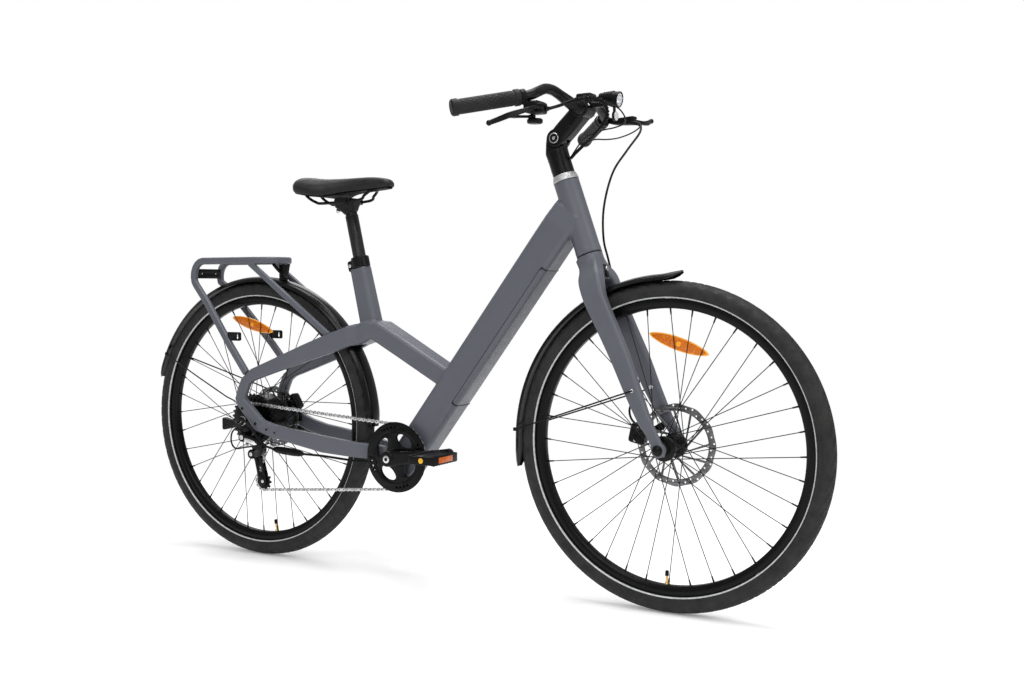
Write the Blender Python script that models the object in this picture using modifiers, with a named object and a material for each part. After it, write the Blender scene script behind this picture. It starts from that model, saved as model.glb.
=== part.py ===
"""Step-through city electric bicycle with a rear hub motor, modelled at real size in metres.

X points forward, Y to the rider's left and Z up. The origin lies on the ground, midway between the axles.
"""

import math

import bmesh
import bpy
from mathutils import Matrix, Vector

# Gaps between pieces
GAP = 0.0003
RUNNING_GAP = 0.0006

# Wheels
WHEELBASE = 1.127
RIM_OUTER_RADIUS = 0.3145
RIM_DEPTH = 0.0205
RIM_INNER_RADIUS = RIM_OUTER_RADIUS - RIM_DEPTH
RIM_WIDTH = 0.025
TYRE_HEIGHT = 0.0385
TYRE_RADIUS = RIM_OUTER_RADIUS + TYRE_HEIGHT
TYRE_WIDTH = 0.042
FRONT_GUARD_GAP = 0.015
REAR_GUARD_GAP = 0.013
SPOKE_COUNT = 36
SPOKE_RADIUS = 0.0009
WHEEL_SIDES = 32
AXLE_RADIUS = 0.005
FRONT_HUB_WIDTH = 0.100
REAR_HUB_WIDTH = 0.135
FRONT_FLANGE_RADIUS = 0.024
FRONT_FLANGE_OFFSET = 0.030
MOTOR_RADIUS = 0.063
MOTOR_AXLE_RADIUS = 0.006
MOTOR_WALL = 0.006
FRONT_ROTOR_RADIUS = 0.090
REAR_ROTOR_RADIUS = 0.080
ROTOR_THICKNESS = 0.0018
FRONT_ROTOR_OFFSET = 0.040
REAR_ROTOR_OFFSET = 0.048

# Drive
CRANK_HEIGHT = 0.290
CRANK_SETBACK = -0.105
CRANK_LENGTH = 0.170
CRANK_ANGLE = 7.5
PEDAL_AXLE_RADIUS = 0.0045
CHAINLINE = 0.0465
CHAIN_PITCH = 0.0127
CHAIN_HEIGHT = 0.0084
CHAIN_WIDTH = 0.0062
CHAINRING_TEETH = 38
COG_TEETH = (32, 26, 21, 18, 16, 13, 11)
DRIVEN_COG = 2
COG_SPACING = 0.0045
COG_THICKNESS = 0.0018
CHAIN_STEP = 15
GUARD_RADIUS = 0.084

# Frame tubes
HEAD_TOP = Vector((0.313, 0.0, 0.937))
HEAD_DIRECTION = Vector((0.3338, 0.0, -0.9426)).normalized()
RING_HEIGHT = 0.015
HEAD_TUBE_LENGTH = 0.1695
HEAD_TUBE_RADIUS = 0.028
STEERER_RADIUS = 0.0143
STEERER_BORE = 0.0175
DOWN_DIRECTION = Vector((0.6018, 0.0, 0.7986)).normalized()
DOWN_NORMAL = Vector((DOWN_DIRECTION.z, 0.0, -DOWN_DIRECTION.x))
DOWN_OFFSET = -0.24925
DOWN_DEPTH = 0.0775
DOWN_WIDTH = 0.070
BAY_START = 0.363
BAY_END = 0.752
BAY_WIDTH = 0.058
BAY_DEPTH = 0.062
COVER_DEPTH = 0.0135
COVER_WALL = 0.003
CONTROLLER_SIZE = (0.090, 0.050, 0.036)
CONTROLLER_DEPTH = 0.030
SHELL_RADIUS = 0.023
SHELL_WIDTH = 0.073
CARTRIDGE_RADIUS = 0.0175
SPINDLE_RADIUS = 0.0085
SEAT_TUBE_TOP = Vector((-0.2414, 0.0, 0.7385))
SEAT_DIRECTION = Vector((-0.2245, 0.0, 0.9745)).normalized()
SEAT_TUBE_LENGTH = 0.160
SEATPOST_RADIUS = 0.0158
POST_INSERT = 0.132
POST_PLAY = 0.018
STAY_THICKNESS = 0.017

# Cockpit
BAR_RADIUS = 0.0111
GRIP_RADIUS = 0.0155
STEM_RADIUS = 0.0245
STEM_PIVOT = Vector((0.299, 0.0, 1.017))
STEM_PIN_RADIUS = 0.006
STEM_TONGUE = 0.019

FRONT_AXLE = Vector((WHEELBASE / 2, 0.0, TYRE_RADIUS))
REAR_AXLE = Vector((-WHEELBASE / 2, 0.0, TYRE_RADIUS))
CRANK_AXLE = Vector((CRANK_SETBACK, 0.0, CRANK_HEIGHT))
ACROSS = Vector((0.0, 1.0, 0.0))
UP = Vector((0.0, 0.0, 1.0))

COLLECTION = "electric_bicycle"


# Scene and materials

def clear_scene():
    for obj in list(bpy.data.objects):
        bpy.data.objects.remove(obj, do_unlink=True)


def make_collection(name):
    collection = bpy.data.collections.new(name)
    bpy.context.scene.collection.children.link(collection)
    return collection


def make_material(name, colour, roughness, metallic=0.0):
    material = bpy.data.materials.new(name)
    material.use_nodes = True
    shader = material.node_tree.nodes["Principled BSDF"]
    shader.inputs["Base Color"].default_value = (*colour, 1.0)
    shader.inputs["Roughness"].default_value = roughness
    shader.inputs["Metallic"].default_value = metallic
    return material


def make_empty(name, location, parent=None):
    """An empty on a moving body's axis, which carries the body's pieces."""
    empty = bpy.data.objects.new(name, None)
    parts_collection.objects.link(empty)
    if parent is not None:
        empty.parent = parent
        location = location - parent.matrix_world.translation
    empty.location = location
    bpy.context.view_layer.update()
    return empty


# Shapes

def add_mesh(name, bm):
    """A new object from a closed bmesh, with its faces pointing out."""
    bmesh.ops.recalc_face_normals(bm, faces=bm.faces)
    mesh = bpy.data.meshes.new(name)
    bm.to_mesh(mesh)
    bm.free()
    obj = bpy.data.objects.new(name, mesh)
    parts_collection.objects.link(obj)
    return obj


def bake(obj):
    """Replace an object's mesh or curve by the mesh that its modifiers make."""
    bpy.context.view_layer.update()
    graph = bpy.context.evaluated_depsgraph_get()
    mesh = bpy.data.meshes.new_from_object(obj.evaluated_get(graph))
    baked = bpy.data.objects.new(obj.name + "_mesh", mesh)
    baked.matrix_world = obj.matrix_world
    parts_collection.objects.link(baked)
    name = obj.name
    bpy.data.objects.remove(obj, do_unlink=True)
    baked.name = name
    return baked


def weld(obj, distance=0.00002):
    bm = bmesh.new()
    bm.from_mesh(obj.data)
    bmesh.ops.remove_doubles(bm, verts=bm.verts, dist=distance)
    bmesh.ops.recalc_face_normals(bm, faces=bm.faces)
    bm.to_mesh(obj.data)
    bm.free()
    return obj


def combine(obj, tool, operation):
    modifier = obj.modifiers.new("combine", "BOOLEAN")
    modifier.operation = operation
    modifier.solver = "EXACT"
    modifier.object = tool
    baked = bake(obj)
    bpy.data.objects.remove(tool, do_unlink=True)
    return weld(baked, 0.000005)


def fuse(obj, *others):
    for other in others:
        obj = combine(obj, other, "UNION")
    return obj


def cut(obj, *cutters):
    for cutter in cutters:
        cutters_collection.objects.link(cutter)
        parts_collection.objects.unlink(cutter)
        cutter.hide_render = True
        cutter.display_type = "WIRE"
        obj = combine(obj, cutter, "DIFFERENCE")
    return obj


def aligned(start, end):
    """A matrix at the middle of a run, with its Z along the run."""
    run = end - start
    return Matrix.Translation((start + end) / 2) @ run.to_track_quat("Z", "Y").to_matrix().to_4x4()


def rod(name, start, end, radius, sides=12, end_radius=None):
    bm = bmesh.new()
    second = radius if end_radius is None else end_radius
    bmesh.ops.create_cone(bm, cap_ends=True, segments=sides, radius1=radius, radius2=second,
                          depth=(end - start).length, matrix=aligned(start, end))
    return add_mesh(name, bm)


def cross_rod(name, centre, low, high, radius, sides=16, end_radius=None):
    """A rod across the bicycle, between two Y positions."""
    start = Vector((centre.x, low, centre.z))
    end = Vector((centre.x, high, centre.z))
    return rod(name, start, end, radius, sides, end_radius)


def block(name, centre, size, direction=Vector((1.0, 0.0, 0.0)), bevel=0.0):
    """A box whose first side runs along a direction in the bicycle's plane."""
    bm = bmesh.new()
    forward = direction.normalized()
    top = forward.cross(ACROSS)
    turn = Matrix((forward, ACROSS, top)).transposed().to_4x4()
    scale = Matrix.Diagonal((*size, 1.0))
    bmesh.ops.create_cube(bm, size=1.0, matrix=Matrix.Translation(centre) @ turn @ scale)
    if bevel:
        bmesh.ops.bevel(bm, geom=bm.edges[:], offset=bevel, segments=1, affect="EDGES")
    return add_mesh(name, bm)


def turned(name, profile, centre, axis=ACROSS, sides=24):
    """A closed ring profile, as radius and distance along the axis, turned round that axis."""
    area = sum(a[0] * b[1] - b[0] * a[1] for a, b in zip(profile, profile[1:] + profile[:1]))
    points = profile if area < 0 else profile[::-1]
    mesh = bpy.data.meshes.new(name)
    count = len(points)
    edges = [(i, (i + 1) % count) for i in range(count)]
    mesh.from_pydata([(r, 0.0, s) for r, s in points], edges, [])
    obj = bpy.data.objects.new(name, mesh)
    parts_collection.objects.link(obj)
    screw = obj.modifiers.new("turn", "SCREW")
    screw.steps = sides
    screw.render_steps = sides
    screw.use_merge_vertices = True
    screw.merge_threshold = 0.00001
    obj = weld(bake(obj))
    turn = axis.to_track_quat("Z", "Y").to_matrix().to_4x4()
    obj.data.transform(Matrix.Translation(centre) @ turn)
    return obj


def rounded_rect(width, height, corner, steps=2):
    """Points of a rounded rectangle about its centre."""
    points = []
    for quarter, (side, top) in enumerate(((1, 1), (-1, 1), (-1, -1), (1, -1))):
        middle_x = side * (width / 2 - corner)
        middle_y = top * (height / 2 - corner)
        for step in range(steps):
            share = step / (steps - 1) if steps > 1 else 0.5
            angle = math.radians(90 * (quarter + share))
            points.append((middle_x + corner * math.cos(angle), middle_y + corner * math.sin(angle)))
    return points


def section(centre, across, up, width, height, corner, steps=2):
    return [centre + across * x + up * y for x, y in rounded_rect(width, height, corner, steps)]


def loft(name, sections, closed=False):
    """A skin through sections of equal point count, capped at its ends unless it closes on itself."""
    bm = bmesh.new()
    rings = [[bm.verts.new(point) for point in ring] for ring in sections]
    count = len(rings[0])
    pairs = list(zip(rings, rings[1:]))
    if closed:
        pairs.append((rings[-1], rings[0]))
    for first, second in pairs:
        for i in range(count):
            j = (i + 1) % count
            bm.faces.new((first[i], first[j], second[j], second[i]))
    if not closed:
        bm.faces.new(rings[0][::-1])
        bm.faces.new(rings[-1])
    return add_mesh(name, bm)


def sweep(name, stations, side=ACROSS, steps=2, closed=False):
    """A bar through stations of centre, width along the side direction, height and corner radius."""
    centres = [station[0] for station in stations]
    count = len(centres)
    sections = []
    for i, (centre, width, height, corner) in enumerate(stations):
        after = centres[(i + 1) % count] if closed else centres[min(i + 1, count - 1)]
        before = centres[i - 1] if closed else centres[max(i - 1, 0)]
        tangent = (after - before).normalized()
        across = (side - tangent * side.dot(tangent)).normalized()
        up = tangent.cross(across)
        sections.append(section(centre, across, up, width, height, corner, steps))
    return loft(name, sections, closed)


def smooth_route(points, per_span=4):
    """Points of a smooth curve that passes through the route's own points."""
    route = []
    for i in range(len(points) - 1):
        before = points[max(i - 1, 0)]
        start = points[i]
        end = points[i + 1]
        after = points[min(i + 2, len(points) - 1)]
        for step in range(per_span):
            t = step / per_span
            route.append(0.5 * (2 * start + (end - before) * t
                                + (2 * before - 5 * start + 4 * end - after) * t ** 2
                                + (3 * start - before - 3 * end + after) * t ** 3))
    route.append(points[-1])
    return route


def tube(name, points, radius, resolution=2):
    """A round tube along a route, with closed ends."""
    curve = bpy.data.curves.new(name, "CURVE")
    curve.dimensions = "3D"
    curve.bevel_depth = radius
    curve.bevel_resolution = resolution
    curve.use_fill_caps = True
    spline = curve.splines.new("POLY")
    spline.points.add(len(points) - 1)
    for target, point in zip(spline.points, points):
        target.co = (*point, 1.0)
    obj = bpy.data.objects.new(name, curve)
    parts_collection.objects.link(obj)
    return weld(bake(obj))


def plate(name, outline, thickness, centre, holes=()):
    """A flat plate across Y, from an outline and holes given as X and Z about its centre."""
    curve = bpy.data.curves.new(name, "CURVE")
    curve.dimensions = "2D"
    curve.fill_mode = "BOTH"
    curve.extrude = thickness / 2
    for loop in (outline, *holes):
        spline = curve.splines.new("POLY")
        spline.points.add(len(loop) - 1)
        spline.use_cyclic_u = True
        for target, (x, z) in zip(spline.points, loop):
            target.co = (x, z, 0.0, 1.0)
    obj = bpy.data.objects.new(name, curve)
    parts_collection.objects.link(obj)
    obj = weld(bake(obj))
    obj.data.transform(Matrix.Translation(centre) @ Matrix.Rotation(math.pi / 2, 4, "X"))
    return obj


def circle(radius, sides, centre=(0.0, 0.0), wave=0.0, waves=0):
    points = []
    for i in range(sides):
        angle = 2 * math.pi * i / sides
        reach = radius + wave * math.cos(waves * angle)
        points.append((centre[0] + reach * math.cos(angle), centre[1] + reach * math.sin(angle)))
    return points


def merge_flat_faces(obj):
    bm = bmesh.new()
    bm.from_mesh(obj.data)
    bmesh.ops.dissolve_limit(bm, angle_limit=math.radians(0.5), verts=bm.verts, edges=bm.edges)
    bm.to_mesh(obj.data)
    bm.free()


def finish(obj, name, material, body, smooth_angle=35):
    """Name a finished piece, shade it, and hang it from its body's empty."""
    merge_flat_faces(obj)
    obj.name = name
    obj.data.name = name
    obj.data.materials.clear()
    obj.data.materials.append(materials[material])
    obj.data.transform(obj.matrix_world)
    carrier = bodies[body]
    origin = carrier.matrix_world.translation
    obj.data.transform(Matrix.Translation(-origin))
    obj.matrix_world = Matrix.Identity(4)
    obj.parent = carrier
    obj.data.shade_smooth()
    obj.data.set_sharp_from_angle(angle=math.radians(smooth_angle))
    return obj


# Frame

SEAT_STAY = (
    # Upper edge, lower edge as X and Z, then the outer face's distance from the middle
    ((-0.2363, 0.6035), (-0.2323, 0.5515), 0.0335),
    ((-0.2540, 0.5980), (-0.2495, 0.5490), 0.0455),
    ((-0.2750, 0.5890), (-0.2700, 0.5405), 0.0510),
    ((-0.3050, 0.5790), (-0.3000, 0.5300), 0.0580),
    ((-0.3780, 0.5485), (-0.3720, 0.5060), 0.0720),
    ((-0.4610, 0.5130), (-0.4560, 0.4780), 0.0830),
    ((-0.5250, 0.4870), (-0.5180, 0.4570), 0.0880),
)
DROPOUT_BEND = (
    ((-0.5560, 0.4630), (-0.5320, 0.4470), 0.0880),
    ((-0.5720, 0.4340), (-0.5430, 0.4260), 0.0880),
    ((-0.5800, 0.4030), (-0.5510, 0.4020), 0.0880),
    ((-0.5680, 0.3740), (-0.5430, 0.3850), 0.0880),
    ((-0.5450, 0.3500), (-0.5200, 0.3680), 0.0880),
    ((-0.5160, 0.3310), (-0.4875, 0.3580), 0.0880),
)
CHAIN_STAY = (
    ((-0.4700, 0.3180), (-0.4550, 0.3500), 0.0830),
    ((-0.4100, 0.3050), (-0.4080, 0.3410), 0.0750),
    ((-0.3180, 0.2880), (-0.3170, 0.3300), 0.0700),
    ((-0.2340, 0.2810), (-0.2340, 0.3190), 0.0580),
    ((-0.2120, 0.2790), (-0.2120, 0.3170), 0.0500),
    ((-0.1900, 0.2780), (-0.1900, 0.3145), 0.0415),
)
CHAIN_STAY_END = (0.2760, 0.3110, 0.0385)
DROPOUT_PLATE = ((-0.570, 0.392), (-0.545, 0.398), (-0.520, 0.372), (-0.492, 0.352), (-0.498, 0.336),
                 (-0.530, 0.326), (-0.540, 0.304), (-0.562, 0.304), (-0.575, 0.328), (-0.586, 0.342),
                 (-0.588, 0.360), (-0.582, 0.378))
DROPOUT_THICKNESS = 0.005
HANGER_POINT = Vector((-0.551, 0.0, 0.3135))
RAIL_HEIGHT = 0.7595
RAIL_OFFSET = 0.048
BAR_HEIGHT = 0.018
BAR_WIDTH = 0.014
TAIL_PLATE_DEPTH = 0.004


def down_point(along, offset=DOWN_OFFSET):
    """A point in the bicycle's plane, by its places along and across the down tube."""
    return DOWN_DIRECTION * along + DOWN_NORMAL * offset


def head_point(distance, radius=0.0):
    """A point on the steering axis, or in front of it by a radius."""
    forward = Vector((-HEAD_DIRECTION.z, 0.0, HEAD_DIRECTION.x))
    return HEAD_TOP + HEAD_DIRECTION * distance + forward * radius


def edge_section(station, side, thickness, corner=0.005):
    """A section of a flat bar from its upper and lower edges and its outer face."""
    (upper_x, upper_z), (lower_x, lower_z), outer = station
    upper = Vector((upper_x, 0.0, upper_z))
    lower = Vector((lower_x, 0.0, lower_z))
    centre = (upper + lower) / 2 + ACROSS * side * (outer - thickness / 2)
    return section(centre, ACROSS, (upper - lower).normalized(), thickness, (upper - lower).length, corner)


def seat_stay_top(x):
    """Height and middle of the seat stay's upper edge at a place along the bicycle."""
    for (first, _, outer_a), (second, _, outer_b) in zip(SEAT_STAY, SEAT_STAY[1:]):
        if second[0] <= x <= first[0]:
            share = (x - first[0]) / (second[0] - first[0])
            height = first[1] + share * (second[1] - first[1])
            outer = outer_a + share * (outer_b - outer_a)
            return height, outer - STAY_THICKNESS / 2
    raise ValueError("no seat stay at this place")


def down_tube():
    sections = []
    for along, width, depth in ((0.120, 0.046, 0.056), (0.132, 0.064, 0.072), (0.152, DOWN_WIDTH, DOWN_DEPTH),
                                (0.790, DOWN_WIDTH, DOWN_DEPTH), (0.846, 0.062, DOWN_DEPTH), (0.888, 0.046, DOWN_DEPTH)):
        sections.append(section(down_point(along), ACROSS, DOWN_NORMAL, width, depth, 0.012, 3))
    return loft("down_tube", sections)


def top_tube():
    """The low top tube, which rises from the down tube to the yoke under the seat tube."""
    sections = []
    for (top_x, top_z), (low_x, low_z), width in (((0.0498, 0.4875), (0.0260, 0.4443), 0.050),
                                                  ((0.0147, 0.5068), (-0.0091, 0.4636), 0.060),
                                                  ((-0.1081, 0.5743), (-0.1319, 0.5311), 0.064),
                                                  ((-0.1721, 0.6085), (-0.1959, 0.5662), 0.068),
                                                  ((-0.2150, 0.6120), (-0.2140, 0.5565), 0.068),
                                                  ((-0.2360, 0.6037), (-0.2320, 0.5517), 0.066)):
        top = Vector((top_x, 0.0, top_z))
        low = Vector((low_x, 0.0, low_z))
        sections.append(section((top + low) / 2, ACROSS, (top - low).normalized(), width,
                                (top - low).length, 0.012, 3))
    return loft("top_tube", sections)


def seat_tube():
    forward = Vector((SEAT_DIRECTION.z, 0.0, -SEAT_DIRECTION.x))
    sections = []
    for depth in (SEAT_TUBE_LENGTH, 0.0):
        centre = SEAT_TUBE_TOP - SEAT_DIRECTION * depth
        sections.append(section(centre, ACROSS, forward, 0.0360, 0.042, 0.015, 3))
    return loft("seat_tube", sections)


def main_frame():
    frame = fuse(down_tube(), top_tube(), seat_tube())
    head = rod("head", head_point(RING_HEIGHT + GAP), head_point(RING_HEIGHT + GAP + HEAD_TUBE_LENGTH),
               HEAD_TUBE_RADIUS, 20)
    shell = cross_rod("shell", CRANK_AXLE, -SHELL_WIDTH / 2, SHELL_WIDTH / 2, SHELL_RADIUS, 18)
    frame = fuse(frame, head, shell)
    head_bore = rod("head_bore", head_point(0.0), head_point(0.25), STEERER_BORE, 20)
    shell_bore = cross_rod("shell_bore", CRANK_AXLE, -0.05, 0.05, CARTRIDGE_RADIUS + GAP, 20)
    post_bore = rod("post_bore", SEAT_TUBE_TOP - SEAT_DIRECTION * (POST_INSERT + POST_PLAY),
                    SEAT_TUBE_TOP + SEAT_DIRECTION * 0.02, SEATPOST_RADIUS + GAP, 20)
    bay_middle = (BAY_START + BAY_END) / 2
    underside = DOWN_OFFSET + DOWN_DEPTH / 2
    bay = block("bay", down_point(bay_middle, underside - BAY_DEPTH / 2 + 0.01),
                (BAY_END - BAY_START - 0.006, BAY_WIDTH, BAY_DEPTH + 0.02), DOWN_DIRECTION)
    lip = block("lip", down_point(bay_middle, underside - COVER_DEPTH / 2 + 0.01),
                (BAY_END - BAY_START, DOWN_WIDTH + 0.02, COVER_DEPTH + 0.02), DOWN_DIRECTION)
    pocket_length = CONTROLLER_SIZE[0] + 0.012 + GAP
    pocket = block("pocket", down_point(BAY_START - pocket_length / 2 + 0.008, underside - CONTROLLER_DEPTH),
                   (pocket_length, CONTROLLER_SIZE[1] + 2 * GAP, CONTROLLER_SIZE[2] + 2 * GAP), DOWN_DIRECTION)
    frame = cut(frame, head_bore, shell_bore, post_bore, bay, lip, pocket)
    finish(frame, "main_frame", "frame_paint", "frame")


def battery_cover():
    """The underside of the down tube between the two seams, on top of which the battery sits."""
    underside = DOWN_OFFSET + DOWN_DEPTH / 2
    sections = []
    for along in (BAY_START + GAP * 2, BAY_END - GAP * 2):
        sections.append(section(down_point(along), ACROSS, DOWN_NORMAL, DOWN_WIDTH, DOWN_DEPTH, 0.012, 3))
    cover = loft("cover", sections)
    length = BAY_END - BAY_START + 0.02
    middle = (BAY_START + BAY_END) / 2
    keep_out = block("keep_out", down_point(middle, underside - COVER_DEPTH + GAP - 0.05),
                     (length, DOWN_WIDTH + 0.02, 0.10), DOWN_DIRECTION)
    hollow = block("hollow", down_point(middle, underside - COVER_WALL - 0.05),
                   (BAY_END - BAY_START - 2 * COVER_WALL, BAY_WIDTH - 0.004, 0.10), DOWN_DIRECTION)
    cover = cut(cover, keep_out, hollow)
    finish(cover, "battery_cover", "frame_paint", "battery")


def battery_pack():
    underside = DOWN_OFFSET + DOWN_DEPTH / 2
    top = underside - BAY_DEPTH + 0.002
    low = underside - COVER_WALL - GAP
    pack = block("pack", down_point((BAY_START + BAY_END) / 2, (top + low) / 2),
                 (BAY_END - BAY_START - 0.020, BAY_WIDTH - 0.006, low - top), DOWN_DIRECTION, 0.004)
    finish(pack, "battery_pack", "black_plastic", "battery")


def motor_controller():
    """The controller box, in a pocket of the down tube below the battery bay."""
    underside = DOWN_OFFSET + DOWN_DEPTH / 2
    place = down_point(BAY_START - CONTROLLER_SIZE[0] / 2 - 0.004, underside - CONTROLLER_DEPTH)
    box = block("controller", place, CONTROLLER_SIZE, DOWN_DIRECTION, 0.003)
    finish(box, "motor_controller", "black_plastic", "frame")


def stay(side, name):
    stations = list(SEAT_STAY) + list(DROPOUT_BEND) + list(CHAIN_STAY)
    low, high, outer = CHAIN_STAY_END
    face = DOWN_OFFSET - DOWN_DEPTH / 2 - GAP
    ends = [((face + DOWN_DIRECTION.x * z) / DOWN_DIRECTION.z, z) for z in (low, high)]
    stations.append((ends[0], ends[1], outer))
    bar = loft("bar", [edge_section(station, side, STAY_THICKNESS) for station in stations])
    inner = REAR_HUB_WIDTH / 2 + GAP
    outline = DROPOUT_PLATE if side < 0 else tuple(p for p in DROPOUT_PLATE if p[1] > 0.305)
    middle = Vector((0.0, side * (inner + DROPOUT_THICKNESS / 2), 0.0))
    insert = plate("insert", outline, DROPOUT_THICKNESS, middle)
    bar = fuse(bar, insert)
    hole = cross_rod("hole", REAR_AXLE, -0.1, 0.1, MOTOR_AXLE_RADIUS + GAP, 16)
    if side < 0:
        thread = cross_rod("thread", HANGER_POINT, -0.1, 0.1, 0.0045 + GAP, 12)
        bar = cut(bar, hole, thread)
    else:
        bar = cut(bar, hole)
    finish(bar, name, "frame_paint", "frame")


def rear_rack():
    """A carrier whose two rails curve down behind the wheel and join in a loop at the front."""
    foot = Vector(((SEAT_STAY[-1][0][0] + DROPOUT_BEND[0][0][0]) / 2, 0.083,
                   (SEAT_STAY[-1][0][1] + DROPOUT_BEND[0][0][1]) / 2))
    bend_radius = 0.040
    bend_x = -0.717
    halves = []
    for side in (-1, 1):
        route = [Vector((foot.x - 0.0006, 0.083, foot.z + 0.0008)), Vector((-0.595, 0.079, 0.540)),
                 Vector((-0.691, 0.061, RAIL_HEIGHT - 0.1095)), Vector((-0.738, 0.0525, RAIL_HEIGHT - 0.0625))]
        for step in range(4):
            angle = math.radians(200 - 36 * step)
            route.append(Vector((bend_x + bend_radius * math.cos(angle) * 0.82, RAIL_OFFSET,
                                 RAIL_HEIGHT - bend_radius + bend_radius * math.sin(angle))))
        route += [Vector((-0.690, RAIL_OFFSET, RAIL_HEIGHT)), Vector((-0.533, RAIL_OFFSET, RAIL_HEIGHT))]
        stations = [(Vector((p.x, side * p.y, p.z)), BAR_WIDTH, BAR_HEIGHT, 0.004) for p in route]
        rail = sweep("rail", stations)
        outer = RAIL_OFFSET + BAR_WIDTH / 2 - 0.001
        ends = [(x, seat_stay_top(x)[0] + 0.0007) for x in (-0.3025, -0.3188)]
        top = ((-0.5516, RAIL_HEIGHT - 0.0014), (-0.5604, RAIL_HEIGHT - 0.0136), outer)
        leg = loft("leg", [edge_section(top, side, 0.012, 0.003),
                           edge_section((ends[0], ends[1], outer), side, 0.012, 0.003)])
        tab = block("tab", Vector((-0.592, side * 0.0785, 0.566)), (0.060, 0.004, 0.022))
        halves.append(fuse(rail, leg, tab))
    loop = []
    for step in range(7):
        angle = math.radians(-90 + 30 * step)
        loop.append((Vector((-0.533 + RAIL_OFFSET * math.cos(angle), RAIL_OFFSET * math.sin(angle),
                             RAIL_HEIGHT)), BAR_HEIGHT - 0.0006, BAR_WIDTH - 0.0006, 0.004))
    loop.insert(0, (Vector((-0.543, -RAIL_OFFSET, RAIL_HEIGHT)), BAR_HEIGHT - 0.0006, BAR_WIDTH - 0.0006, 0.004))
    loop.append((Vector((-0.543, RAIL_OFFSET, RAIL_HEIGHT)), BAR_HEIGHT - 0.0006, BAR_WIDTH - 0.0006, 0.004))
    front = sweep("front", loop, UP)
    tail = block("tail", Vector((-0.744, 0.0, RAIL_HEIGHT - 0.0325)), (TAIL_PLATE_DEPTH, 0.092, 0.024))
    rack = fuse(halves[0], halves[1], front, tail)
    finish(rack, "rear_rack", "frame_paint", "frame")


def seat_clamp():
    """The collar that grips the seatpost over the seat tube's top, with its bolt lobe behind."""
    base = SEAT_TUBE_TOP + SEAT_DIRECTION * GAP
    collar = rod("collar", base, base + SEAT_DIRECTION * 0.026, 0.0215, 24)
    backward = Vector((-SEAT_DIRECTION.z, 0.0, SEAT_DIRECTION.x))
    lobe = block("lobe", base + SEAT_DIRECTION * 0.013 + backward * 0.022, (0.016, 0.020, 0.018),
                 backward, 0.002)
    bore = rod("bore", base - SEAT_DIRECTION * 0.01, base + SEAT_DIRECTION * 0.05, SEATPOST_RADIUS + GAP, 20)
    finish(cut(fuse(collar, lobe), bore), "seat_clamp", "black_metal", "frame")


def bottom_bracket():
    half = SHELL_WIDTH / 2
    face = half + GAP
    lip = half + 0.003
    bore = SPINDLE_RADIUS + RUNNING_GAP
    profile = [(CARTRIDGE_RADIUS, -face), (CARTRIDGE_RADIUS, face), (0.020, face), (0.020, lip), (bore, lip),
               (bore, -lip), (0.020, -lip), (0.020, -face)]
    finish(turned("cartridge", profile, CRANK_AXLE, sides=14), "bottom_bracket", "steel", "frame")


def lower_headset_bearing():
    """The ring bearing in the head tube's lower mouth, round the steerer."""
    inner = STEERER_RADIUS + RUNNING_GAP
    outer = STEERER_BORE - GAP
    profile = [(inner, 0.0), (outer, 0.0), (outer, 0.007), (inner, 0.007)]
    base = head_point(RING_HEIGHT + HEAD_TUBE_LENGTH - 0.008)
    finish(turned("bearing", profile, base, HEAD_DIRECTION, 20), "lower_headset_bearing", "steel", "frame")


# Fork and steering

CROWN = (
    # Distance below the head tube, width across, depth, corner radius
    (0.000, 0.054, 0.054, 0.022),
    (0.025, 0.066, 0.052, 0.020),
    (0.048, 0.096, 0.050, 0.017),
    (0.068, 0.108, 0.046, 0.015),
)
FORK_LEG = (
    # Centre as X and Z, distance from the middle, fore-and-aft depth, thickness
    (0.4000, 0.7020, 0.0405, 0.044, 0.026),
    (0.4130, 0.6640, 0.0450, 0.044, 0.025),
    (0.4440, 0.6000, 0.0470, 0.042, 0.024),
    (0.4750, 0.5380, 0.0490, 0.038, 0.0235),
    (0.5020, 0.4750, 0.0525, 0.033, 0.023),
    (0.5300, 0.4150, 0.0570, 0.027, 0.020),
    (0.5490, 0.3840, 0.0585, 0.024, 0.016),
    (0.5635, 0.3530, 0.0585, 0.026, 0.016),
    (0.5680, 0.3360, 0.0585, 0.018, 0.014),
)
DROPOUT_OUTER = FORK_LEG[7][2] + FORK_LEG[7][4] / 2
STEM_HEIGHT = 0.0565
BAR_CENTRE = Vector((0.360, 0.0, 1.078))
CLAMP_RADIUS = 0.0195
CLAMP_HALF = 0.023
GRIP_START = Vector((0.311, 0.199, 1.080))
GRIP_END = Vector((0.212, 0.303, 1.052))
BAR_ROUTE = (
    Vector((0.3600, 0.026, 1.078)), Vector((0.3540, 0.044, 1.083)), Vector((0.3420, 0.068, 1.097)),
    Vector((0.3340, 0.096, 1.107)), Vector((0.3310, 0.126, 1.106)), Vector((0.3300, 0.150, 1.098)),
    Vector((0.3280, 0.170, 1.090)),
)


def mirrored(point, side):
    """A point of the left side, or the same point on the right when the side is -1."""
    return Vector((point.x, side * point.y, point.z))


def fork():
    seam = RING_HEIGHT + HEAD_TUBE_LENGTH + 2 * GAP
    forward = Vector((-HEAD_DIRECTION.z, 0.0, HEAD_DIRECTION.x))
    crown = loft("crown", [section(head_point(seam + drop), ACROSS, forward, width, depth, corner, 3)
                           for drop, width, depth, corner in CROWN])
    steerer = rod("steerer", head_point(-STEM_HEIGHT + 0.004), head_point(seam + 0.02), STEERER_RADIUS, 16)
    body = fuse(crown, steerer)
    for side in (-1, 1):
        stations = [(Vector((x, side * y, z)), thickness, depth, 0.007)
                    for x, z, y, depth, thickness in FORK_LEG]
        body = fuse(body, sweep("leg", stations))
    hole = cross_rod("hole", FRONT_AXLE, -0.1, 0.1, AXLE_RADIUS + GAP, 16)
    finish(cut(body, hole), "fork", "frame_paint", "steering")


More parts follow.
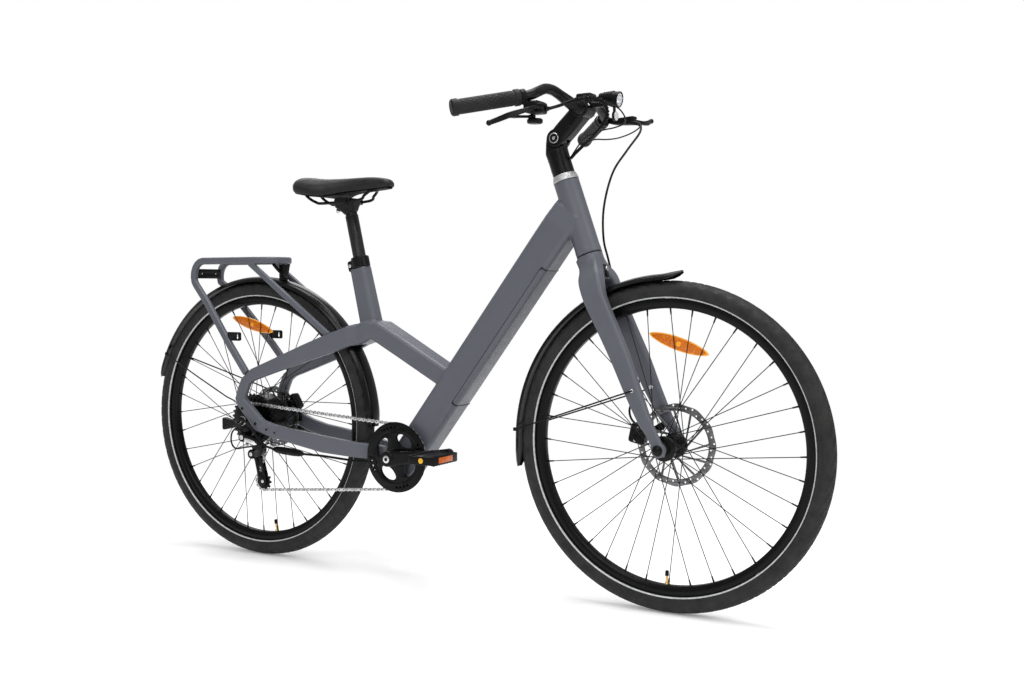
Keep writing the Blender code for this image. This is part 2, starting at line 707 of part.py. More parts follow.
def headset_ring():
    inner = STEERER_RADIUS + GAP
    profile = [(inner, 0.0), (STEM_RADIUS + 0.001, 0.0), (HEAD_TUBE_RADIUS + 0.001, RING_HEIGHT - 0.002),
               (HEAD_TUBE_RADIUS + 0.001, RING_HEIGHT), (inner, RING_HEIGHT)]
    finish(turned("ring", profile, head_point(0.0), HEAD_DIRECTION, 20), "headset_ring", "silver", "steering")


def stem_base():
    """The sleeve on the steerer, with the tongue that the arm pivots on."""
    sleeve = rod("sleeve", head_point(-STEM_HEIGHT), head_point(-GAP), STEM_RADIUS, 20)
    neck = block("neck", head_point(-STEM_HEIGHT - 0.004, 0.002), (0.030, 2 * 0.0092, 0.024), HEAD_DIRECTION)
    tongue = cross_rod("tongue", STEM_PIVOT, -0.0095, 0.0095, STEM_TONGUE, 20)
    base = fuse(sleeve, neck, tongue)
    steerer = rod("steerer", head_point(-STEM_HEIGHT + 0.003), head_point(0.02), STEERER_RADIUS + 2 * GAP, 16)
    pin = cross_rod("pin", STEM_PIVOT, -0.05, 0.05, STEM_PIN_RADIUS + 2 * GAP, 12)
    finish(cut(base, steerer, pin), "stem_base", "black_metal", "steering")


def stem_arm():
    """The adjustable arm between its pivot bolt and the handlebar clamp."""
    along = (BAR_CENTRE - STEM_PIVOT).normalized()
    reach = (BAR_CENTRE - STEM_PIVOT).length
    ears = cross_rod("ears", STEM_PIVOT, -0.0215, 0.0215, 0.0205, 18)
    beam = sweep("beam", [(STEM_PIVOT, 0.0425, 0.038, 0.006), (STEM_PIVOT + along * 0.035, 0.0425, 0.042, 0.007),
                          (STEM_PIVOT + along * (reach - 0.012), 0.0425, 0.037, 0.007)])
    clamp = cross_rod("clamp", BAR_CENTRE, -CLAMP_HALF, CLAMP_HALF, CLAMP_RADIUS, 18)
    arm = fuse(ears, beam, clamp)
    corners = [(degrees, STEM_TONGUE + RUNNING_GAP) for degrees in range(-6, 121, 21)]
    corners += [(135, 0.040), (180, 0.040), (225, 0.050), (270, 0.075), (350, 0.050)]
    outline = [(distance * math.cos(math.radians(degrees)), distance * math.sin(math.radians(degrees)))
               for degrees, distance in corners]
    slot = plate("slot", outline, 0.0196, STEM_PIVOT)
    bore = cross_rod("bore", BAR_CENTRE, -0.05, 0.05, BAR_RADIUS + 2 * GAP, 14)
    arm = cut(arm, slot, bore)
    pin = cross_rod("pin", STEM_PIVOT, -0.021, 0.021, STEM_PIN_RADIUS, 12)
    head = cross_rod("head", STEM_PIVOT, -0.0250, -0.0200, 0.0125, 14)
    finish(fuse(arm, pin, head), "stem_arm", "black_metal", "bar")


def bar_route():
    along = (GRIP_END - GRIP_START).normalized()
    left = smooth_route(BAR_ROUTE, 2) + [GRIP_START - along * 0.014, GRIP_END - along * 0.005]
    return [mirrored(point, -1) for point in reversed(left)] + left


def handlebar():
    finish(tube("bar", bar_route(), BAR_RADIUS), "handlebar", "black_metal", "bar")


def grip(side, name):
    along = (GRIP_END - GRIP_START).normalized()
    start = mirrored(GRIP_START, side)
    end = mirrored(GRIP_END, side)
    run = mirrored(along, side)
    sleeve = rod("sleeve", start, end - run * 0.006, GRIP_RADIUS, 12)
    collar = rod("collar", start + run * 0.002, start + run * 0.010, GRIP_RADIUS + 0.002, 12)
    flange = rod("flange", end - run * 0.012, end, GRIP_RADIUS + 0.0022, 12)
    bore = rod("bore", start - run * 0.02, end - run * (0.005 - GAP), BAR_RADIUS + 2 * GAP, 14)
    finish(cut(fuse(sleeve, collar, flange), bore), name, "rubber", "bar")


def bar_ring(side, name):
    """The clamp band of a control, on the straight of the bar just inside the grip."""
    run = mirrored((GRIP_END - GRIP_START).normalized(), side)
    start = mirrored(GRIP_START, side)
    return rod(name, start - run * 0.0125, start - run * 0.001, 0.0160, 18)


def bar_bore(side):
    """The handlebar's own route with a little room round it."""
    route = bar_route()
    near = route[-6:] if side > 0 else route[:6]
    return tube("bar_bore", near, BAR_RADIUS + 2 * GAP, 4)


RIGHT_LEVER_PIVOT = Vector((0.354, -0.188, 1.056))
RIGHT_LEVER_TIP = Vector((0.290, -0.285, 1.019))
LEFT_LEVER_PIVOT = Vector((0.392, 0.192, 1.074))
LEFT_LEVER_TIP = Vector((0.398, 0.285, 1.084))
SHIFT_PIVOT = Vector((0.322, -0.166, 1.044))
LEVER_PIN_RADIUS = 0.003
LEVER_BOSS_RADIUS = 0.008
LEVER_BOSS_HEIGHT = 0.008


def shifter():
    """The right-hand control: clamp band, gear pod and the fork that holds the brake lever."""
    ring = bar_ring(-1, "ring")
    pod = block("pod", Vector((0.333, -0.171, 1.0605)), (0.032, 0.050, 0.023), bevel=0.003)
    pivot = RIGHT_LEVER_PIVOT
    ears = block("ears", Vector((pivot.x - 0.007, pivot.y + 0.003, pivot.z)), (0.030, 0.020, 0.020), bevel=0.002)
    pin = rod("pin", SHIFT_PIVOT - UP * 0.004, SHIFT_PIVOT + UP * 0.008, LEVER_PIN_RADIUS, 10)
    body = fuse(ring, pod, ears, pin)
    slot = block("slot", Vector((pivot.x + 0.001, pivot.y - 0.006, pivot.z)),
                 (0.040, 0.034, LEVER_BOSS_HEIGHT + 2 * GAP))
    body = cut(body, slot, bar_bore(-1))
    lever_pin = rod("lever_pin", pivot - UP * 0.009, pivot + UP * 0.009, LEVER_PIN_RADIUS, 10)
    finish(fuse(body, lever_pin), "shifter", "black_plastic", "bar")


def left_brake_mount():
    ring = bar_ring(1, "ring")
    pivot = LEFT_LEVER_PIVOT
    arm = sweep("arm", [(Vector((0.3254, 0.2035, 1.0810)), 0.014, 0.014, 0.003),
                        (Vector((0.3520, 0.1960, 1.0755)), 0.018, 0.016, 0.003),
                        (Vector((0.3970, 0.1880, 1.0740)), 0.024, 0.020, 0.003)])
    outlet = rod("outlet", Vector((0.390, 0.183, 1.069)), Vector((0.411, 0.177, 1.065)), 0.0045, 12)
    body = fuse(ring, arm, outlet)
    slot = block("slot", Vector((pivot.x + 0.001, pivot.y + 0.006, pivot.z)),
                 (0.030, 0.034, LEVER_BOSS_HEIGHT + 2 * GAP))
    body = cut(body, slot, bar_bore(1))
    lever_pin = rod("lever_pin", pivot - UP * 0.008, pivot + UP * 0.008, LEVER_PIN_RADIUS, 10)
    finish(fuse(body, lever_pin), "left_brake_mount", "black_plastic", "bar")


def brake_lever(pivot, tip, bulge, name, body):
    """A lever blade that swings on an upright pin."""
    boss = rod("boss", pivot - UP * LEVER_BOSS_HEIGHT / 2, pivot + UP * LEVER_BOSS_HEIGHT / 2,
               LEVER_BOSS_RADIUS, 14)
    middle = (pivot + tip) / 2 + bulge
    out = Vector((middle.x - pivot.x, middle.y - pivot.y, 0.0)).normalized()
    blade = sweep("blade", [(pivot + out * 0.004, 0.0070, 0.009, 0.002),
                            (pivot + out * 0.017, 0.0070, 0.009, 0.002),
                            (middle, 0.012, 0.0065, 0.002), (tip, 0.010, 0.006, 0.002)], UP)
    ball = rod("ball", tip - (tip - middle).normalized() * 0.003, tip + (tip - middle).normalized() * 0.006,
               0.0058, 10, 0.004)
    lever = fuse(boss, blade, ball)
    bore = rod("bore", pivot - UP * 0.02, pivot + UP * 0.02, LEVER_PIN_RADIUS + GAP, 14)
    finish(cut(lever, bore), name, "black_metal", body)


def shift_lever():
    boss = rod("boss", SHIFT_PIVOT - UP * 0.0035, SHIFT_PIVOT + UP * 0.0035, 0.008, 14)
    tip = SHIFT_PIVOT + Vector((-0.036, -0.028, -0.001))
    paddle = sweep("paddle", [(SHIFT_PIVOT, 0.006, 0.008, 0.0015), (tip, 0.005, 0.012, 0.0015)], UP)
    bore = rod("bore", SHIFT_PIVOT - UP * 0.02, SHIFT_PIVOT + UP * 0.02, LEVER_PIN_RADIUS + GAP, 14)
    finish(cut(fuse(boss, paddle), bore), "shift_lever", "black_plastic", "shift")


DISPLAY_CENTRE = Vector((0.366, 0.0, 1.1045))
BUTTON_RADIUS = 0.0045


def display():
    """The control display on top of the bar clamp, with a socket for its button."""
    case = block("case", DISPLAY_CENTRE, (0.036, 0.034, 0.012), bevel=0.004)
    seat = cross_rod("seat", BAR_CENTRE, -0.05, 0.05, CLAMP_RADIUS + GAP, 24)
    top = DISPLAY_CENTRE.z + 0.006
    socket = rod("socket", Vector((DISPLAY_CENTRE.x - 0.009, 0.0, top - 0.004)),
                 Vector((DISPLAY_CENTRE.x - 0.009, 0.0, top + 0.01)), BUTTON_RADIUS + GAP, 16)
    foot = block("foot", Vector((DISPLAY_CENTRE.x, 0.0, DISPLAY_CENTRE.z - 0.007)), (0.020, 0.024, 0.008))
    finish(cut(fuse(case, foot), seat, socket), "display", "gloss_black", "bar")


def display_button():
    top = DISPLAY_CENTRE.z + 0.006
    low = Vector((DISPLAY_CENTRE.x - 0.009, 0.0, top - 0.0025))
    finish(rod("button", low, low + UP * 0.0040, BUTTON_RADIUS, 16), "display_button", "rubber", "button")


def headlight():
    """A tapered lamp on a bracket in front of the clamp, with a round reflector below."""
    rear = Vector((0.398, 0.0, 1.100))
    front = Vector((0.446, 0.0, 1.092))
    along = (front - rear).normalized()
    shell = rod("shell", rear, front - along * 0.004, 0.0105, 20, 0.0168)
    lip = rod("lip", front - along * 0.006, front, 0.0172, 20)
    bracket = block("bracket", Vector((0.3920, 0.0, 1.0845)), (0.0415, 0.012, 0.010))
    post = block("post", Vector((0.4060, 0.0, 1.0905)), (0.010, 0.012, 0.014))
    hanger = block("hanger", Vector((0.4330, 0.0, 1.072)), (0.004, 0.008, 0.020))
    disc = rod("disc", Vector((0.4315, 0.0, 1.058)), Vector((0.4385, 0.0, 1.058)), 0.0105, 16)
    seat = cross_rod("seat", BAR_CENTRE, -0.05, 0.05, CLAMP_RADIUS + GAP, 24)
    finish(cut(fuse(shell, lip, bracket, post, hanger, disc), seat), "headlight", "black_plastic", "bar")


HOSE_RADIUS = 0.0025
BUNDLE_RADIUS = 0.0040
HOSE_ROUTE = (
    Vector((0.4119, 0.1766, 1.0647)), Vector((0.4210, 0.1700, 1.0590)), Vector((0.4270, 0.1480, 1.0380)),
    Vector((0.4120, 0.1120, 0.9960)), Vector((0.3930, 0.0790, 0.9450)), Vector((0.3830, 0.0560, 0.8700)),
    Vector((0.3850, 0.0500, 0.8000)), Vector((0.3930, 0.0600, 0.7500)),
    Vector((0.4180, 0.0640, 0.6500)), Vector((0.4440, 0.0640, 0.6000)), Vector((0.4740, 0.0665, 0.5380)),
    Vector((0.4900, 0.0740, 0.4900)), Vector((0.4900, 0.0770, 0.4500)), Vector((0.4840, 0.0660, 0.4170)),
    Vector((0.4806, 0.0540, 0.4010)), Vector((0.4797, 0.0520, 0.3946)),
)
BUNDLE_ROUTE = (
    Vector((0.3380, -0.1455, 1.0608)), Vector((0.3400, -0.1380, 1.0615)),
    Vector((0.3540, -0.1150, 1.0690)), Vector((0.3790, -0.0780, 1.0860)),
    Vector((0.4020, -0.0480, 1.0930)), Vector((0.4240, -0.0330, 1.0820)), Vector((0.4280, -0.0260, 1.0580)),
    Vector((0.4120, -0.0190, 1.0360)), Vector((0.3880, -0.0110, 1.0180)), Vector((0.3640, -0.0040, 1.0020)),
    Vector((0.3420, 0.0000, 0.9850)), Vector((0.3280, 0.0000, 0.9730)),
)


def front_brake_cable():
    route = smooth_route(HOSE_ROUTE, 2)
    finish(tube("hose", route, HOSE_RADIUS, 1), "front_brake_cable", "cable_black", "steering")


def cable_bundle():
    route = smooth_route(BUNDLE_ROUTE, 2)
    finish(tube("bundle", route, BUNDLE_RADIUS, 1), "cable_bundle", "cable_black", "steering")


# Wheels

def rim(axle, name, body):
    half = RIM_WIDTH / 2
    profile = [(RIM_INNER_RADIUS, 0.0065), (RIM_INNER_RADIUS + 0.009, half), (RIM_OUTER_RADIUS, half),
               (RIM_OUTER_RADIUS, -half), (RIM_INNER_RADIUS + 0.009, -half), (RIM_INNER_RADIUS, -0.0065)]
    finish(turned("rim", profile, axle, sides=WHEEL_SIDES), name, "black_metal", body)


def tyre(axle, name, body):
    bead = RIM_OUTER_RADIUS + GAP * 2
    half = TYRE_WIDTH / 2
    right = [(bead, RIM_WIDTH / 2 - 0.001), (TYRE_RADIUS - 0.0190, half),
             (TYRE_RADIUS - 0.0065, 0.0160), (TYRE_RADIUS, 0.0060)]
    profile = right + [(radius, -offset) for radius, offset in reversed(right)]
    finish(turned("tyre", profile, axle, sides=WHEEL_SIDES), name, "tyre_rubber", body)


def rim_bed(angle):
    """The rim's inner radius at an angle, between the corners of its straight steps."""
    step = 2 * math.pi / WHEEL_SIDES
    return RIM_INNER_RADIUS * math.cos(step / 2) / math.cos(angle % step - step / 2)


def spoke_set(axle, flange_radius, flange_offset, lead):
    """Crossed spokes from both flanges to the rim, whose ends stop just inside it."""
    bm = bmesh.new()
    per_side = SPOKE_COUNT // 2
    step = 360 / per_side
    for side in (-1, 1):
        for i in range(per_side):
            turn = 1 if i % 2 else -1
            at_hub = math.radians(i * step + (step / 2 if side > 0 else 0))
            at_rim = at_hub + math.radians(turn * lead * step)
            root = Vector((flange_radius * math.cos(at_hub), side * (flange_offset + turn * 0.0022),
                           flange_radius * math.sin(at_hub)))
            reach = rim_bed(at_rim) - 1.5 * GAP
            tip = Vector((reach * math.cos(at_rim), side * 0.002, reach * math.sin(at_rim)))
            bmesh.ops.create_cone(bm, cap_ends=True, segments=3, radius1=SPOKE_RADIUS, radius2=SPOKE_RADIUS,
                                  depth=(tip - root).length, matrix=Matrix.Translation(axle) @ aligned(root, tip))
    return add_mesh("spokes", bm)


def front_hub():
    bore = AXLE_RADIUS + RUNNING_GAP
    half = FRONT_HUB_WIDTH / 2
    flange = FRONT_FLANGE_OFFSET
    seat = FRONT_ROTOR_OFFSET - ROTOR_THICKNESS / 2 - GAP
    outer = [(0.010, -half), (0.0125, -half + 0.008), (0.0140, -flange - 0.004), (0.0265, -flange - 0.0035),
             (0.0265, -flange + 0.0035), (0.0150, -flange + 0.008), (0.0150, flange - 0.008),
             (0.0265, flange - 0.0035), (0.0265, flange + 0.0035), (0.0205, flange + 0.005), (0.0205, seat),
             (0.0122, seat), (0.0122, half - 0.003), (0.0100, half)]
    profile = outer + [(bore, half), (bore, -half)]
    hub = turned("hub", profile, FRONT_AXLE, sides=14)
    finish(fuse(hub, spoke_set(FRONT_AXLE, FRONT_FLANGE_RADIUS, flange, 3)), "front_hub", "black_metal",
           "front_wheel")


def front_axle():
    reach = DROPOUT_OUTER + 0.009
    axle = cross_rod("axle", FRONT_AXLE, -reach, reach, AXLE_RADIUS, 16)
    for side in (-1, 1):
        inner = side * (DROPOUT_OUTER + GAP)
        outer = side * (DROPOUT_OUTER + 0.007)
        axle = fuse(axle, cross_rod("nut", FRONT_AXLE, min(inner, outer), max(inner, outer), 0.0095, 6))
    finish(axle, "front_axle", "black_metal", "steering")


def rotor(axle, radius, offset, centre_radius, name, body):
    """A brake disc with six arms, inside the braking track."""
    holes = [circle(centre_radius + 3 * GAP, 14)]
    for i in range(6):
        start = 60 * i
        window = []
        for angle in (start + 8, start + 23, start + 37, start + 52):
            window.append((radius - 0.019, math.radians(angle)))
        for angle in (start + 45, start + 15):
            window.append((centre_radius + 0.014, math.radians(angle)))
        holes.append([(reach * math.cos(angle), reach * math.sin(angle)) for reach, angle in window])
    outline = circle(radius - 0.001, 24, wave=0.001, waves=12)
    disc = plate("disc", outline, ROTOR_THICKNESS, axle + ACROSS * offset, holes)
    finish(disc, name, "steel", body, 30)


def lens(axle, angle, middle_radius, tilt, size, offset, name, body):
    """A wheel reflector of lens outline, flat against the spokes and turned by a tilt."""
    length, height = size
    points = []
    for i in range(13):
        share = -1 + 2 * i / 12
        points.append((share * length / 2, height / 2 * (1 - share ** 2) ** 0.7 + 0.0005))
    for i in range(13):
        share = 1 - 2 * i / 12
        points.append((share * length / 2, -height / 2 * (1 - share ** 2) ** 0.7 - 0.0005))
    middle = Vector((middle_radius * math.cos(angle), 0.0, middle_radius * math.sin(angle)))
    flat = plate("lens", points, 0.005, Vector((0.0, 0.0, 0.0)))
    flat.data.transform(Matrix.Rotation(tilt, 4, "Y"))
    flat.data.transform(Matrix.Translation(axle + middle + ACROSS * offset))
    finish(flat, name, "reflector_amber", body)


def hub_motor():
    """The motor's shell, hollow round its stator, with the freewheel boss and brake seat on its ends."""
    bore = MOTOR_AXLE_RADIUS + RUNNING_GAP
    end = REAR_HUB_WIDTH / 2 - 0.001
    half = 0.030
    seat = REAR_ROTOR_OFFSET - ROTOR_THICKNESS / 2 - GAP
    cavity = MOTOR_RADIUS - MOTOR_WALL
    profile = [(0.0160, -end), (0.0160, -half - 0.004), (0.030, -half - 0.003), (MOTOR_RADIUS - 0.006, -half),
               (MOTOR_RADIUS, -half + 0.005), (MOTOR_RADIUS, half - 0.005), (MOTOR_RADIUS - 0.006, half),
               (0.030, half + 0.003), (0.0220, half + 0.004), (0.0220, seat), (0.0150, seat), (0.0150, end),
               (bore, end), (bore, half - MOTOR_WALL), (cavity, half - MOTOR_WALL), (cavity, MOTOR_WALL - half),
               (bore, MOTOR_WALL - half), (bore, -end)]
    shell = turned("shell", profile, REAR_AXLE, sides=18)
    spokes = spoke_set(REAR_AXLE, MOTOR_RADIUS - MOTOR_WALL / 2, 0.0215, 2)
    finish(fuse(shell, spokes), "rear_hub_motor", "black_metal", "rear_wheel")


def motor_axle():
    """The fixed axle with the motor's stator on it and a nut outside each dropout."""
    reach = 0.088
    outer_face = REAR_HUB_WIDTH / 2 + GAP + DROPOUT_THICKNESS
    axle = cross_rod("axle", REAR_AXLE, -reach, reach, MOTOR_AXLE_RADIUS, 10)
    stator = cross_rod("stator", REAR_AXLE, -0.018, 0.018, MOTOR_RADIUS - MOTOR_WALL - 0.003, 18)
    axle = fuse(axle, stator)
    for side in (-1, 1):
        inner = side * (outer_face + GAP)
        outer = side * (outer_face + 0.009)
        axle = fuse(axle, cross_rod("nut", REAR_AXLE, min(inner, outer), max(inner, outer), 0.0105, 6))
    finish(axle, "motor_axle", "steel", "frame")


# Drive

def pitch_radius(teeth):
    return CHAIN_PITCH / (2 * math.sin(math.pi / teeth))


def root_radius(teeth):
    """The largest radius that stays inside the chain where the band's straight steps come nearest."""
    return (pitch_radius(teeth) - CHAIN_HEIGHT / 2) * math.cos(math.radians(CHAIN_STEP / 2)) - GAP


GUIDE_PULLEY = Vector((-0.538, -CHAINLINE, 0.272))
TENSION_PULLEY = Vector((-0.519, -CHAINLINE, 0.199))
PULLEY_TEETH = 11
CAGE_GAP = 0.0007
CAGE_THICKNESS = 0.0017


def chain_path():
    """Points of the chain's pitch line round the four wheels that it passes, in its running order."""
    wheels = [(CRANK_AXLE, pitch_radius(CHAINRING_TEETH), -1), (TENSION_PULLEY, pitch_radius(PULLEY_TEETH), -1),
              (GUIDE_PULLEY, pitch_radius(PULLEY_TEETH), 1), (REAR_AXLE, pitch_radius(COG_TEETH[DRIVEN_COG]), -1)]
    headings = []
    for i, (centre, radius, sense) in enumerate(wheels):
        after, after_radius, after_sense = wheels[(i + 1) % len(wheels)]
        run = after - centre
        lean = (-sense * radius + after_sense * after_radius) / math.hypot(run.x, run.z)
        headings.append(math.atan2(run.z, run.x) - math.asin(lean))
    points = []
    for i, (centre, radius, sense) in enumerate(wheels):
        arrive = headings[i - 1]
        leave = headings[i]
        sweep_angle = (leave - arrive) * sense % (2 * math.pi)
        steps = math.ceil(sweep_angle / math.radians(CHAIN_STEP))
        for step in range(steps + 1):
            heading = arrive + sense * sweep_angle * step / steps
            outward = Vector((-math.sin(heading), 0.0, math.cos(heading))) * -sense
            points.append(Vector((centre.x, -CHAINLINE, centre.z)) + outward * radius)
    return points


def chain():
    """The chain as one closed band along its pitch line."""
    path = chain_path()
    stations = [(point, CHAIN_WIDTH, CHAIN_HEIGHT, 0.0) for point in path]
    finish(sweep("chain", stations, steps=1, closed=True), "chain", "chain_steel", "frame")


def cassette():
    bore = 0.0160 + 2 * RUNNING_GAP
    spacer = 0.0195
    profile = []
    for i, teeth in enumerate(COG_TEETH):
        middle = -CHAINLINE - (i - DRIVEN_COG) * COG_SPACING
        radius = root_radius(teeth) if i == DRIVEN_COG else pitch_radius(teeth) + 0.002
        profile += [(radius, middle + COG_THICKNESS / 2), (radius, middle - COG_THICKNESS / 2)]
        if i + 1 < len(COG_TEETH):
            profile += [(spacer, middle - COG_THICKNESS / 2), (spacer, middle - COG_SPACING + COG_THICKNESS / 2)]
    profile += [(bore, profile[-1][1]), (bore, profile[0][1])]
    finish(turned("cogs", profile, REAR_AXLE, sides=12), "cassette", "steel", "cassette")


def pulley(centre, name):
    profile = [(0.0030 + GAP * 2, -0.002), (root_radius(PULLEY_TEETH), -0.002),
               (root_radius(PULLEY_TEETH), 0.002), (0.0030 + GAP * 2, 0.002)]
    finish(turned("pulley", profile, centre, sides=12), name, "black_plastic", name)


def derailleur_cage():
    """Two plates, one each side of the pulleys, held together by the pulleys' bolts."""
    run = TENSION_PULLEY - GUIDE_PULLEY
    inner = CHAIN_WIDTH / 2 + CAGE_GAP
    cage = None
    for side in (-1, 1):
        offset = ACROSS * side * (inner + CAGE_THICKNESS / 2)
        outline = []
        for centre, turn in ((Vector((0.0, 0.0, 0.0)), 0.0), (run, math.pi)):
            base = math.atan2(run.z, run.x) + math.pi / 2 + turn
            for step in range(5):
                angle = base + math.pi * step / 4
                outline.append((centre.x + 0.0125 * math.cos(angle), centre.z + 0.0125 * math.sin(angle)))
        side_plate = plate("plate", outline, CAGE_THICKNESS, GUIDE_PULLEY + offset)
        cage = side_plate if cage is None else fuse_pins(cage, side_plate)
    finish(cage, "derailleur_cage", "black_metal", "derailleur_cage")


def fuse_pins(first, second):
    """Join the two cage plates by a bolt through each pulley."""
    reach = CHAIN_WIDTH / 2 + CAGE_GAP + CAGE_THICKNESS + 0.0012
    for centre in (GUIDE_PULLEY, TENSION_PULLEY):
        bolt = cross_rod("bolt", centre, centre.y - reach, centre.y + reach, 0.0030, 8)
        first = fuse(first, bolt)
    return fuse(first, second)


def derailleur_body():
    """The hanger knuckle, parallelogram and lower knuckle that carry the cage."""
    plate_outer = REAR_HUB_WIDTH / 2 + GAP + DROPOUT_THICKNESS
    hanger = cross_rod("hanger", HANGER_POINT, -plate_outer - 0.020, -plate_outer - GAP, 0.0115, 18)
    stud = cross_rod("stud", HANGER_POINT, -plate_outer - 0.001, -plate_outer + 0.004, 0.0045, 12)
    lower = Vector((GUIDE_PULLEY.x + 0.004, 0.0, GUIDE_PULLEY.z - 0.002))
    cage_outer = CHAINLINE + CHAIN_WIDTH / 2 + CAGE_GAP + CAGE_THICKNESS + 0.0012
    knuckle = cross_rod("knuckle", lower, -cage_outer - 0.024, -cage_outer - GAP, 0.0125, 18)
    link = sweep("link", [(Vector((HANGER_POINT.x, -plate_outer - 0.011, HANGER_POINT.z)), 0.015, 0.018, 0.003),
                          (Vector((-0.512, -0.084, 0.304)), 0.018, 0.022, 0.003),
                          (Vector((-0.496, -0.078, 0.286)), 0.020, 0.024, 0.003),
                          (Vector((lower.x, -cage_outer - 0.012, lower.z)), 0.018, 0.016, 0.003)])
    finish(fuse(hanger, stud, link, knuckle), "derailleur_body", "black_metal", "frame")


CRANK_INNER = 0.0795
CRANK_OUTER = 0.0930
BOSS_RADIUS = 0.0180
BOSS_INNER = 0.0435
SPINDLE_HALF = 0.0620


def crank_direction(side):
    angle = math.radians(CRANK_ANGLE)
    return Vector((-side * math.cos(angle), 0.0, -side * math.sin(angle)))


def pedal_axle(side):
    return CRANK_AXLE + crank_direction(side) * CRANK_LENGTH


def crank_spindle():
    spindle = cross_rod("spindle", CRANK_AXLE, -SPINDLE_HALF, SPINDLE_HALF, SPINDLE_RADIUS, 16)
    finish(spindle, "crank_spindle", "steel", "crank")


def crank_arm(side, name):
    """One arm with its boss on the spindle and the pedal's axle in its end."""
    along = crank_direction(side)
    stations = []
    for reach, depth, offset in ((0.0, 0.034, 0.082), (0.060, 0.030, 0.084), (CRANK_LENGTH, 0.026, 0.0862)):
        centre = CRANK_AXLE + along * reach + ACROSS * side * offset
        stations.append((centre, 0.0135, depth, 0.004))
    arm = sweep("arm", stations)
    inner = side * BOSS_INNER
    outer = side * CRANK_OUTER
    boss = cross_rod("boss", CRANK_AXLE, min(inner, outer), max(inner, outer), BOSS_RADIUS, 16)
    end = cross_rod("end", pedal_axle(side), min(side * CRANK_INNER, side * CRANK_OUTER),
                    max(side * CRANK_INNER, side * CRANK_OUTER), 0.0140, 14)
    near = side * 0.085
    far = side * (PEDAL_INNER + PEDAL_WIDTH - 0.008)
    axle = cross_rod("axle", pedal_axle(side), min(near, far), max(near, far), PEDAL_AXLE_RADIUS, 14)
    socket_end = side * (SPINDLE_HALF + GAP)
    socket = cross_rod("socket", CRANK_AXLE, min(0.0, socket_end), max(0.0, socket_end),
                       SPINDLE_RADIUS + 2 * GAP, 14)
    finish(cut(fuse(arm, boss, end, axle), socket), name, "black_metal", "crank")


PEDAL_INNER = 0.1000
PEDAL_WIDTH = 0.0980
PEDAL_LENGTH = 0.0680
PEDAL_HEIGHT = 0.0220


def pedal(side, name):
    """A platform pedal, open each side of its axle tube."""
    middle = pedal_axle(side) + ACROSS * side * (PEDAL_INNER + PEDAL_WIDTH / 2)
    body = block("body", middle, (PEDAL_LENGTH, PEDAL_WIDTH, PEDAL_HEIGHT), bevel=0.004)
    for end in (-1, 1):
        window = block("window", middle + Vector((end * 0.0185, 0.0, 0.0)),
                       (0.0130, PEDAL_WIDTH - 0.028, PEDAL_HEIGHT + 0.02))
        body = cut(body, window)
    bore_start = side * (PEDAL_INNER - 0.01)
    bore_end = side * (PEDAL_INNER + PEDAL_WIDTH - 0.006)
    bore = cross_rod("bore", pedal_axle(side), min(bore_start, bore_end), max(bore_start, bore_end),
                     PEDAL_AXLE_RADIUS + GAP, 14)
    finish(cut(body, bore), name, "black_plastic", name)


def chainring():
    """The toothless ring that the chain rests on, its spider and the outer guard."""
    ring_outer = root_radius(CHAINRING_TEETH)
    chain_side = CHAINLINE + CHAIN_WIDTH / 2 + CAGE_GAP
    guard_outer = chain_side + 0.0025
    ring = plate("ring", circle(ring_outer, 28), 0.0030, CRANK_AXLE - ACROSS * CHAINLINE,
                 [circle(0.0560, 24)])
    guard = plate("guard", circle(GUARD_RADIUS, 28), guard_outer - chain_side,
                  CRANK_AXLE - ACROSS * (guard_outer + chain_side) / 2, [circle(0.0640, 24)])
    points = []
    for i in range(4):
        middle = 105 + 90 * i
        for reach, angle in ((0.0270, middle - 33), (0.0420, middle - 12), (0.0675, middle - 8), (0.0690, middle),
                             (0.0675, middle + 8), (0.0420, middle + 12), (0.0270, middle + 33)):
            points.append((reach * math.cos(math.radians(angle)), reach * math.sin(math.radians(angle))))
    low = CHAINLINE - 0.0010
    high = guard_outer - 0.0006
    spider = plate("spider", points, high - low, CRANK_AXLE - ACROSS * (low + high) / 2,
                   [circle(BOSS_RADIUS + GAP, 24)])
    finish(fuse(spider, ring, guard), "chainring", "black_metal", "crank")


# Brakes, mudguards and stand

def caliper_slot(axle, offset, radius):
    return cross_rod("slot", axle, offset - ROTOR_THICKNESS / 2 - 0.0004, offset + ROTOR_THICKNESS / 2 + 0.0004,
                     radius + 0.002, 48)


def front_caliper():
    centre = Vector((0.4750, 0.0450, 0.3720))
    body = block("body", centre, (0.044, 0.032, 0.040), Vector((0.208, 0.0, 0.978)), 0.004)
    rear_face = Vector((0.5287, 0.0560, 0.3928))
    toward = Vector((0.8530, 0.0, 0.5220))
    arm = block("arm", rear_face - toward * (0.028 + 2 * GAP), (0.056, 0.008, 0.018), toward)
    body = fuse(body, arm)
    finish(cut(body, caliper_slot(FRONT_AXLE, FRONT_ROTOR_OFFSET, FRONT_ROTOR_RADIUS)), "front_caliper",
           "black_metal", "steering")


def rear_caliper():
    centre = Vector((-0.4980, 0.0500, 0.3920))
    body = block("body", centre, (0.044, 0.028, 0.036), Vector((-0.515, 0.0, 0.857)), 0.004)
    foot = block("foot", Vector((-0.4990, 0.0630, 0.3660)), (0.024, 0.0080, 0.050))
    body = fuse(body, foot)
    finish(cut(body, caliper_slot(REAR_AXLE, REAR_ROTOR_OFFSET, REAR_ROTOR_RADIUS)), "rear_caliper",
           "black_metal", "frame")


GUARD_SECTION = ((0.0130, 0.0), (0.0215, 0.0030), (0.0255, 0.0105), (0.0235, 0.0108), (0.0160, 0.0022))


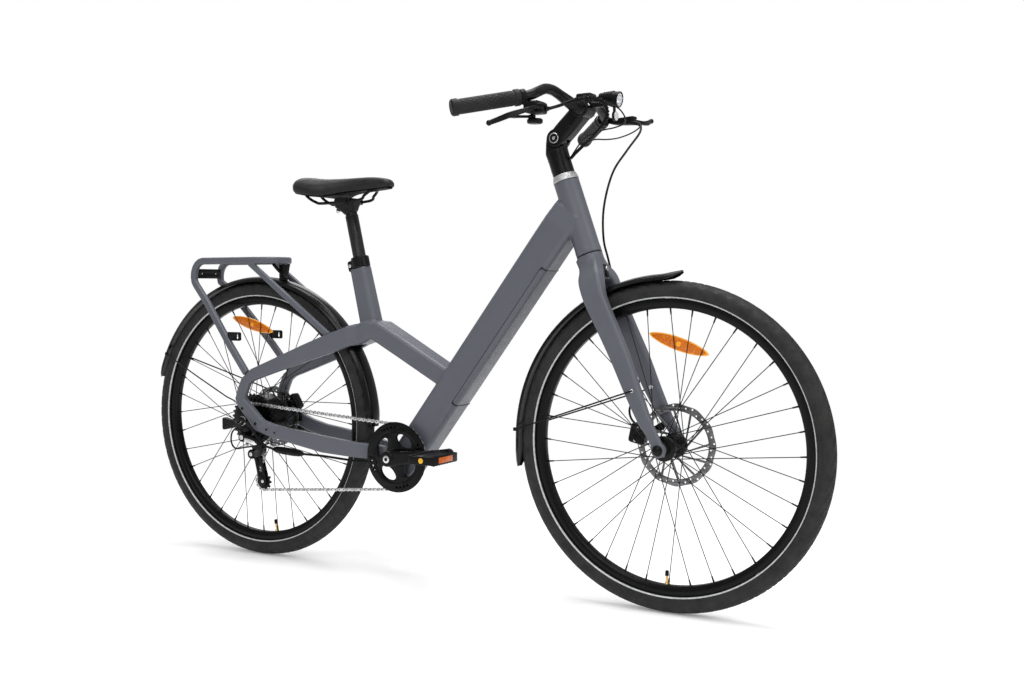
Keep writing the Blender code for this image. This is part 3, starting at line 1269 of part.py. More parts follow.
def mudguard_shell(axle, stations):
    """A curved guard through stations of angle in degrees and outer radius."""
    left = list(GUARD_SECTION)
    outline = left + [(-offset, drop) for offset, drop in reversed(left)]
    sections = []
    for degrees, radius in stations:
        angle = math.radians(degrees)
        out = Vector((math.cos(angle), 0.0, math.sin(angle)))
        sections.append([axle + out * (radius - drop) + ACROSS * offset for offset, drop in outline])
    return loft("guard", sections)


def front_mudguard():
    reach = TYRE_RADIUS + FRONT_GUARD_GAP
    stations = [(86, reach + 0.0080), (88, reach + 0.0035), (91, reach + 0.0008)]
    stations += [(degrees, reach) for degrees in range(103, 176, 12)]
    stations += [(185, reach + 0.0010), (188, reach + 0.0035), (190.5, reach + 0.0070)]
    guard = mudguard_shell(FRONT_AXLE, stations)
    under_crown = head_point(RING_HEIGHT + HEAD_TUBE_LENGTH + 2 * GAP + CROWN[-1][0] + GAP)
    tab = block("tab", under_crown + HEAD_DIRECTION * 0.0095, (0.019, 0.018, 0.024), HEAD_DIRECTION)
    guard = fuse(guard, tab)
    for side in (-1, 1):
        route = [Vector((0.2010, side * 0.0240, 0.3710)), Vector((0.3300, side * 0.0440, 0.4150)),
                 Vector((0.4740, side * 0.0672, 0.4640)), Vector((0.5070, side * 0.0672, 0.4750))]
        guard = fuse(guard, tube("wire", route, 0.0018, 1))
    finish(guard, "front_mudguard", "black_plastic", "steering")


def rear_mudguard():
    reach = TYRE_RADIUS + REAR_GUARD_GAP
    stations = [(degrees, reach) for degrees in range(0, 157, 12)]
    stations += [(163, reach + 0.0012), (165, reach + 0.0035)]
    guard = mudguard_shell(REAR_AXLE, stations)
    face = SEAT_STAY[0][0][0] + 0.0016
    tab = block("tab", Vector((face - 0.01645, 0.0, 0.5700)), (0.0335, 0.024, 0.016))
    loop_under = RAIL_HEIGHT - BAR_HEIGHT / 2 + 0.0003
    top_x = -0.4880
    crest = REAR_AXLE.z + math.sqrt(reach ** 2 - (top_x - REAR_AXLE.x) ** 2) - 0.002
    top = block("top", Vector((top_x, 0.0, (loop_under - 2 * GAP + crest) / 2)),
                (0.014, 0.020, loop_under - 2 * GAP - crest))
    guard = fuse(guard, tab, top)
    for side in (-1, 1):
        route = [Vector((-0.8810, side * 0.0240, 0.5120)), Vector((-0.7300, side * 0.0620, 0.4590)),
                 Vector((-0.6020, side * 0.0901, 0.4140)), Vector((-0.5700, side * 0.0901, 0.4030))]
        guard = fuse(guard, tube("wire", route, 0.0018, 1))
    finish(guard, "rear_mudguard", "black_plastic", "frame")


CABLE_RADIUS = 0.0030
MOTOR_CABLE_ROUTE = (
    Vector((-0.5635, -0.0885, 0.3530)), Vector((-0.5635, -0.0960, 0.3530)), Vector((-0.5520, -0.1010, 0.3580)),
    Vector((-0.5350, -0.0980, 0.3560)), Vector((-0.5150, -0.0950, 0.3400)), Vector((-0.5000, -0.0920, 0.3180)),
    Vector((-0.4850, -0.0840, 0.2980)), Vector((-0.4700, -0.0700, 0.2880)), Vector((-0.4550, -0.0640, 0.2850)),
    Vector((-0.3800, -0.0620, 0.2800)), Vector((-0.3200, -0.0600, 0.2790)), Vector((-0.2500, -0.0480, 0.2730)),
    Vector((-0.2000, -0.0340, 0.2700)), Vector((-0.1478, -0.0265, 0.2695)),
)


def motor_cable():
    """The motor's lead along the right chainstay, with its plug cover."""
    lead = tube("lead", MOTOR_CABLE_ROUTE, CABLE_RADIUS, 1)
    cover = rod("cover", Vector((-0.4620, -0.0648, 0.2860)), Vector((-0.3850, -0.0622, 0.2805)), 0.0080, 12)
    finish(fuse(cover, lead), "motor_cable", "cable_black", "frame")


STAND_PIVOT = Vector((-0.4800, 0.0960, 0.3200))
STAND_RADIUS = 0.0070


def kickstand():
    """The side stand, folded back along the left stay."""
    hub = cross_rod("hub", STAND_PIVOT, 0.0860, 0.1060, 0.0145, 20)
    end = Vector((-0.7900, 0.1000, 0.3160))
    near = Vector((STAND_PIVOT.x, 0.0990, STAND_PIVOT.z))
    along = (end - near).normalized()
    leg = rod("leg", near, end - along * 0.050, STAND_RADIUS, 12)
    foot = sweep("foot", [(end - along * 0.070, 0.016, 0.018, 0.003), (end - along * 0.010, 0.019, 0.024, 0.004),
                          (end, 0.016, 0.020, 0.004)])
    finish(fuse(hub, leg, foot), "kickstand_leg", "black_metal", "kickstand")


# Seat

SADDLE_SECTIONS = (
    # Place along, width, top height, edge height, underside height
    (-0.1500, 0.020, 0.9430, 0.9370, 0.9330),
    (-0.1640, 0.036, 0.9520, 0.9380, 0.9300),
    (-0.2100, 0.045, 0.9575, 0.9355, 0.9265),
    (-0.2700, 0.066, 0.9560, 0.9285, 0.9220),
    (-0.3150, 0.112, 0.9550, 0.9190, 0.9140),
    (-0.3450, 0.144, 0.9570, 0.9190, 0.9140),
    (-0.3750, 0.153, 0.9605, 0.9270, 0.9210),
    (-0.3980, 0.138, 0.9600, 0.9350, 0.9280),
    (-0.4090, 0.100, 0.9530, 0.9400, 0.9340),
)


def saddle():
    """A padded saddle: crowned on top, drawn in above its lower edge, with a shallow central channel."""
    sections = []
    for x, width, top, edge, low in SADDLE_SECTIONS:
        half = width / 2
        rise = top - edge
        dip = 0.0025 if -0.39 < x < -0.20 else 0.0
        right = [(0.0, top - dip), (0.32 * half, top), (0.74 * half, top - 0.13 * rise),
                 (1.00 * half, top - 0.60 * rise), (0.97 * half, low), (0.50 * half, low + 0.30 * (edge - low)),
                 (0.0, low + 0.45 * (edge - low))]
        outline = right + [(-across, height) for across, height in reversed(right[1:-1])]
        sections.append([Vector((x, across, height)) for across, height in outline])
    form = loft("form", sections)
    smooth = form.modifiers.new("smooth", "SUBSURF")
    smooth.levels = 1
    smooth.render_levels = 1
    finish(weld(bake(form)), "saddle", "saddle_leather", "seatpost")


RAIL_RADIUS = 0.0035
RAIL_ROUTE = (
    Vector((-0.3940, 0.0300, 0.9256)), Vector((-0.3820, 0.0295, 0.9130)), Vector((-0.3600, 0.0285, 0.9010)),
    Vector((-0.3360, 0.0270, 0.8970)), Vector((-0.2350, 0.0220, 0.9020)), Vector((-0.2180, 0.0195, 0.9130)),
    Vector((-0.2040, 0.0140, 0.9235)), Vector((-0.1980, 0.0, 0.9255)),
)


def saddle_rails():
    left = list(RAIL_ROUTE)
    route = left + [mirrored(point, -1) for point in reversed(left[:-1])]
    finish(tube("rails", route, RAIL_RADIUS), "saddle_rails", "black_metal", "seatpost")


def seatpost():
    """The post and the head that clamps the saddle's rails."""
    low = SEAT_TUBE_TOP - SEAT_DIRECTION * POST_INSERT
    head = Vector((-0.2800, 0.0, 0.9000))
    post = rod("post", low, SEAT_TUBE_TOP + SEAT_DIRECTION * 0.158, SEATPOST_RADIUS, 20)
    cradle = block("cradle", head, (0.042, 0.062, 0.0135), Vector((1.0, 0.0, 0.05)), 0.002)
    bolt = rod("bolt", Vector((-0.3120, 0.0, 0.8790)), Vector((-0.3020, 0.0, 0.9030)), 0.0060, 12)
    strut = block("strut", Vector((-0.2960, 0.0, 0.8930)), (0.030, 0.014, 0.012))
    body = fuse(post, cradle, strut, bolt)
    for side in (-1, 1):
        groove = [mirrored(point, side) for point in RAIL_ROUTE[3:5]]
        body = cut(body, tube("groove", groove, RAIL_RADIUS + 2 * GAP))
    finish(body, "seatpost", "black_metal", "seatpost")


# Assembly

def make_materials():
    looks = {
        "frame_paint": ((0.141, 0.147, 0.165), 0.5, 0.0),
        "black_metal": ((0.018, 0.018, 0.019), 0.45, 0.3),
        "black_plastic": ((0.017, 0.017, 0.018), 0.55, 0.0),
        "gloss_black": ((0.010, 0.010, 0.011), 0.15, 0.0),
        "steel": ((0.450, 0.450, 0.460), 0.35, 1.0),
        "chain_steel": ((0.480, 0.470, 0.440), 0.35, 1.0),
        "silver": ((0.620, 0.620, 0.620), 0.35, 0.9),
        "rubber": ((0.020, 0.020, 0.021), 0.75, 0.0),
        "tyre_rubber": ((0.016, 0.016, 0.017), 0.85, 0.0),
        "cable_black": ((0.014, 0.014, 0.014), 0.5, 0.0),
        "saddle_leather": ((0.015, 0.015, 0.016), 0.5, 0.0),
        "reflector_amber": ((0.850, 0.300, 0.020), 0.2, 0.0),
    }
    return {name: make_material(name, *look) for name, look in looks.items()}


def make_bodies():
    """Empties on the joints' axes, each carried by the body that it moves on."""
    carriers = {"frame": make_empty("frame_origin", Vector((0.0, 0.0, 0.0)))}
    button = Vector((DISPLAY_CENTRE.x - 0.009, 0.0, DISPLAY_CENTRE.z))
    for name, place, parent in (
            ("steering", head_point(0.0), "frame"), ("bar", STEM_PIVOT, "steering"),
            ("front_wheel", FRONT_AXLE, "steering"), ("rear_wheel", REAR_AXLE, "frame"),
            ("cassette", REAR_AXLE, "frame"), ("crank", CRANK_AXLE, "frame"),
            ("right_pedal", pedal_axle(-1), "crank"), ("left_pedal", pedal_axle(1), "crank"),
            ("derailleur_cage", GUIDE_PULLEY, "frame"), ("guide_pulley", GUIDE_PULLEY, "derailleur_cage"),
            ("tension_pulley", TENSION_PULLEY, "derailleur_cage"), ("battery", down_point(BAY_START), "frame"),
            ("seatpost", SEAT_TUBE_TOP, "frame"), ("kickstand", STAND_PIVOT, "frame"),
            ("right_brake", RIGHT_LEVER_PIVOT, "bar"), ("left_brake", LEFT_LEVER_PIVOT, "bar"),
            ("shift", SHIFT_PIVOT, "bar"), ("button", button, "bar")):
        carriers[name] = make_empty(name + "_axis", place, carriers[parent])
    return carriers


def build_frame():
    main_frame()
    stay(-1, "right_stay")
    stay(1, "left_stay")
    rear_rack()
    battery_cover()
    battery_pack()
    motor_controller()
    seat_clamp()
    bottom_bracket()
    lower_headset_bearing()
    rear_caliper()
    rear_mudguard()
    motor_cable()
    kickstand()
    saddle()
    saddle_rails()
    seatpost()


def build_steering():
    fork()
    headset_ring()
    stem_base()
    stem_arm()
    handlebar()
    grip(-1, "right_grip")
    grip(1, "left_grip")
    shifter()
    left_brake_mount()
    brake_lever(RIGHT_LEVER_PIVOT, RIGHT_LEVER_TIP, Vector((0.010, -0.004, 0.0)), "right_brake_lever",
                "right_brake")
    brake_lever(LEFT_LEVER_PIVOT, LEFT_LEVER_TIP, Vector((0.006, 0.0, 0.0)), "left_brake_lever", "left_brake")
    shift_lever()
    display()
    display_button()
    headlight()
    front_brake_cable()
    cable_bundle()
    front_caliper()
    front_mudguard()


def build_wheels():
    front_hub()
    front_axle()
    hub_motor()
    motor_axle()
    for axle, end in ((FRONT_AXLE, "front"), (REAR_AXLE, "rear")):
        rim(axle, end + "_rim", end + "_wheel")
        tyre(axle, end + "_tyre", end + "_wheel")
    rotor(FRONT_AXLE, FRONT_ROTOR_RADIUS, FRONT_ROTOR_OFFSET, 0.0122, "front_rotor", "front_wheel")
    rotor(REAR_AXLE, REAR_ROTOR_RADIUS, REAR_ROTOR_OFFSET, 0.0150, "rear_rotor", "rear_wheel")
    lens(FRONT_AXLE, math.radians(86.3), RIM_INNER_RADIUS - 0.0750, math.radians(17.7), (0.142, 0.028),
         0.0150, "front_reflector", "front_wheel")
    lens(REAR_AXLE, math.radians(99.3), RIM_INNER_RADIUS - 0.0493, math.radians(14.8), (0.142, 0.028),
         0.0108, "rear_reflector", "rear_wheel")


def build_drive():
    chain()
    cassette()
    pulley(GUIDE_PULLEY, "guide_pulley")
    pulley(TENSION_PULLEY, "tension_pulley")
    derailleur_cage()
    derailleur_body()
    crank_spindle()
    chainring()
    for side, hand in ((-1, "right"), (1, "left")):
        crank_arm(side, hand + "_crank")
        pedal(side, hand + "_pedal")


clear_scene()
parts_collection = make_collection(COLLECTION)
cutters_collection = make_collection("cutters")
materials = make_materials()
bodies = make_bodies()
build_frame()
build_steering()
build_wheels()
build_drive()
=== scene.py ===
import math

import bmesh
import bpy
from mathutils import Matrix, Vector


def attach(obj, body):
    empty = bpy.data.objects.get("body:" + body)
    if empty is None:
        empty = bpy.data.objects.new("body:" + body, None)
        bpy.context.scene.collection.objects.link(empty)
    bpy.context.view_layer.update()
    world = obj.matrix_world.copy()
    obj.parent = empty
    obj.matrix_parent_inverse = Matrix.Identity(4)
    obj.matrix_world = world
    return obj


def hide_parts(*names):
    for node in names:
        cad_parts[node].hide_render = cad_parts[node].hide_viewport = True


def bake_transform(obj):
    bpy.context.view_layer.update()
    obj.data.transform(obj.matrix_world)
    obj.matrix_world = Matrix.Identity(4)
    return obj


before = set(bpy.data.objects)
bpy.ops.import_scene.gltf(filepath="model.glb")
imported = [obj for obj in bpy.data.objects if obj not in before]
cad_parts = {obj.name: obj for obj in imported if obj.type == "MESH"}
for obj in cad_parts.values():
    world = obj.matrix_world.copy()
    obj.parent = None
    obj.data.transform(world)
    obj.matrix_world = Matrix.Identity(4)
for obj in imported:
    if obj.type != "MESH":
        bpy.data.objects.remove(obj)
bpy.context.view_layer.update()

UP = Vector((0.0, 0.0, 1.0))
ACROSS = Vector((0.0, 1.0, 0.0))
AHEAD = Vector((1.0, 0.0, 0.0))
ORIGIN = Vector((0.0, 0.0, 0.0))


# Camera, light and floor

LENS = 41.154
CAMERA_PLACE = (1.4919, -2.3085, 0.6905)
CAMERA_DIP = 0.046
CAMERA_HEADING = 0.5166
WHITE = (1.0, 1.0, 1.0, 1.0)
WORLD_LIGHT = 0.42
FLOOR_BOUNCE = (0.80, 0.80, 0.80, 1.0)
FLOOR_SHADE = (0.93, 0.93, 0.935, 1.0)
FLOOR_GLOW = 0.17
FADE_START = 1.1
FADE_END = 2.1


def add_camera():
    data = bpy.data.cameras.new("camera")
    data.lens = LENS
    data.sensor_width = 36.0
    data.clip_end = 60.0
    camera = bpy.data.objects.new("camera", data)
    bpy.context.scene.collection.objects.link(camera)
    camera.location = CAMERA_PLACE
    camera.rotation_euler = (math.pi / 2 - CAMERA_DIP, 0.0, CAMERA_HEADING)
    bpy.context.scene.camera = camera


def add_area(name, place, target, size, watts):
    data = bpy.data.lights.new(name, "AREA")
    data.shape = "RECTANGLE"
    data.size, data.size_y = size
    data.energy = watts
    lamp = bpy.data.objects.new(name, data)
    bpy.context.scene.collection.objects.link(lamp)
    lamp.location = place
    direction = Vector(target) - Vector(place)
    lamp.rotation_euler = direction.to_track_quat("-Z", "Y").to_euler()


def set_inputs(node, **values):
    """Fill a node's inputs, whose names are given with underscores for spaces."""
    for name, value in values.items():
        node.inputs[name.replace("_", " ")].default_value = value


def add_node(tree, kind, **values):
    node = tree.nodes.new("ShaderNode" + kind)
    set_inputs(node, **values)
    return node


def mixed(tree, share, first, second):
    """Two shaders blended by a value."""
    mix = add_node(tree, "MixShader")
    tree.links.new(share, mix.inputs[0])
    tree.links.new(first.outputs[0], mix.inputs[1])
    tree.links.new(second.outputs[0], mix.inputs[2])
    return mix


def seen_directly(tree, *rays):
    """A value of one for these kinds of ray and of zero for the rest."""
    path = add_node(tree, "LightPath")
    value = path.outputs[rays[0]]
    for ray in rays[1:]:
        either = add_node(tree, "Math")
        either.operation = "MAXIMUM"
        tree.links.new(value, either.inputs[0])
        tree.links.new(path.outputs[ray], either.inputs[1])
        value = either.outputs[0]
    return value


def make_world():
    """A white studio that lights the bicycle less brightly than the camera sees it."""
    world = bpy.data.worlds.new("studio")
    bpy.context.scene.world = world
    world.use_nodes = True
    tree = world.node_tree
    tree.nodes.clear()
    light = add_node(tree, "Background", Color=WHITE, Strength=WORLD_LIGHT)
    seen = add_node(tree, "Background", Color=WHITE, Strength=1.0)
    direct = seen_directly(tree, "Is Camera Ray", "Is Transmission Ray")
    mix = mixed(tree, direct, light, seen)
    tree.links.new(mix.outputs[0], add_node(tree, "OutputWorld").inputs["Surface"])


def floor_seen(tree):
    """A pale surface near the bicycle that fades into plain white."""
    shade = add_node(tree, "BsdfDiffuse", Color=FLOOR_SHADE)
    glow = add_node(tree, "Emission", Color=WHITE, Strength=FLOOR_GLOW)
    near = add_node(tree, "AddShader")
    tree.links.new(shade.outputs[0], near.inputs[0])
    tree.links.new(glow.outputs[0], near.inputs[1])
    span = add_node(tree, "VectorMath")
    span.operation = "LENGTH"
    tree.links.new(add_node(tree, "TexCoord").outputs["Object"], span.inputs[0])
    fade = add_node(tree, "MapRange", From_Min=FADE_START, From_Max=FADE_END)
    fade.interpolation_type = "SMOOTHSTEP"
    tree.links.new(span.outputs["Value"], fade.inputs["Value"])
    return mixed(tree, fade.outputs["Result"], near, add_node(tree, "Emission", Color=WHITE))


def floor_material():
    material = bpy.data.materials.new("floor")
    material.use_nodes = True
    tree = material.node_tree
    tree.nodes.clear()
    bounce = add_node(tree, "BsdfDiffuse", Color=FLOOR_BOUNCE)
    direct = seen_directly(tree, "Is Camera Ray", "Is Glossy Ray", "Is Transmission Ray")
    mix = mixed(tree, direct, bounce, floor_seen(tree))
    tree.links.new(mix.outputs[0], add_node(tree, "OutputMaterial").inputs["Surface"])
    return material


def make_floor():
    bm = bmesh.new()
    bmesh.ops.create_grid(bm, x_segments=1, y_segments=1, size=14.0)
    mesh = bpy.data.meshes.new("floor")
    bm.to_mesh(mesh)
    bm.free()
    floor = bpy.data.objects.new("floor", mesh)
    bpy.context.scene.collection.objects.link(floor)
    floor.location.z = -0.0005
    mesh.materials.append(floor_material())


# Materials

class Look:
    """A principled material under construction, with its noise in the object's own metres."""

    def __init__(self, name, roughness, metallic=0.0, **sockets):
        self.material = bpy.data.materials.new(name)
        self.material.use_nodes = True
        self.tree = self.material.node_tree
        self.links = self.tree.links
        self.shader = self.tree.nodes["Principled BSDF"]
        self.place = add_node(self.tree, "TexCoord").outputs["Object"]
        set_inputs(self.shader, Roughness=roughness, Metallic=metallic, **sockets)
        self.height = None

    def noise(self, scale, detail=3.0, stretch=None):
        texture = add_node(self.tree, "TexNoise", Scale=scale, Detail=detail)
        self.attach(texture, stretch)
        return texture.outputs["Fac"]

    def cells(self, scale):
        texture = add_node(self.tree, "TexVoronoi", Scale=scale)
        self.attach(texture, None)
        return texture.outputs["Distance"]

    def attach(self, texture, stretch):
        """Lay a texture on the object, stretched along its axes or not."""
        if stretch is None:
            self.links.new(self.place, texture.inputs["Vector"])
            return
        mapping = add_node(self.tree, "Mapping", Scale=stretch)
        self.links.new(self.place, mapping.inputs["Vector"])
        self.links.new(mapping.outputs["Vector"], texture.inputs["Vector"])

    def ramp(self, value, low, high, a, b):
        """A value spread from low and high to a and b."""
        spread = add_node(self.tree, "MapRange", From_Min=low, From_Max=high, To_Min=a, To_Max=b)
        self.links.new(value, spread.inputs["Value"])
        return spread.outputs["Result"]

    def colours(self, value, first, second, low=0.35, high=0.65):
        """Blend the base colour between two colours by a texture's value."""
        blend = self.tree.nodes.new("ShaderNodeMix")
        blend.data_type = "RGBA"
        blend.inputs["A"].default_value = (*first, 1.0)
        blend.inputs["B"].default_value = (*second, 1.0)
        self.links.new(self.ramp(value, low, high, 0.0, 1.0), blend.inputs["Factor"])
        self.links.new(blend.outputs["Result"], self.shader.inputs["Base Color"])

    def rough(self, value, low, high):
        self.links.new(self.ramp(value, 0.35, 0.65, low, high), self.shader.inputs["Roughness"])

    def bump(self, value, strength, distance):
        """Raise the surface by a texture's value, over the bumps made before."""
        bump = add_node(self.tree, "Bump", Strength=strength, Distance=distance)
        self.links.new(value, bump.inputs["Height"])
        if self.height is not None:
            self.links.new(self.height, bump.inputs["Normal"])
        self.height = bump.outputs["Normal"]
        self.links.new(self.height, self.shader.inputs["Normal"])


def paint_look(name, colour, roughness):
    """Satin paint with a faint flake and a very fine orange peel."""
    look = Look(name, roughness, Coat_Weight=0.08, Coat_Roughness=0.3, Specular_IOR_Level=0.4)
    light = tuple(c * 1.07 for c in colour)
    look.colours(look.noise(14.0, 4.0), colour, light)
    look.rough(look.noise(60.0), roughness - 0.04, roughness + 0.05)
    look.bump(look.noise(2600.0, 1.0), 0.10, 0.0002)
    look.bump(look.noise(260.0, 2.0), 0.05, 0.0004)
    return look.material


def black_look(name, shade, roughness, grain=900.0, strength=0.18, specular=0.24, coat=0.0):
    look = Look(name, roughness, Specular_IOR_Level=specular, Coat_Weight=coat, Coat_Roughness=0.12)
    dark = (shade * 0.82, shade * 0.82, shade * 0.86)
    pale = (shade * 1.25, shade * 1.25, shade * 1.28)
    look.colours(look.noise(35.0, 4.0), dark, pale)
    look.rough(look.noise(90.0), roughness - 0.05, roughness + 0.07)
    look.bump(look.noise(grain, 2.0), strength, 0.0003)
    return look.material


def metal_look(name, colour, roughness, stretch=None, scratch=0.12):
    look = Look(name, roughness, 1.0)
    dark = tuple(c * 0.86 for c in colour)
    pale = tuple(min(1.0, c * 1.12) for c in colour)
    look.colours(look.noise(70.0, 4.0), dark, pale)
    look.rough(look.noise(140.0, 3.0), roughness - 0.06, roughness + 0.10)
    look.bump(look.noise(900.0, 2.0, stretch), scratch, 0.0002)
    return look.material


def leather_look(name):
    look = Look(name, 0.42, Sheen_Weight=0.02, Sheen_Roughness=0.5, Specular_IOR_Level=0.24)
    look.colours(look.noise(40.0, 4.0), (0.0100, 0.0100, 0.0106), (0.0170, 0.0170, 0.0178))
    look.rough(look.noise(50.0), 0.36, 0.48)
    look.bump(look.cells(1500.0), 0.25, 0.0004)
    look.bump(look.noise(300.0), 0.10, 0.0004)
    return look.material


def tyre_look(name, shade):
    look = Look(name, 0.62, Specular_IOR_Level=0.32)
    look.colours(look.noise(30.0, 5.0), (shade * 0.8,) * 3, (shade * 1.5, shade * 1.5, shade * 1.45))
    look.rough(look.noise(80.0), 0.55, 0.72)
    look.bump(look.noise(1400.0, 3.0), 0.35, 0.0004)
    look.bump(look.noise(160.0, 3.0), 0.12, 0.0006)
    return look.material


def reflector_look(name, colour, dark, glow):
    """Moulded prisms under a clear face, with a painted glow: their emission is painted light, as these parts
    are no lamps.
    """
    look = Look(name, 0.24, Coat_Weight=0.3, Coat_Roughness=0.04, Specular_IOR_Level=0.25,
                Emission_Strength=glow, Emission_Color=(*colour, 1.0))
    look.colours(look.cells(330.0), dark, colour, 0.05, 0.75)
    look.bump(look.cells(330.0), 0.5, 0.0008)
    return look.material


def stripe_look(name):
    # The emission is a painted glow of the reflective stripe.
    look = Look(name, 0.45, Emission_Strength=0.05)
    look.colours(look.noise(120.0, 4.0), (0.42, 0.43, 0.44), (0.60, 0.61, 0.62))
    look.bump(look.cells(1600.0), 0.2, 0.0003)
    return look.material


def lens_look(name):
    look = Look(name, 0.06, Transmission_Weight=0.85, IOR=1.45)
    look.colours(look.noise(60.0), (0.86, 0.88, 0.90), (0.95, 0.96, 0.97))
    look.bump(look.noise(400.0, 1.0), 0.04, 0.0004)
    return look.material


def make_looks():
    paint = (0.104, 0.109, 0.131)
    return {
        "paint": paint_look("frame_paint_satin", paint, 0.40),
        "cover": paint_look("cover_paint_satin", (0.107, 0.112, 0.133), 0.42),
        "anodised": black_look("black_anodised", 0.0050, 0.26, 2200.0, 0.10, 0.17),
        "post": black_look("black_anodised_tube", 0.0150, 0.32, 2200.0, 0.10, 0.25),
        # Darker than the other blacks: painted shade under the saddle, against the light bounced up from the
        # floor.
        "shell": black_look("black_underside_painted_shade", 0.0012, 0.55, 900.0, 0.10, 0.05),
        "metal": black_look("black_painted_metal", 0.0036, 0.26, 1500.0, 0.10, 0.14),
        "plastic": black_look("black_moulded_plastic", 0.0042, 0.34, 1300.0, 0.20, 0.14),
        "gloss": black_look("black_gloss_plastic", 0.0025, 0.12, 700.0, 0.03, 0.16, 0.12),
        "guard": black_look("mudguard_plastic", 0.0040, 0.20, 90.0, 0.02, 0.24),
        "spoke": metal_look("black_spoke_steel", (0.026, 0.026, 0.028), 0.40),
        "steel": metal_look("ground_steel", (0.40, 0.40, 0.41), 0.30, (1.0, 14.0, 1.0)),
        "rotor": metal_look("rotor_steel", (0.17, 0.17, 0.175), 0.34, (1.0, 14.0, 1.0)),
        "bright": metal_look("bright_steel", (0.66, 0.66, 0.67), 0.22),
        "dark_steel": metal_look("cassette_steel", (0.032, 0.032, 0.034), 0.34),
        "chain": metal_look("chain_plates", (0.60, 0.60, 0.60), 0.34),
        "silver": metal_look("silver_ring", (0.66, 0.66, 0.67), 0.46, None, 0.03),
        "brass": metal_look("valve_brass", (0.72, 0.50, 0.20), 0.28),
        "rubber": black_look("soft_rubber", 0.0160, 0.50, 1800.0, 0.25, 0.20),
        "tyre": tyre_look("tyre_rubber_aged", 0.0165),
        "stripe": stripe_look("reflective_stripe"),
        "cable": black_look("cable_jacket", 0.0035, 0.34, 1600.0, 0.12, 0.15),
        "leather": leather_look("saddle_leather_grain"),
        # The last number of each reflector look is its emission: a painted glow, as none of these parts is a
        # lamp.
        "amber": reflector_look("reflector_rim", (1.0, 0.42, 0.02), (0.92, 0.31, 0.01), 0.18),
        "prisms": reflector_look("reflector_prisms", (0.84, 0.22, 0.005), (0.44, 0.06, 0.0), 0.06),
        "orange": reflector_look("pedal_prisms", (0.72, 0.16, 0.02), (0.45, 0.06, 0.0), 0.04),
        "yellow": reflector_look("bearing_cap_yellow", (0.90, 0.52, 0.03), (0.80, 0.40, 0.01), 0.05),
        "clear": lens_look("clear_lens"),
        "bowl": metal_look("lamp_bowl", (0.85, 0.85, 0.86), 0.12, None, 0.02),
        "white": reflector_look("white_prisms", (0.80, 0.81, 0.82), (0.55, 0.56, 0.58), 0.03),
    }


looks = make_looks()


# Mesh tools

def add_object(name, bm, look=None, sharp=None):
    """A smooth-shaded object from a closed bmesh, with edges over an angle kept sharp."""
    bmesh.ops.recalc_face_normals(bm, faces=bm.faces)
    mesh = bpy.data.meshes.new(name)
    bm.to_mesh(mesh)
    bm.free()
    obj = bpy.data.objects.new(name, mesh)
    bpy.context.scene.collection.objects.link(obj)
    mesh.shade_smooth()
    if sharp is not None:
        mesh.set_sharp_from_angle(angle=math.radians(sharp))
    if look is not None:
        mesh.materials.append(looks[look])
    return obj


def bake(obj):
    """The object with its modifiers applied, or a curve turned into its mesh."""
    bpy.context.view_layer.update()
    graph = bpy.context.evaluated_depsgraph_get()
    mesh = bpy.data.meshes.new_from_object(obj.evaluated_get(graph))
    baked = bpy.data.objects.new(obj.name, mesh)
    baked.matrix_world = obj.matrix_world
    bpy.context.scene.collection.objects.link(baked)
    name = obj.name
    bpy.data.objects.remove(obj, do_unlink=True)
    baked.name = name
    return baked


def join(name, *objs):
    """One object from several, each with its own materials kept."""
    bm = bmesh.new()
    materials = []
    for obj in objs:
        slots = list(obj.data.materials) or [None]
        for material in slots:
            if material not in materials:
                materials.append(material)
        obj.data.transform(obj.matrix_world)
        first = len(bm.faces)
        bm.from_mesh(obj.data)
        bm.faces.ensure_lookup_table()
        for face in bm.faces[first:]:
            slot = slots[min(face.material_index, len(slots) - 1)]
            face.material_index = materials.index(slot)
        bpy.data.objects.remove(obj, do_unlink=True)
    mesh = bpy.data.meshes.new(name)
    bm.to_mesh(mesh)
    bm.free()
    joined = bpy.data.objects.new(name, mesh)
    bpy.context.scene.collection.objects.link(joined)
    for material in materials:
        mesh.materials.append(material)
    return joined


def put(obj, look):
    obj.data.materials.clear()
    obj.data.materials.append(looks[look])
    for polygon in obj.data.polygons:
        polygon.material_index = 0
    return obj


def moulded(name, parts, look, voxel=0.0015, rounds=8, factor=0.5):
    """Overlapping solids melted into one skin whose edges and joints are rounded."""
    obj = join(name, *parts)
    skin = obj.modifiers.new("skin", "REMESH")
    skin.mode = "VOXEL"
    skin.voxel_size = voxel
    skin.use_smooth_shade = True
    if rounds:
        soften = obj.modifiers.new("soften", "SMOOTH")
        soften.factor = factor
        soften.iterations = rounds
    obj = bake(obj)
    obj.data.shade_smooth()
    return put(obj, look)


def cut(obj, *cutters):
    for cutter in cutters:
        modifier = obj.modifiers.new("cut", "BOOLEAN")
        modifier.operation = "DIFFERENCE"
        modifier.solver = "EXACT"
        modifier.object = cutter
        obj = bake(obj)
        bpy.data.objects.remove(cutter, do_unlink=True)
    return obj


def creased(obj, degrees=50):
    """Smooth shading, with edges over an angle kept sharp."""
    obj.data.shade_smooth()
    obj.data.set_sharp_from_angle(angle=math.radians(degrees))
    return obj


def edged(obj, width, segments=2, angle=30):
    """Round an object's sharp edges."""
    bevel = obj.modifiers.new("edges", "BEVEL")
    bevel.width = width
    bevel.segments = segments
    bevel.limit_method = "ANGLE"
    bevel.angle_limit = math.radians(angle)
    return creased(bake(obj), 40)


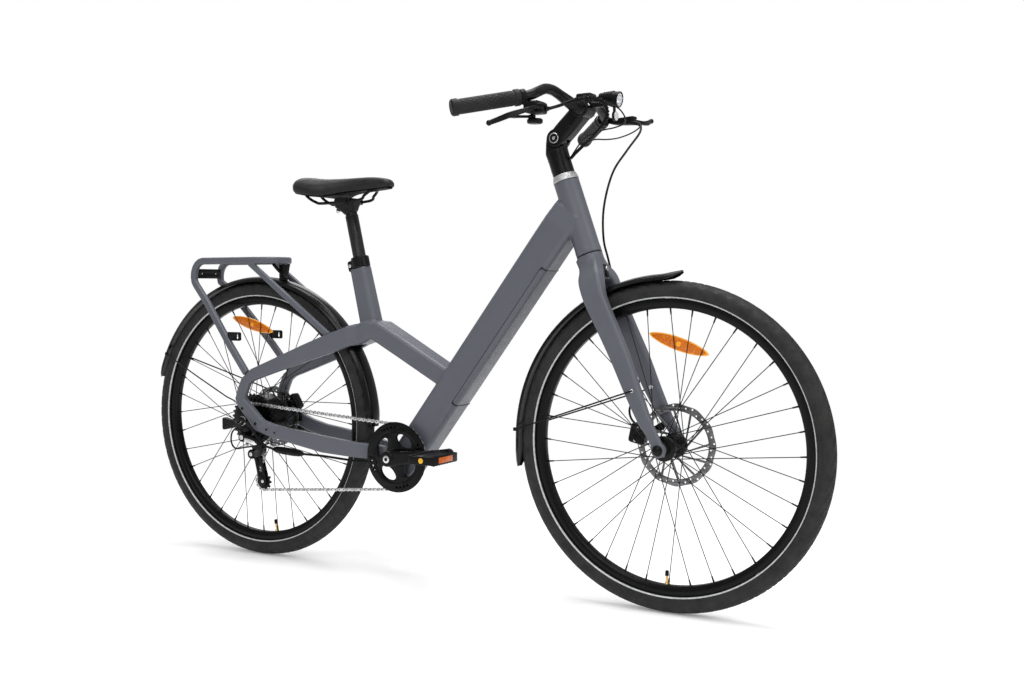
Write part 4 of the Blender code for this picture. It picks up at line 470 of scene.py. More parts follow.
def loft(name, sections, look=None, closed=False, sharp=None):
    bm = bmesh.new()
    rings = [[bm.verts.new(point) for point in ring] for ring in sections]
    count = len(rings[0])
    pairs = list(zip(rings, rings[1:]))
    if closed:
        pairs.append((rings[-1], rings[0]))
    for first, second in pairs:
        for i in range(count):
            j = (i + 1) % count
            bm.faces.new((first[i], first[j], second[j], second[i]))
    if not closed:
        bm.faces.new(rings[0][::-1])
        bm.faces.new(rings[-1])
    return add_object(name, bm, look, sharp)


def rounded_rect(width, height, corner, steps=6):
    points = []
    for quarter, (side, top) in enumerate(((1, 1), (-1, 1), (-1, -1), (1, -1))):
        middle_x = side * (width / 2 - corner)
        middle_y = top * (height / 2 - corner)
        for step in range(steps):
            angle = math.radians(90 * (quarter + step / (steps - 1)))
            points.append((middle_x + corner * math.cos(angle), middle_y + corner * math.sin(angle)))
    return points


def section(centre, across, up, width, height, corner, steps=6):
    return [centre + across * x + up * y for x, y in rounded_rect(width, height, corner, steps)]


def sweep(name, stations, side=ACROSS, steps=6, look=None, closed=False):
    """A bar through stations of centre, width along the side direction, height and corner radius."""
    count = len(stations)
    sections = []
    for i, (centre, width, height, corner) in enumerate(stations):
        after = stations[(i + 1) % count][0] if closed else stations[min(i + 1, count - 1)][0]
        before = stations[i - 1][0] if closed else stations[max(i - 1, 0)][0]
        tangent = (after - before).normalized()
        across = (side - tangent * side.dot(tangent)).normalized()
        sections.append(section(centre, across, tangent.cross(across), width, height, corner, steps))
    return loft(name, sections, look, closed)


def spread(values, per_span):
    """Values of a smooth curve through a list of numbers or vectors."""
    out = []
    last = len(values) - 1
    for i in range(last):
        before, start = values[max(i - 1, 0)], values[i]
        end, after = values[i + 1], values[min(i + 2, last)]
        square = 2 * before - 5 * start + 4 * end - after
        cube = 3 * start - before - 3 * end + after
        for step in range(per_span):
            t = step / per_span
            out.append(0.5 * (2 * start + (end - before) * t + square * t ** 2 + cube * t ** 3))
    out.append(values[-1])
    return out


def smooth_stations(stations, per_span=6):
    columns = list(zip(*stations))
    smooth = [spread(list(column), per_span) for column in columns]
    return list(zip(*smooth))


def points(*coords):
    return [Vector(c) for c in coords]


def tube(name, route, radius, look=None, sides=16, ripple=0.0, pitch=1):
    """A round tube along a route. The radius may be a number or one per point."""
    radii = radius if isinstance(radius, (list, tuple)) else [radius] * len(route)
    normal = None
    sections = []
    for i, point in enumerate(route):
        tangent = (route[min(i + 1, len(route) - 1)] - route[max(i - 1, 0)]).normalized()
        if normal is None:
            normal = tangent.orthogonal().normalized()
        normal = (normal - tangent * normal.dot(tangent)).normalized()
        side = tangent.cross(normal)
        reach = radii[i] + (ripple if (i // pitch) % 2 else 0.0)
        sections.append([point + (normal * math.cos(a) + side * math.sin(a)) * reach
                         for a in (2 * math.pi * k / sides for k in range(sides))])
    return loft(name, sections, look, sharp=60)


def rod(name, start, end, radius, look=None, sides=32, end_radius=None, chamfer=0.0):
    """A straight round bar, with chamfered rims."""
    along = (end - start).normalized()
    last = radius if end_radius is None else end_radius
    if not chamfer:
        return tube(name, [start, end], [radius, last], look, sides)
    route = [start, start + along * chamfer, end - along * chamfer, end]
    return tube(name, route, [radius - chamfer, radius, last, last - chamfer], look, sides)


def cross_rod(name, centre, low, high, radius, look=None, sides=32, end_radius=None, chamfer=0.0):
    start = Vector((centre.x, low, centre.z))
    end = Vector((centre.x, high, centre.z))
    return rod(name, start, end, radius, look, sides, end_radius, chamfer)


def turned(name, profile, centre, axis=ACROSS, sides=64, look=None, sharp=35):
    """A closed ring profile, as radius and distance along the axis, turned round that axis."""
    turn = axis.to_track_quat("Z", "Y").to_matrix()
    sections = []
    for k in range(sides):
        angle = 2 * math.pi * k / sides
        spoke = Vector((math.cos(angle), math.sin(angle), 0.0))
        sections.append([centre + turn @ (spoke * r + Vector((0.0, 0.0, s))) for r, s in profile])
    return loft(name, sections, look, closed=True, sharp=sharp)


def block(name, centre, size, look=None, along=AHEAD, side=ACROSS, edge=0.0, segments=3):
    """A box with rounded edges, its first side along a direction."""
    forward = along.normalized()
    across = (side - forward * side.dot(forward)).normalized()
    turn = Matrix((forward, across, forward.cross(across))).transposed().to_4x4()
    bm = bmesh.new()
    bmesh.ops.create_cube(bm, size=1.0,
                          matrix=Matrix.Translation(centre) @ turn @ Matrix.Diagonal((*size, 1.0)))
    if edge:
        bmesh.ops.bevel(bm, geom=bm.edges[:], offset=edge, segments=segments, affect="EDGES", profile=0.5)
    return add_object(name, bm, look, 40)


def plate(name, outline, thickness, centre, holes=(), look=None, edge=0.0004):
    """A flat plate across Y with softened rims, from an outline and holes given as X and Z."""
    curve = bpy.data.curves.new(name, "CURVE")
    curve.dimensions = "2D"
    curve.fill_mode = "BOTH"
    curve.extrude = thickness / 2 - edge
    curve.bevel_depth = edge
    curve.bevel_resolution = 1
    curve.offset = -edge
    for loop in (outline, *holes):
        spline = curve.splines.new("POLY")
        spline.points.add(len(loop) - 1)
        spline.use_cyclic_u = True
        for target, (x, z) in zip(spline.points, loop):
            target.co = (x, z, 0.0, 1.0)
    obj = bpy.data.objects.new(name, curve)
    bpy.context.scene.collection.objects.link(obj)
    obj = bake(obj)
    bm = bmesh.new()
    bm.from_mesh(obj.data)
    bmesh.ops.remove_doubles(bm, verts=bm.verts, dist=0.00001)
    bm.transform(Matrix.Translation(centre) @ Matrix.Rotation(math.pi / 2, 4, "X"))
    bpy.data.objects.remove(obj, do_unlink=True)
    return add_object(name, bm, look, 40)


def polar(radius, angle, centre=(0.0, 0.0)):
    """A flat point at a distance and an angle from a centre."""
    return centre[0] + radius * math.cos(angle), centre[1] + radius * math.sin(angle)


def around(radius, angle, across=0.0):
    """A step from a wheel's middle, at an angle in the wheel's plane."""
    return Vector((radius * math.cos(angle), across, radius * math.sin(angle)))


def ring_points(radius, count=48, centre=(0.0, 0.0)):
    return [polar(radius, 2 * math.pi * i / count, centre) for i in range(count)]


def arc(radius, start, turn, steps, centre=(0.0, 0.0)):
    """Flat points on an arc, from an angle and over a turn."""
    return [polar(radius, start + turn * k / steps, centre) for k in range(steps + 1)]


def both_sides(half):
    """A profile of radius and distance, mirrored so that it runs on to its other side."""
    return list(half) + [(r, -s) for r, s in reversed(half[:-1])]


def screw(place, direction, radius, height, look="bright"):
    """A cap screw with its hexagon socket."""
    along = direction.normalized()
    one = along.orthogonal().normalized()
    two = along.cross(one)
    sides = 24

    def ring(level, reach, hexagon=False):
        out = []
        for k in range(sides):
            angle = 2 * math.pi * k / sides
            scale = math.cos(math.pi / 6) / math.cos(angle % (math.pi / 3) - math.pi / 6) if hexagon else 1.0
            spoke = one * math.cos(angle) + two * math.sin(angle)
            out.append(place + along * level + spoke * reach * scale)
        return out

    rings = [ring(0.0, radius), ring(height * 0.72, radius), ring(height, radius * 0.86),
             ring(height, radius * 0.56, True), ring(height * 0.35, radius * 0.54, True)]
    return loft("screw", rings, look, sharp=30)


def nut(place, direction, radius, height, look="anodised"):
    along = direction.normalized()
    return rod("nut", place, place + along * height, radius, look, 6, None, height * 0.12)


def dress(node, look, edge=0.0):
    """A CAD node that stays, with a finer material and softened edges."""
    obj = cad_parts[node]
    if not obj.data.materials:
        obj.data.materials.append(looks[look])
    for slot in obj.material_slots:
        slot.material = looks[look]
    if edge:
        weld = obj.modifiers.new("weld", "WELD")
        weld.merge_threshold = 0.00002
        bevel = obj.modifiers.new("edges", "BEVEL")
        bevel.width = edge
        bevel.segments = 2
        bevel.limit_method = "ANGLE"
        bevel.angle_limit = math.radians(38)
        bevel.harden_normals = False
    return obj


def place(obj, body, slot, *nodes):
    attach(obj, body)
    if nodes:
        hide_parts(*nodes)
    return obj


def mirrored(point, side):
    return Vector((point.x, side * point.y, point.z))


def sided(side, x, y, z):
    """A point given for the left side, on the side asked for."""
    return Vector((x, side * y, z))


# Shared sizes, the same as the solids'

WHEELBASE = 1.127
TYRE_RADIUS = 0.353
FRONT_AXLE = Vector((WHEELBASE / 2, 0.0, TYRE_RADIUS))
REAR_AXLE = Vector((-WHEELBASE / 2, 0.0, TYRE_RADIUS))
CRANK_AXLE = Vector((-0.105, 0.0, 0.290))
CHAINLINE = 0.0465
HEAD_TOP = Vector((0.313, 0.0, 0.937))
HEAD_DIRECTION = Vector((0.3338, 0.0, -0.9426)).normalized()
HEAD_FORWARD = Vector((-HEAD_DIRECTION.z, 0.0, HEAD_DIRECTION.x))
DOWN_DIRECTION = Vector((0.6018, 0.0, 0.7986)).normalized()
DOWN_NORMAL = Vector((DOWN_DIRECTION.z, 0.0, -DOWN_DIRECTION.x))
DOWN_OFFSET = -0.24925
DOWN_DEPTH = 0.0775
DOWN_WIDTH = 0.070
BAY_START = 0.363
BAY_END = 0.752
COVER_DEPTH = 0.0135
SEAT_TOP = Vector((-0.2414, 0.0, 0.7385))
SEAT_DIRECTION = Vector((-0.2245, 0.0, 0.9745)).normalized()


def down_point(along, offset=DOWN_OFFSET):
    return DOWN_DIRECTION * along + DOWN_NORMAL * offset


def head_point(distance, radius=0.0):
    return HEAD_TOP + HEAD_DIRECTION * distance + HEAD_FORWARD * radius


# Frame

# The upper and lower edge of each cross-section of the rear bars, and its outer face's distance
SEAT_STAY = (((-0.2363, 0.6035), (-0.2323, 0.5515), 0.0335), ((-0.2540, 0.5980), (-0.2495, 0.5490), 0.0455),
             ((-0.2750, 0.5890), (-0.2700, 0.5405), 0.0510), ((-0.3050, 0.5790), (-0.3000, 0.5300), 0.0580),
             ((-0.3780, 0.5485), (-0.3720, 0.5060), 0.0720), ((-0.4610, 0.5130), (-0.4560, 0.4780), 0.0830),
             ((-0.5250, 0.4870), (-0.5180, 0.4570), 0.0880))
DROPOUT_BEND = (((-0.5560, 0.4630), (-0.5320, 0.4470), 0.0880),
                ((-0.5700, 0.4340), (-0.5410, 0.4280), 0.0880),
                ((-0.5785, 0.4060), (-0.5470, 0.4130), 0.0880),
                ((-0.5750, 0.3980), (-0.5430, 0.4080), 0.0880),
                ((-0.5200, 0.3395), (-0.4930, 0.3645), 0.0880),
                ((-0.5110, 0.3320), (-0.4850, 0.3590), 0.0880))
CHAIN_STAY = (((-0.4700, 0.3180), (-0.4550, 0.3500), 0.0830), ((-0.4100, 0.3050), (-0.4080, 0.3410), 0.0750),
              ((-0.3180, 0.2880), (-0.3170, 0.3300), 0.0700), ((-0.2340, 0.2810), (-0.2340, 0.3190), 0.0580),
              ((-0.2120, 0.2790), (-0.2120, 0.3170), 0.0500), ((-0.1900, 0.2780), (-0.1900, 0.3145), 0.0415),
              ((-0.1230, 0.2760), (-0.1505, 0.3110), 0.0385))
DROPOUT_PLATE = ((-0.570, 0.392), (-0.545, 0.398), (-0.520, 0.372), (-0.492, 0.352), (-0.498, 0.336),
                 (-0.530, 0.326), (-0.540, 0.304), (-0.562, 0.304), (-0.575, 0.328), (-0.586, 0.342),
                 (-0.588, 0.360), (-0.582, 0.378))
# Distance along the down tube, width and depth
DOWN_TUBE_START = ((0.119, 0.040, 0.050), (0.124, 0.056, 0.064), (0.134, 0.066, 0.074),
                   (0.152, DOWN_WIDTH, DOWN_DEPTH))
DOWN_TUBE_END = ((0.790, DOWN_WIDTH, DOWN_DEPTH), (0.846, 0.069, DOWN_DEPTH), (0.888, 0.056, DOWN_DEPTH))
# The upper and lower edge of each cross-section, and its width
TOP_TUBE = (((0.0498, 0.4875), (0.0260, 0.4443), 0.050), ((0.0147, 0.5068), (-0.0091, 0.4636), 0.060),
            ((-0.1081, 0.5743), (-0.1319, 0.5311), 0.064), ((-0.1721, 0.6085), (-0.1959, 0.5662), 0.068),
            ((-0.2150, 0.6120), (-0.2140, 0.5565), 0.068), ((-0.2360, 0.6037), (-0.2320, 0.5517), 0.066))
# Depth below the seat tube's top, shift backward, width and length
SEAT_TUBE = ((0.160, 0.0015, 0.041, 0.0495), (0.0, 0.0035, 0.039, 0.0455))
# Place and radius of each bolt
STAY_BOLTS = ((-0.552, 0.386, 0.0040), (-0.509, 0.350, 0.0040), (-0.474, 0.337, 0.0026),
              (-0.4475, 0.331, 0.0026))


def flat_section(station, side, thickness, corner):
    (upper_x, upper_z), (lower_x, lower_z), outer = station
    upper = Vector((upper_x, 0.0, upper_z))
    lower = Vector((lower_x, 0.0, lower_z))
    centre = (upper + lower) / 2 + ACROSS * side * (outer - thickness / 2)
    return section(centre, ACROSS, (upper - lower).normalized(), thickness, (upper - lower).length, corner)


def down_tube(stations):
    return loft("down_tube", [section(down_point(along), ACROSS, DOWN_NORMAL, width, depth, 0.0135, 7)
                              for along, width, depth in stations])


def top_tube():
    sections = []
    for (top_x, top_z), (low_x, low_z), width in TOP_TUBE:
        top = Vector((top_x, 0.0, top_z))
        low = Vector((low_x, 0.0, low_z))
        sections.append(section((top + low) / 2, ACROSS, (top - low).normalized(), width,
                                (top - low).length, 0.012))
    return loft("top_tube", sections)


def seat_tube():
    forward = Vector((SEAT_DIRECTION.z, 0.0, -SEAT_DIRECTION.x))
    return loft("seat_tube", [section(SEAT_TOP - SEAT_DIRECTION * depth - forward * back, ACROSS, forward,
                                      width, length, 0.011) for depth, back, width, length in SEAT_TUBE])


def rear_stays():
    """On each side a bar from the seat tube to the crank, with the dropout's plate in its bend."""
    solids = []
    for side in (-1, 1):
        solids.append(loft("bar", [flat_section(s, side, 0.0172, 0.0050)
                                   for s in SEAT_STAY + DROPOUT_BEND + CHAIN_STAY]))
        outline = DROPOUT_PLATE if side < 0 else tuple(p for p in DROPOUT_PLATE if p[1] > 0.305)
        solids.append(plate("insert", outline, 0.0066, Vector((0.0, side * 0.0705, 0.0))))
    return solids


def frame_cutters():
    """The bores of the head, shell and seat tube, the battery bay and the axle's hole."""
    middle = down_point((BAY_START + BAY_END) / 2)
    length = BAY_END - BAY_START
    underside = DOWN_DEPTH / 2
    return [rod("head_bore", head_point(-0.01), head_point(0.25), 0.0176, sides=48),
            cross_rod("shell_bore", CRANK_AXLE, -0.05, 0.05, 0.0180, sides=48),
            rod("post_bore", SEAT_TOP - SEAT_DIRECTION * 0.15, SEAT_TOP + SEAT_DIRECTION * 0.02, 0.0162,
                sides=48),
            block("bay", middle + DOWN_NORMAL * (underside - 0.021), (length - 0.006, 0.058, 0.082),
                  along=DOWN_DIRECTION),
            block("lip", middle + DOWN_NORMAL * (underside - COVER_DEPTH / 2 + 0.01),
                  (length, DOWN_WIDTH + 0.02, COVER_DEPTH + 0.02), along=DOWN_DIRECTION),
            cross_rod("axle_hole", REAR_AXLE, -0.1, 0.1, 0.0066, sides=32)]


def make_main_frame():
    solids = [down_tube(DOWN_TUBE_START + DOWN_TUBE_END), top_tube(), seat_tube(),
              rod("head", head_point(0.0153), head_point(0.1848), 0.0283, sides=64),
              rod("collar", head_point(0.172), head_point(0.1848), 0.0288, sides=64),
              cross_rod("shell", CRANK_AXLE, -0.0365, 0.0365, 0.0235, sides=48)]
    body = moulded("main_frame_skin", solids + rear_stays(), "paint", 0.0016, 7)
    body = creased(cut(body, *frame_cutters()))
    place(body, "frame", "frame_paint", "main_frame", "right_stay", "left_stay")


def make_battery_cover():
    middle = down_point((BAY_START + BAY_END) / 2)
    length = BAY_END - BAY_START
    cover = down_tube([(along, DOWN_WIDTH, DOWN_DEPTH) for along in (BAY_START + 0.0007, BAY_END - 0.0007)])
    keep_out = block("keep_out", middle + DOWN_NORMAL * (DOWN_DEPTH / 2 - COVER_DEPTH + 0.0004 - 0.05),
                     (length + 0.02, DOWN_WIDTH + 0.02, 0.10), along=DOWN_DIRECTION)
    hollow = block("hollow", middle + DOWN_NORMAL * (DOWN_DEPTH / 2 - 0.0030 - 0.05),
                   (length - 0.006, 0.054, 0.10), along=DOWN_DIRECTION)
    cover = edged(cut(cover, keep_out, hollow), 0.0006, 2, 40)
    place(put(cover, "cover"), "battery", "cover_paint", "battery_cover")


def cover_seam(route, radius=0.00085, look="gloss"):
    """A thin line on the down tube's skin, through places along, above and across it."""
    return tube("seam", [down_point(along) + DOWN_NORMAL * rise + ACROSS * across
                         for along, rise, across in route], radius, look, 8)


def make_cover_seams():
    """The gaps between the battery cover and the frame, drawn as thin dark lines: painted shade in the seams.
    """
    level = DOWN_DEPTH / 2 - COVER_DEPTH + 0.0002
    half = DOWN_WIDTH / 2 + 0.0001
    corner = 0.0080
    seams = []
    for side in (-1, 1):
        ends = []
        for end, sign in ((BAY_START, 1), (BAY_END, -1)):
            bend = [(end + sign * corner * (1 - math.sin(a)), level + corner * (1 - math.cos(a)), side * half)
                    for a in (math.radians(90 * k / 8) for k in range(8, -1, -1))]
            seams.append(cover_seam([(end, DOWN_DEPTH / 2 - 0.0132, side * half)] + bend))
            ends.append(bend[-1])
        # The faint line along each side stands in for the crease's shading: painted shade.
        seams.append(cover_seam(ends, 0.00040, "anodised"))
    rim = [(half, -0.0132), (half, -0.0110), (half - 0.0020, -0.0045), (half - 0.0060, -0.0012),
           (half - 0.0132, 0.0001)]
    rim += [(-y, z) for y, z in reversed(rim)]
    for end in (BAY_START, BAY_END):
        seams.append(cover_seam([(end, DOWN_DEPTH / 2 + z, y) for y, z in rim]))
    place(join("battery_cover_seam", *seams), "battery", "gloss_black")


def add_stay_bolts(side, name):
    bolts = [screw(sided(side, x, 0.0876, z), ACROSS * side, radius, 0.0016, "anodised")
             for x, z, radius in STAY_BOLTS]
    place(join(name + "_bolts", *bolts), "frame", "black_metal")


RAIL_HEIGHT = 0.7595
RAIL_OFFSET = 0.048


def seat_stay_top(x):
    """The height of the seat stay's upper edge."""
    edge = [station[0] for station in SEAT_STAY]
    for first, second in zip(edge, edge[1:]):
        if second[0] <= x <= first[0]:
            share = (x - first[0]) / (second[0] - first[0])
            return first[1] + share * (second[1] - first[1])
    return edge[-1][1]


def rack_side(side):
    """A rail that rises from the dropout and bends forward, and the leg to the seat stay."""
    route = points((-0.5411, 0.083, 0.4758), (-0.595, 0.079, 0.540), (-0.691, 0.061, 0.650),
                   (-0.738, 0.0525, 0.697))
    for step in range(7):
        angle = math.radians(200 - 18 * step)
        route.append(Vector((-0.717 + 0.0328 * math.cos(angle), RAIL_OFFSET,
                             RAIL_HEIGHT - 0.040 + 0.040 * math.sin(angle))))
    route += points((-0.690, RAIL_OFFSET, RAIL_HEIGHT), (-0.533, RAIL_OFFSET, RAIL_HEIGHT))
    outer = RAIL_OFFSET + 0.006
    top = ((-0.5516, RAIL_HEIGHT - 0.0014), (-0.5604, RAIL_HEIGHT - 0.0136), outer)
    foot = [(x, seat_stay_top(x) + 0.0005) for x in (-0.3025, -0.3188)]
    return [sweep("rail", [(mirrored(p, side), 0.014, 0.018, 0.0045) for p in route]),
            loft("leg", [flat_section(station, side, 0.012, 0.0032) for station in (top, (*foot, outer))])]


def rack_front():
    """The half ring that joins the two rails at the front."""
    route = [Vector((-0.543, -RAIL_OFFSET, RAIL_HEIGHT))]
    for step in range(13):
        x, y = polar(RAIL_OFFSET, math.radians(-90 + 15 * step), (-0.533, 0.0))
        route.append(Vector((x, y, RAIL_HEIGHT)))
    route.append(Vector((-0.543, RAIL_OFFSET, RAIL_HEIGHT)))
    return sweep("front", [(p, 0.0176, 0.0136, 0.0045) for p in route], UP)


def make_rack():
    parts = rack_side(-1) + rack_side(1) + [rack_front()]
    place(moulded("rear_rack_skin", parts, "paint", 0.0013, 6), "frame", "frame_paint", "rear_rack")


TAIL_PANEL = ((-1, -0.7), (-0.93, -1), (0.93, -1), (1, -0.7), (1, 0.7), (0.93, 1), (-0.93, 1), (-1, 0.7))
STAY_TAB = ((0.030, 0.010), (0.026, 0.012), (-0.014, 0.012), (-0.014, -0.010), (0.026, -0.010),
            (0.030, -0.008))


def make_rack_fittings():
    """A plate for a rear lamp, two braces at the front and a tab with a keyhole on each side."""
    panel = [(x * 0.047, z * 0.0125) for x, z in TAIL_PANEL]
    holes = [ring_points(0.0026, 16, (x, 0.0)) for x in (-0.025, 0.025)]
    tail = plate("tail", panel, 0.0040, ORIGIN, holes, "metal")
    tail.data.transform(Matrix.Translation((-0.744, 0.0, 0.727)) @ Matrix.Rotation(math.pi / 2, 4, "Z"))
    parts = [tail]
    keyhole = arc(0.0034, math.radians(40), math.radians(-260), 12, (0.0185, -0.002))
    keyhole += [(0.0170, 0.0075), (0.0200, 0.0075)]
    for side in (-1, 1):
        brace = spread([sided(side, -0.497, 0.030, 0.7515), sided(side, -0.492, 0.020, 0.738),
                        sided(side, -0.484, 0.008, 0.7235), sided(side, -0.474, 0.004, 0.7125)], 5)
        parts.append(sweep("brace", [(p, 0.010, 0.0036, 0.0012) for p in brace], look="metal"))
        parts.append(plate("tab", STAY_TAB, 0.0030, sided(side, -0.592, 0.0785, 0.566), [keyhole[::-1]],
                           "metal"))
    place(join("rack_fittings", *parts), "frame", "black_metal")


def make_seat_clamp():
    base = SEAT_TOP + SEAT_DIRECTION * 0.0004
    backward = Vector((-SEAT_DIRECTION.z, 0.0, SEAT_DIRECTION.x))
    collar = rod("collar", base, base + SEAT_DIRECTION * 0.027, 0.0222, sides=64, chamfer=0.0015)
    lobe = block("lobe", base + SEAT_DIRECTION * 0.009 + backward * 0.0225, (0.024, 0.025, 0.029),
                 along=backward, edge=0.007)
    clamp = moulded("seat_clamp_skin", [collar, lobe], "anodised", 0.0008, 5)
    bore = rod("bore", base - SEAT_DIRECTION * 0.01, base + SEAT_DIRECTION * 0.05, 0.0161, sides=48)
    slit = block("slit", base + SEAT_DIRECTION * 0.013 + backward * 0.026, (0.026, 0.0016, 0.06),
                 along=backward)
    place(cut(clamp, bore, slit), "frame", "black_metal", "seat_clamp")
    bolt = screw(base + SEAT_DIRECTION * 0.010 + backward * 0.025 - ACROSS * 0.0122, -ACROSS, 0.0042, 0.0012)
    bolt.name = "seat_clamp_bolt"
    place(bolt, "frame", "steel")


# Fork

# Drop below the seam, width, depth and corner radius
CROWN = ((0.000, 0.0565, 0.0565, 0.027), (0.014, 0.0575, 0.0560, 0.027), (0.030, 0.0610, 0.0545, 0.025),
         (0.048, 0.0740, 0.0500, 0.020), (0.064, 0.0920, 0.0420, 0.016))
# Place in the side view, distance to the side, depth and thickness
FORK_LEG = ((0.3752, 0.7540, 0.0040, 0.053, 0.036), (0.3800, 0.7440, 0.0080, 0.050, 0.036),
            (0.3860, 0.7320, 0.0140, 0.047, 0.036), (0.3915, 0.7190, 0.0235, 0.049, 0.035),
            (0.3985, 0.7020, 0.0375, 0.054, 0.033), (0.4120, 0.6640, 0.0455, 0.050, 0.028),
            (0.4435, 0.6000, 0.0470, 0.046, 0.025), (0.4740, 0.5380, 0.0490, 0.043, 0.0240),
            (0.5015, 0.4750, 0.0525, 0.037, 0.023), (0.5300, 0.4150, 0.0570, 0.030, 0.020),
            (0.5490, 0.3840, 0.0585, 0.025, 0.016), (0.5635, 0.3530, 0.0585, 0.026, 0.016),
            (0.5680, 0.3380, 0.0585, 0.020, 0.014))


def make_fork():
    seam = 0.1853
    crown = loft("crown", [section(head_point(seam + drop), ACROSS, HEAD_FORWARD, width, depth, corner, 8)
                           for drop, width, depth, corner in CROWN])
    steerer = rod("steerer", head_point(-0.0525), head_point(seam + 0.02), 0.0143, sides=40)
    parts = [crown, steerer]
    for side in (-1, 1):
        stations = [(sided(side, x, y, z), thick, depth, 0.0078) for x, z, y, depth, thick in FORK_LEG]
        parts.append(sweep("leg", smooth_stations(stations, 4), steps=7))
        near, far = sorted((side * 0.0505, side * 0.0665))
        parts.append(cross_rod("end", FRONT_AXLE, near, far, 0.0150, sides=40))
    fork = moulded("fork_skin", parts, "paint", 0.0015, 14)
    hole = cross_rod("hole", FRONT_AXLE, -0.1, 0.1, 0.0055, sides=32)
    place(creased(cut(fork, hole)), "steering", "frame_paint", "fork")
    bolts = [screw(sided(side, 0.5040, 0.0415, 0.4750), -ACROSS * side, 0.0048, 0.0028) for side in (-1, 1)]
    place(join("fork_bolts", *bolts), "steering", "steel")
    seal = rod("crown_seal", head_point(0.1850), head_point(0.1866), 0.0287, "rubber", 64)
    place(seal, "steering", "black_plastic")


def make_headset():
    profile = [(0.0147, 0.0), (0.0250, 0.0), (0.0262, 0.0012), (0.0290, 0.0128), (0.0290, 0.0150),
               (0.0147, 0.0150)]
    ring = turned("headset_ring_skin", profile, head_point(0.0), HEAD_DIRECTION, 96, "silver")
    place(ring, "steering", "silver", "headset_ring")


# Wheels

# Radius and distance to the side, from the bead to the crown
TYRE_PROFILE = ((0.3152, 0.0118), (0.3156, 0.0150), (0.3163, 0.0166), (0.3172, 0.0176), (0.3184, 0.0185),
                (0.3210, 0.0195), (0.3265, 0.0207), (0.3330, 0.0210), (0.3380, 0.0203), (0.3415, 0.0191),
                (0.3440, 0.0178), (0.3462, 0.0161), (0.3480, 0.0142), (0.3494, 0.0122), (0.3506, 0.0100),
                (0.3515, 0.0076), (0.3522, 0.0051), (0.3526, 0.0026), (0.3528, 0.0000))
TYRE_INSIDE = ((0.3168, -0.0080), (0.3180, 0.0), (0.3168, 0.0080))
TYRE_BEAD = ((0.3208, 0.01965), (0.3214, 0.0202), (0.3222, 0.0203), (0.3226, 0.0196))
TYRE_STRIPE = ((0.3158, 0.0163), (0.31625, 0.01695), (0.3172, 0.01795), (0.3185, 0.01885),
               (0.3187, 0.0180), (0.3170, 0.0166))
TYRE_RIDGES = ((0.3262, 0.02065), (0.3284, 0.02085), (0.3306, 0.02095))
TREAD_STEPS = 720
TREAD_PITCH = 72


def tread_depth(angle, offset, radius):
    """How deep the tread is cut at a place on the tyre."""
    turn = angle * TREAD_PITCH / (2 * math.pi)
    across = abs(offset) / 0.0176
    if radius < 0.3330:
        return 0.0
    if radius < 0.3425:
        return 0.0016 if (turn * 0.5 + radius * 60) % 1.0 < 0.30 else 0.0
    phase = (turn + across * 1.9) % 1.0
    if 0.26 < across < 0.95:
        return 0.0023 if phase < 0.30 else 0.0
    if 0.14 < across <= 0.26:
        return 0.0015
    return 0.0010 if (turn * 2 + across) % 1.0 < 0.16 else 0.0


def wall_rings(name, profile, axle, look):
    """The same ring on both walls of a tyre."""
    return [turned(name, [(r, side * s) for r, s in profile], axle, sides=180, look=look, sharp=60)
            for side in (-1, 1)]


def make_tyre(axle, name, body):
    profile = both_sides(TYRE_PROFILE) + list(TYRE_INSIDE)
    sections = []
    for k in range(TREAD_STEPS):
        angle = 2 * math.pi * k / TREAD_STEPS
        out = around(1.0, angle)
        sections.append([axle + out * (r - tread_depth(angle, s, r)) + ACROSS * s for r, s in profile])
    place(loft(name + "_skin", sections, "tyre", closed=True), body, "tyre_rubber", name)
    ribs = wall_rings("rib", TYRE_BEAD, axle, "tyre")
    for radius, reach in TYRE_RIDGES:
        ridge = [(radius, reach - 0.0003), (radius + 0.0004, reach + 0.0003),
                 (radius + 0.0008, reach + 0.0003), (radius + 0.0012, reach - 0.0003)]
        ribs += wall_rings("ridge", ridge, axle, "tyre")
    place(join(name + "_stripes", *wall_rings("band", TYRE_STRIPE, axle, "stripe")), body, "tyre_rubber")
    place(join(name + "_ribs", *ribs), body, "tyre_rubber")


def make_rim(axle, name, body, valve_degrees):
    half = [(0.2940, 0.0055), (0.2948, 0.0078), (0.2985, 0.0105), (0.3030, 0.0121), (0.3070, 0.0125),
            (0.3135, 0.0125), (0.3147, 0.0120), (0.3150, 0.0108), (0.3140, 0.0103), (0.3090, 0.0100),
            (0.3070, 0.0060), (0.3062, 0.0)]
    place(turned(name + "_skin", both_sides(half), axle, sides=240, look="metal", sharp=40), body,
          "black_metal", name)
    out = around(1.0, math.radians(valve_degrees))
    stem = turned("stem", [(0.0001, 0.0), (0.0030, 0.0), (0.0030, 0.0230), (0.0001, 0.0230)],
                  axle + out * 0.2720, out, 20, "brass")
    lock = turned("lock", [(0.0001, 0.0), (0.0045, 0.0), (0.0045, 0.0030), (0.0001, 0.0030)],
                  axle + out * 0.2895, out, 16, "brass")
    cap = turned("cap", [(0.0001, 0.0), (0.0030, 0.0), (0.0040, 0.0015), (0.0042, 0.0110), (0.0001, 0.0110)],
                 axle + out * 0.2640, out, 20, "plastic")
    place(join(name + "_valve", stem, lock, cap), body, "steel")


SPOKES_PER_SIDE = 18


def cone_bar(bm, start, end, radius, sides, end_radius=None):
    """Add a thin bar to a bmesh."""
    run = end - start
    turn = run.to_track_quat("Z", "Y").to_matrix().to_4x4()
    bmesh.ops.create_cone(bm, cap_ends=True, segments=sides, radius1=radius,
                          radius2=radius if end_radius is None else end_radius, depth=run.length,
                          matrix=Matrix.Translation((start + end) / 2) @ turn)


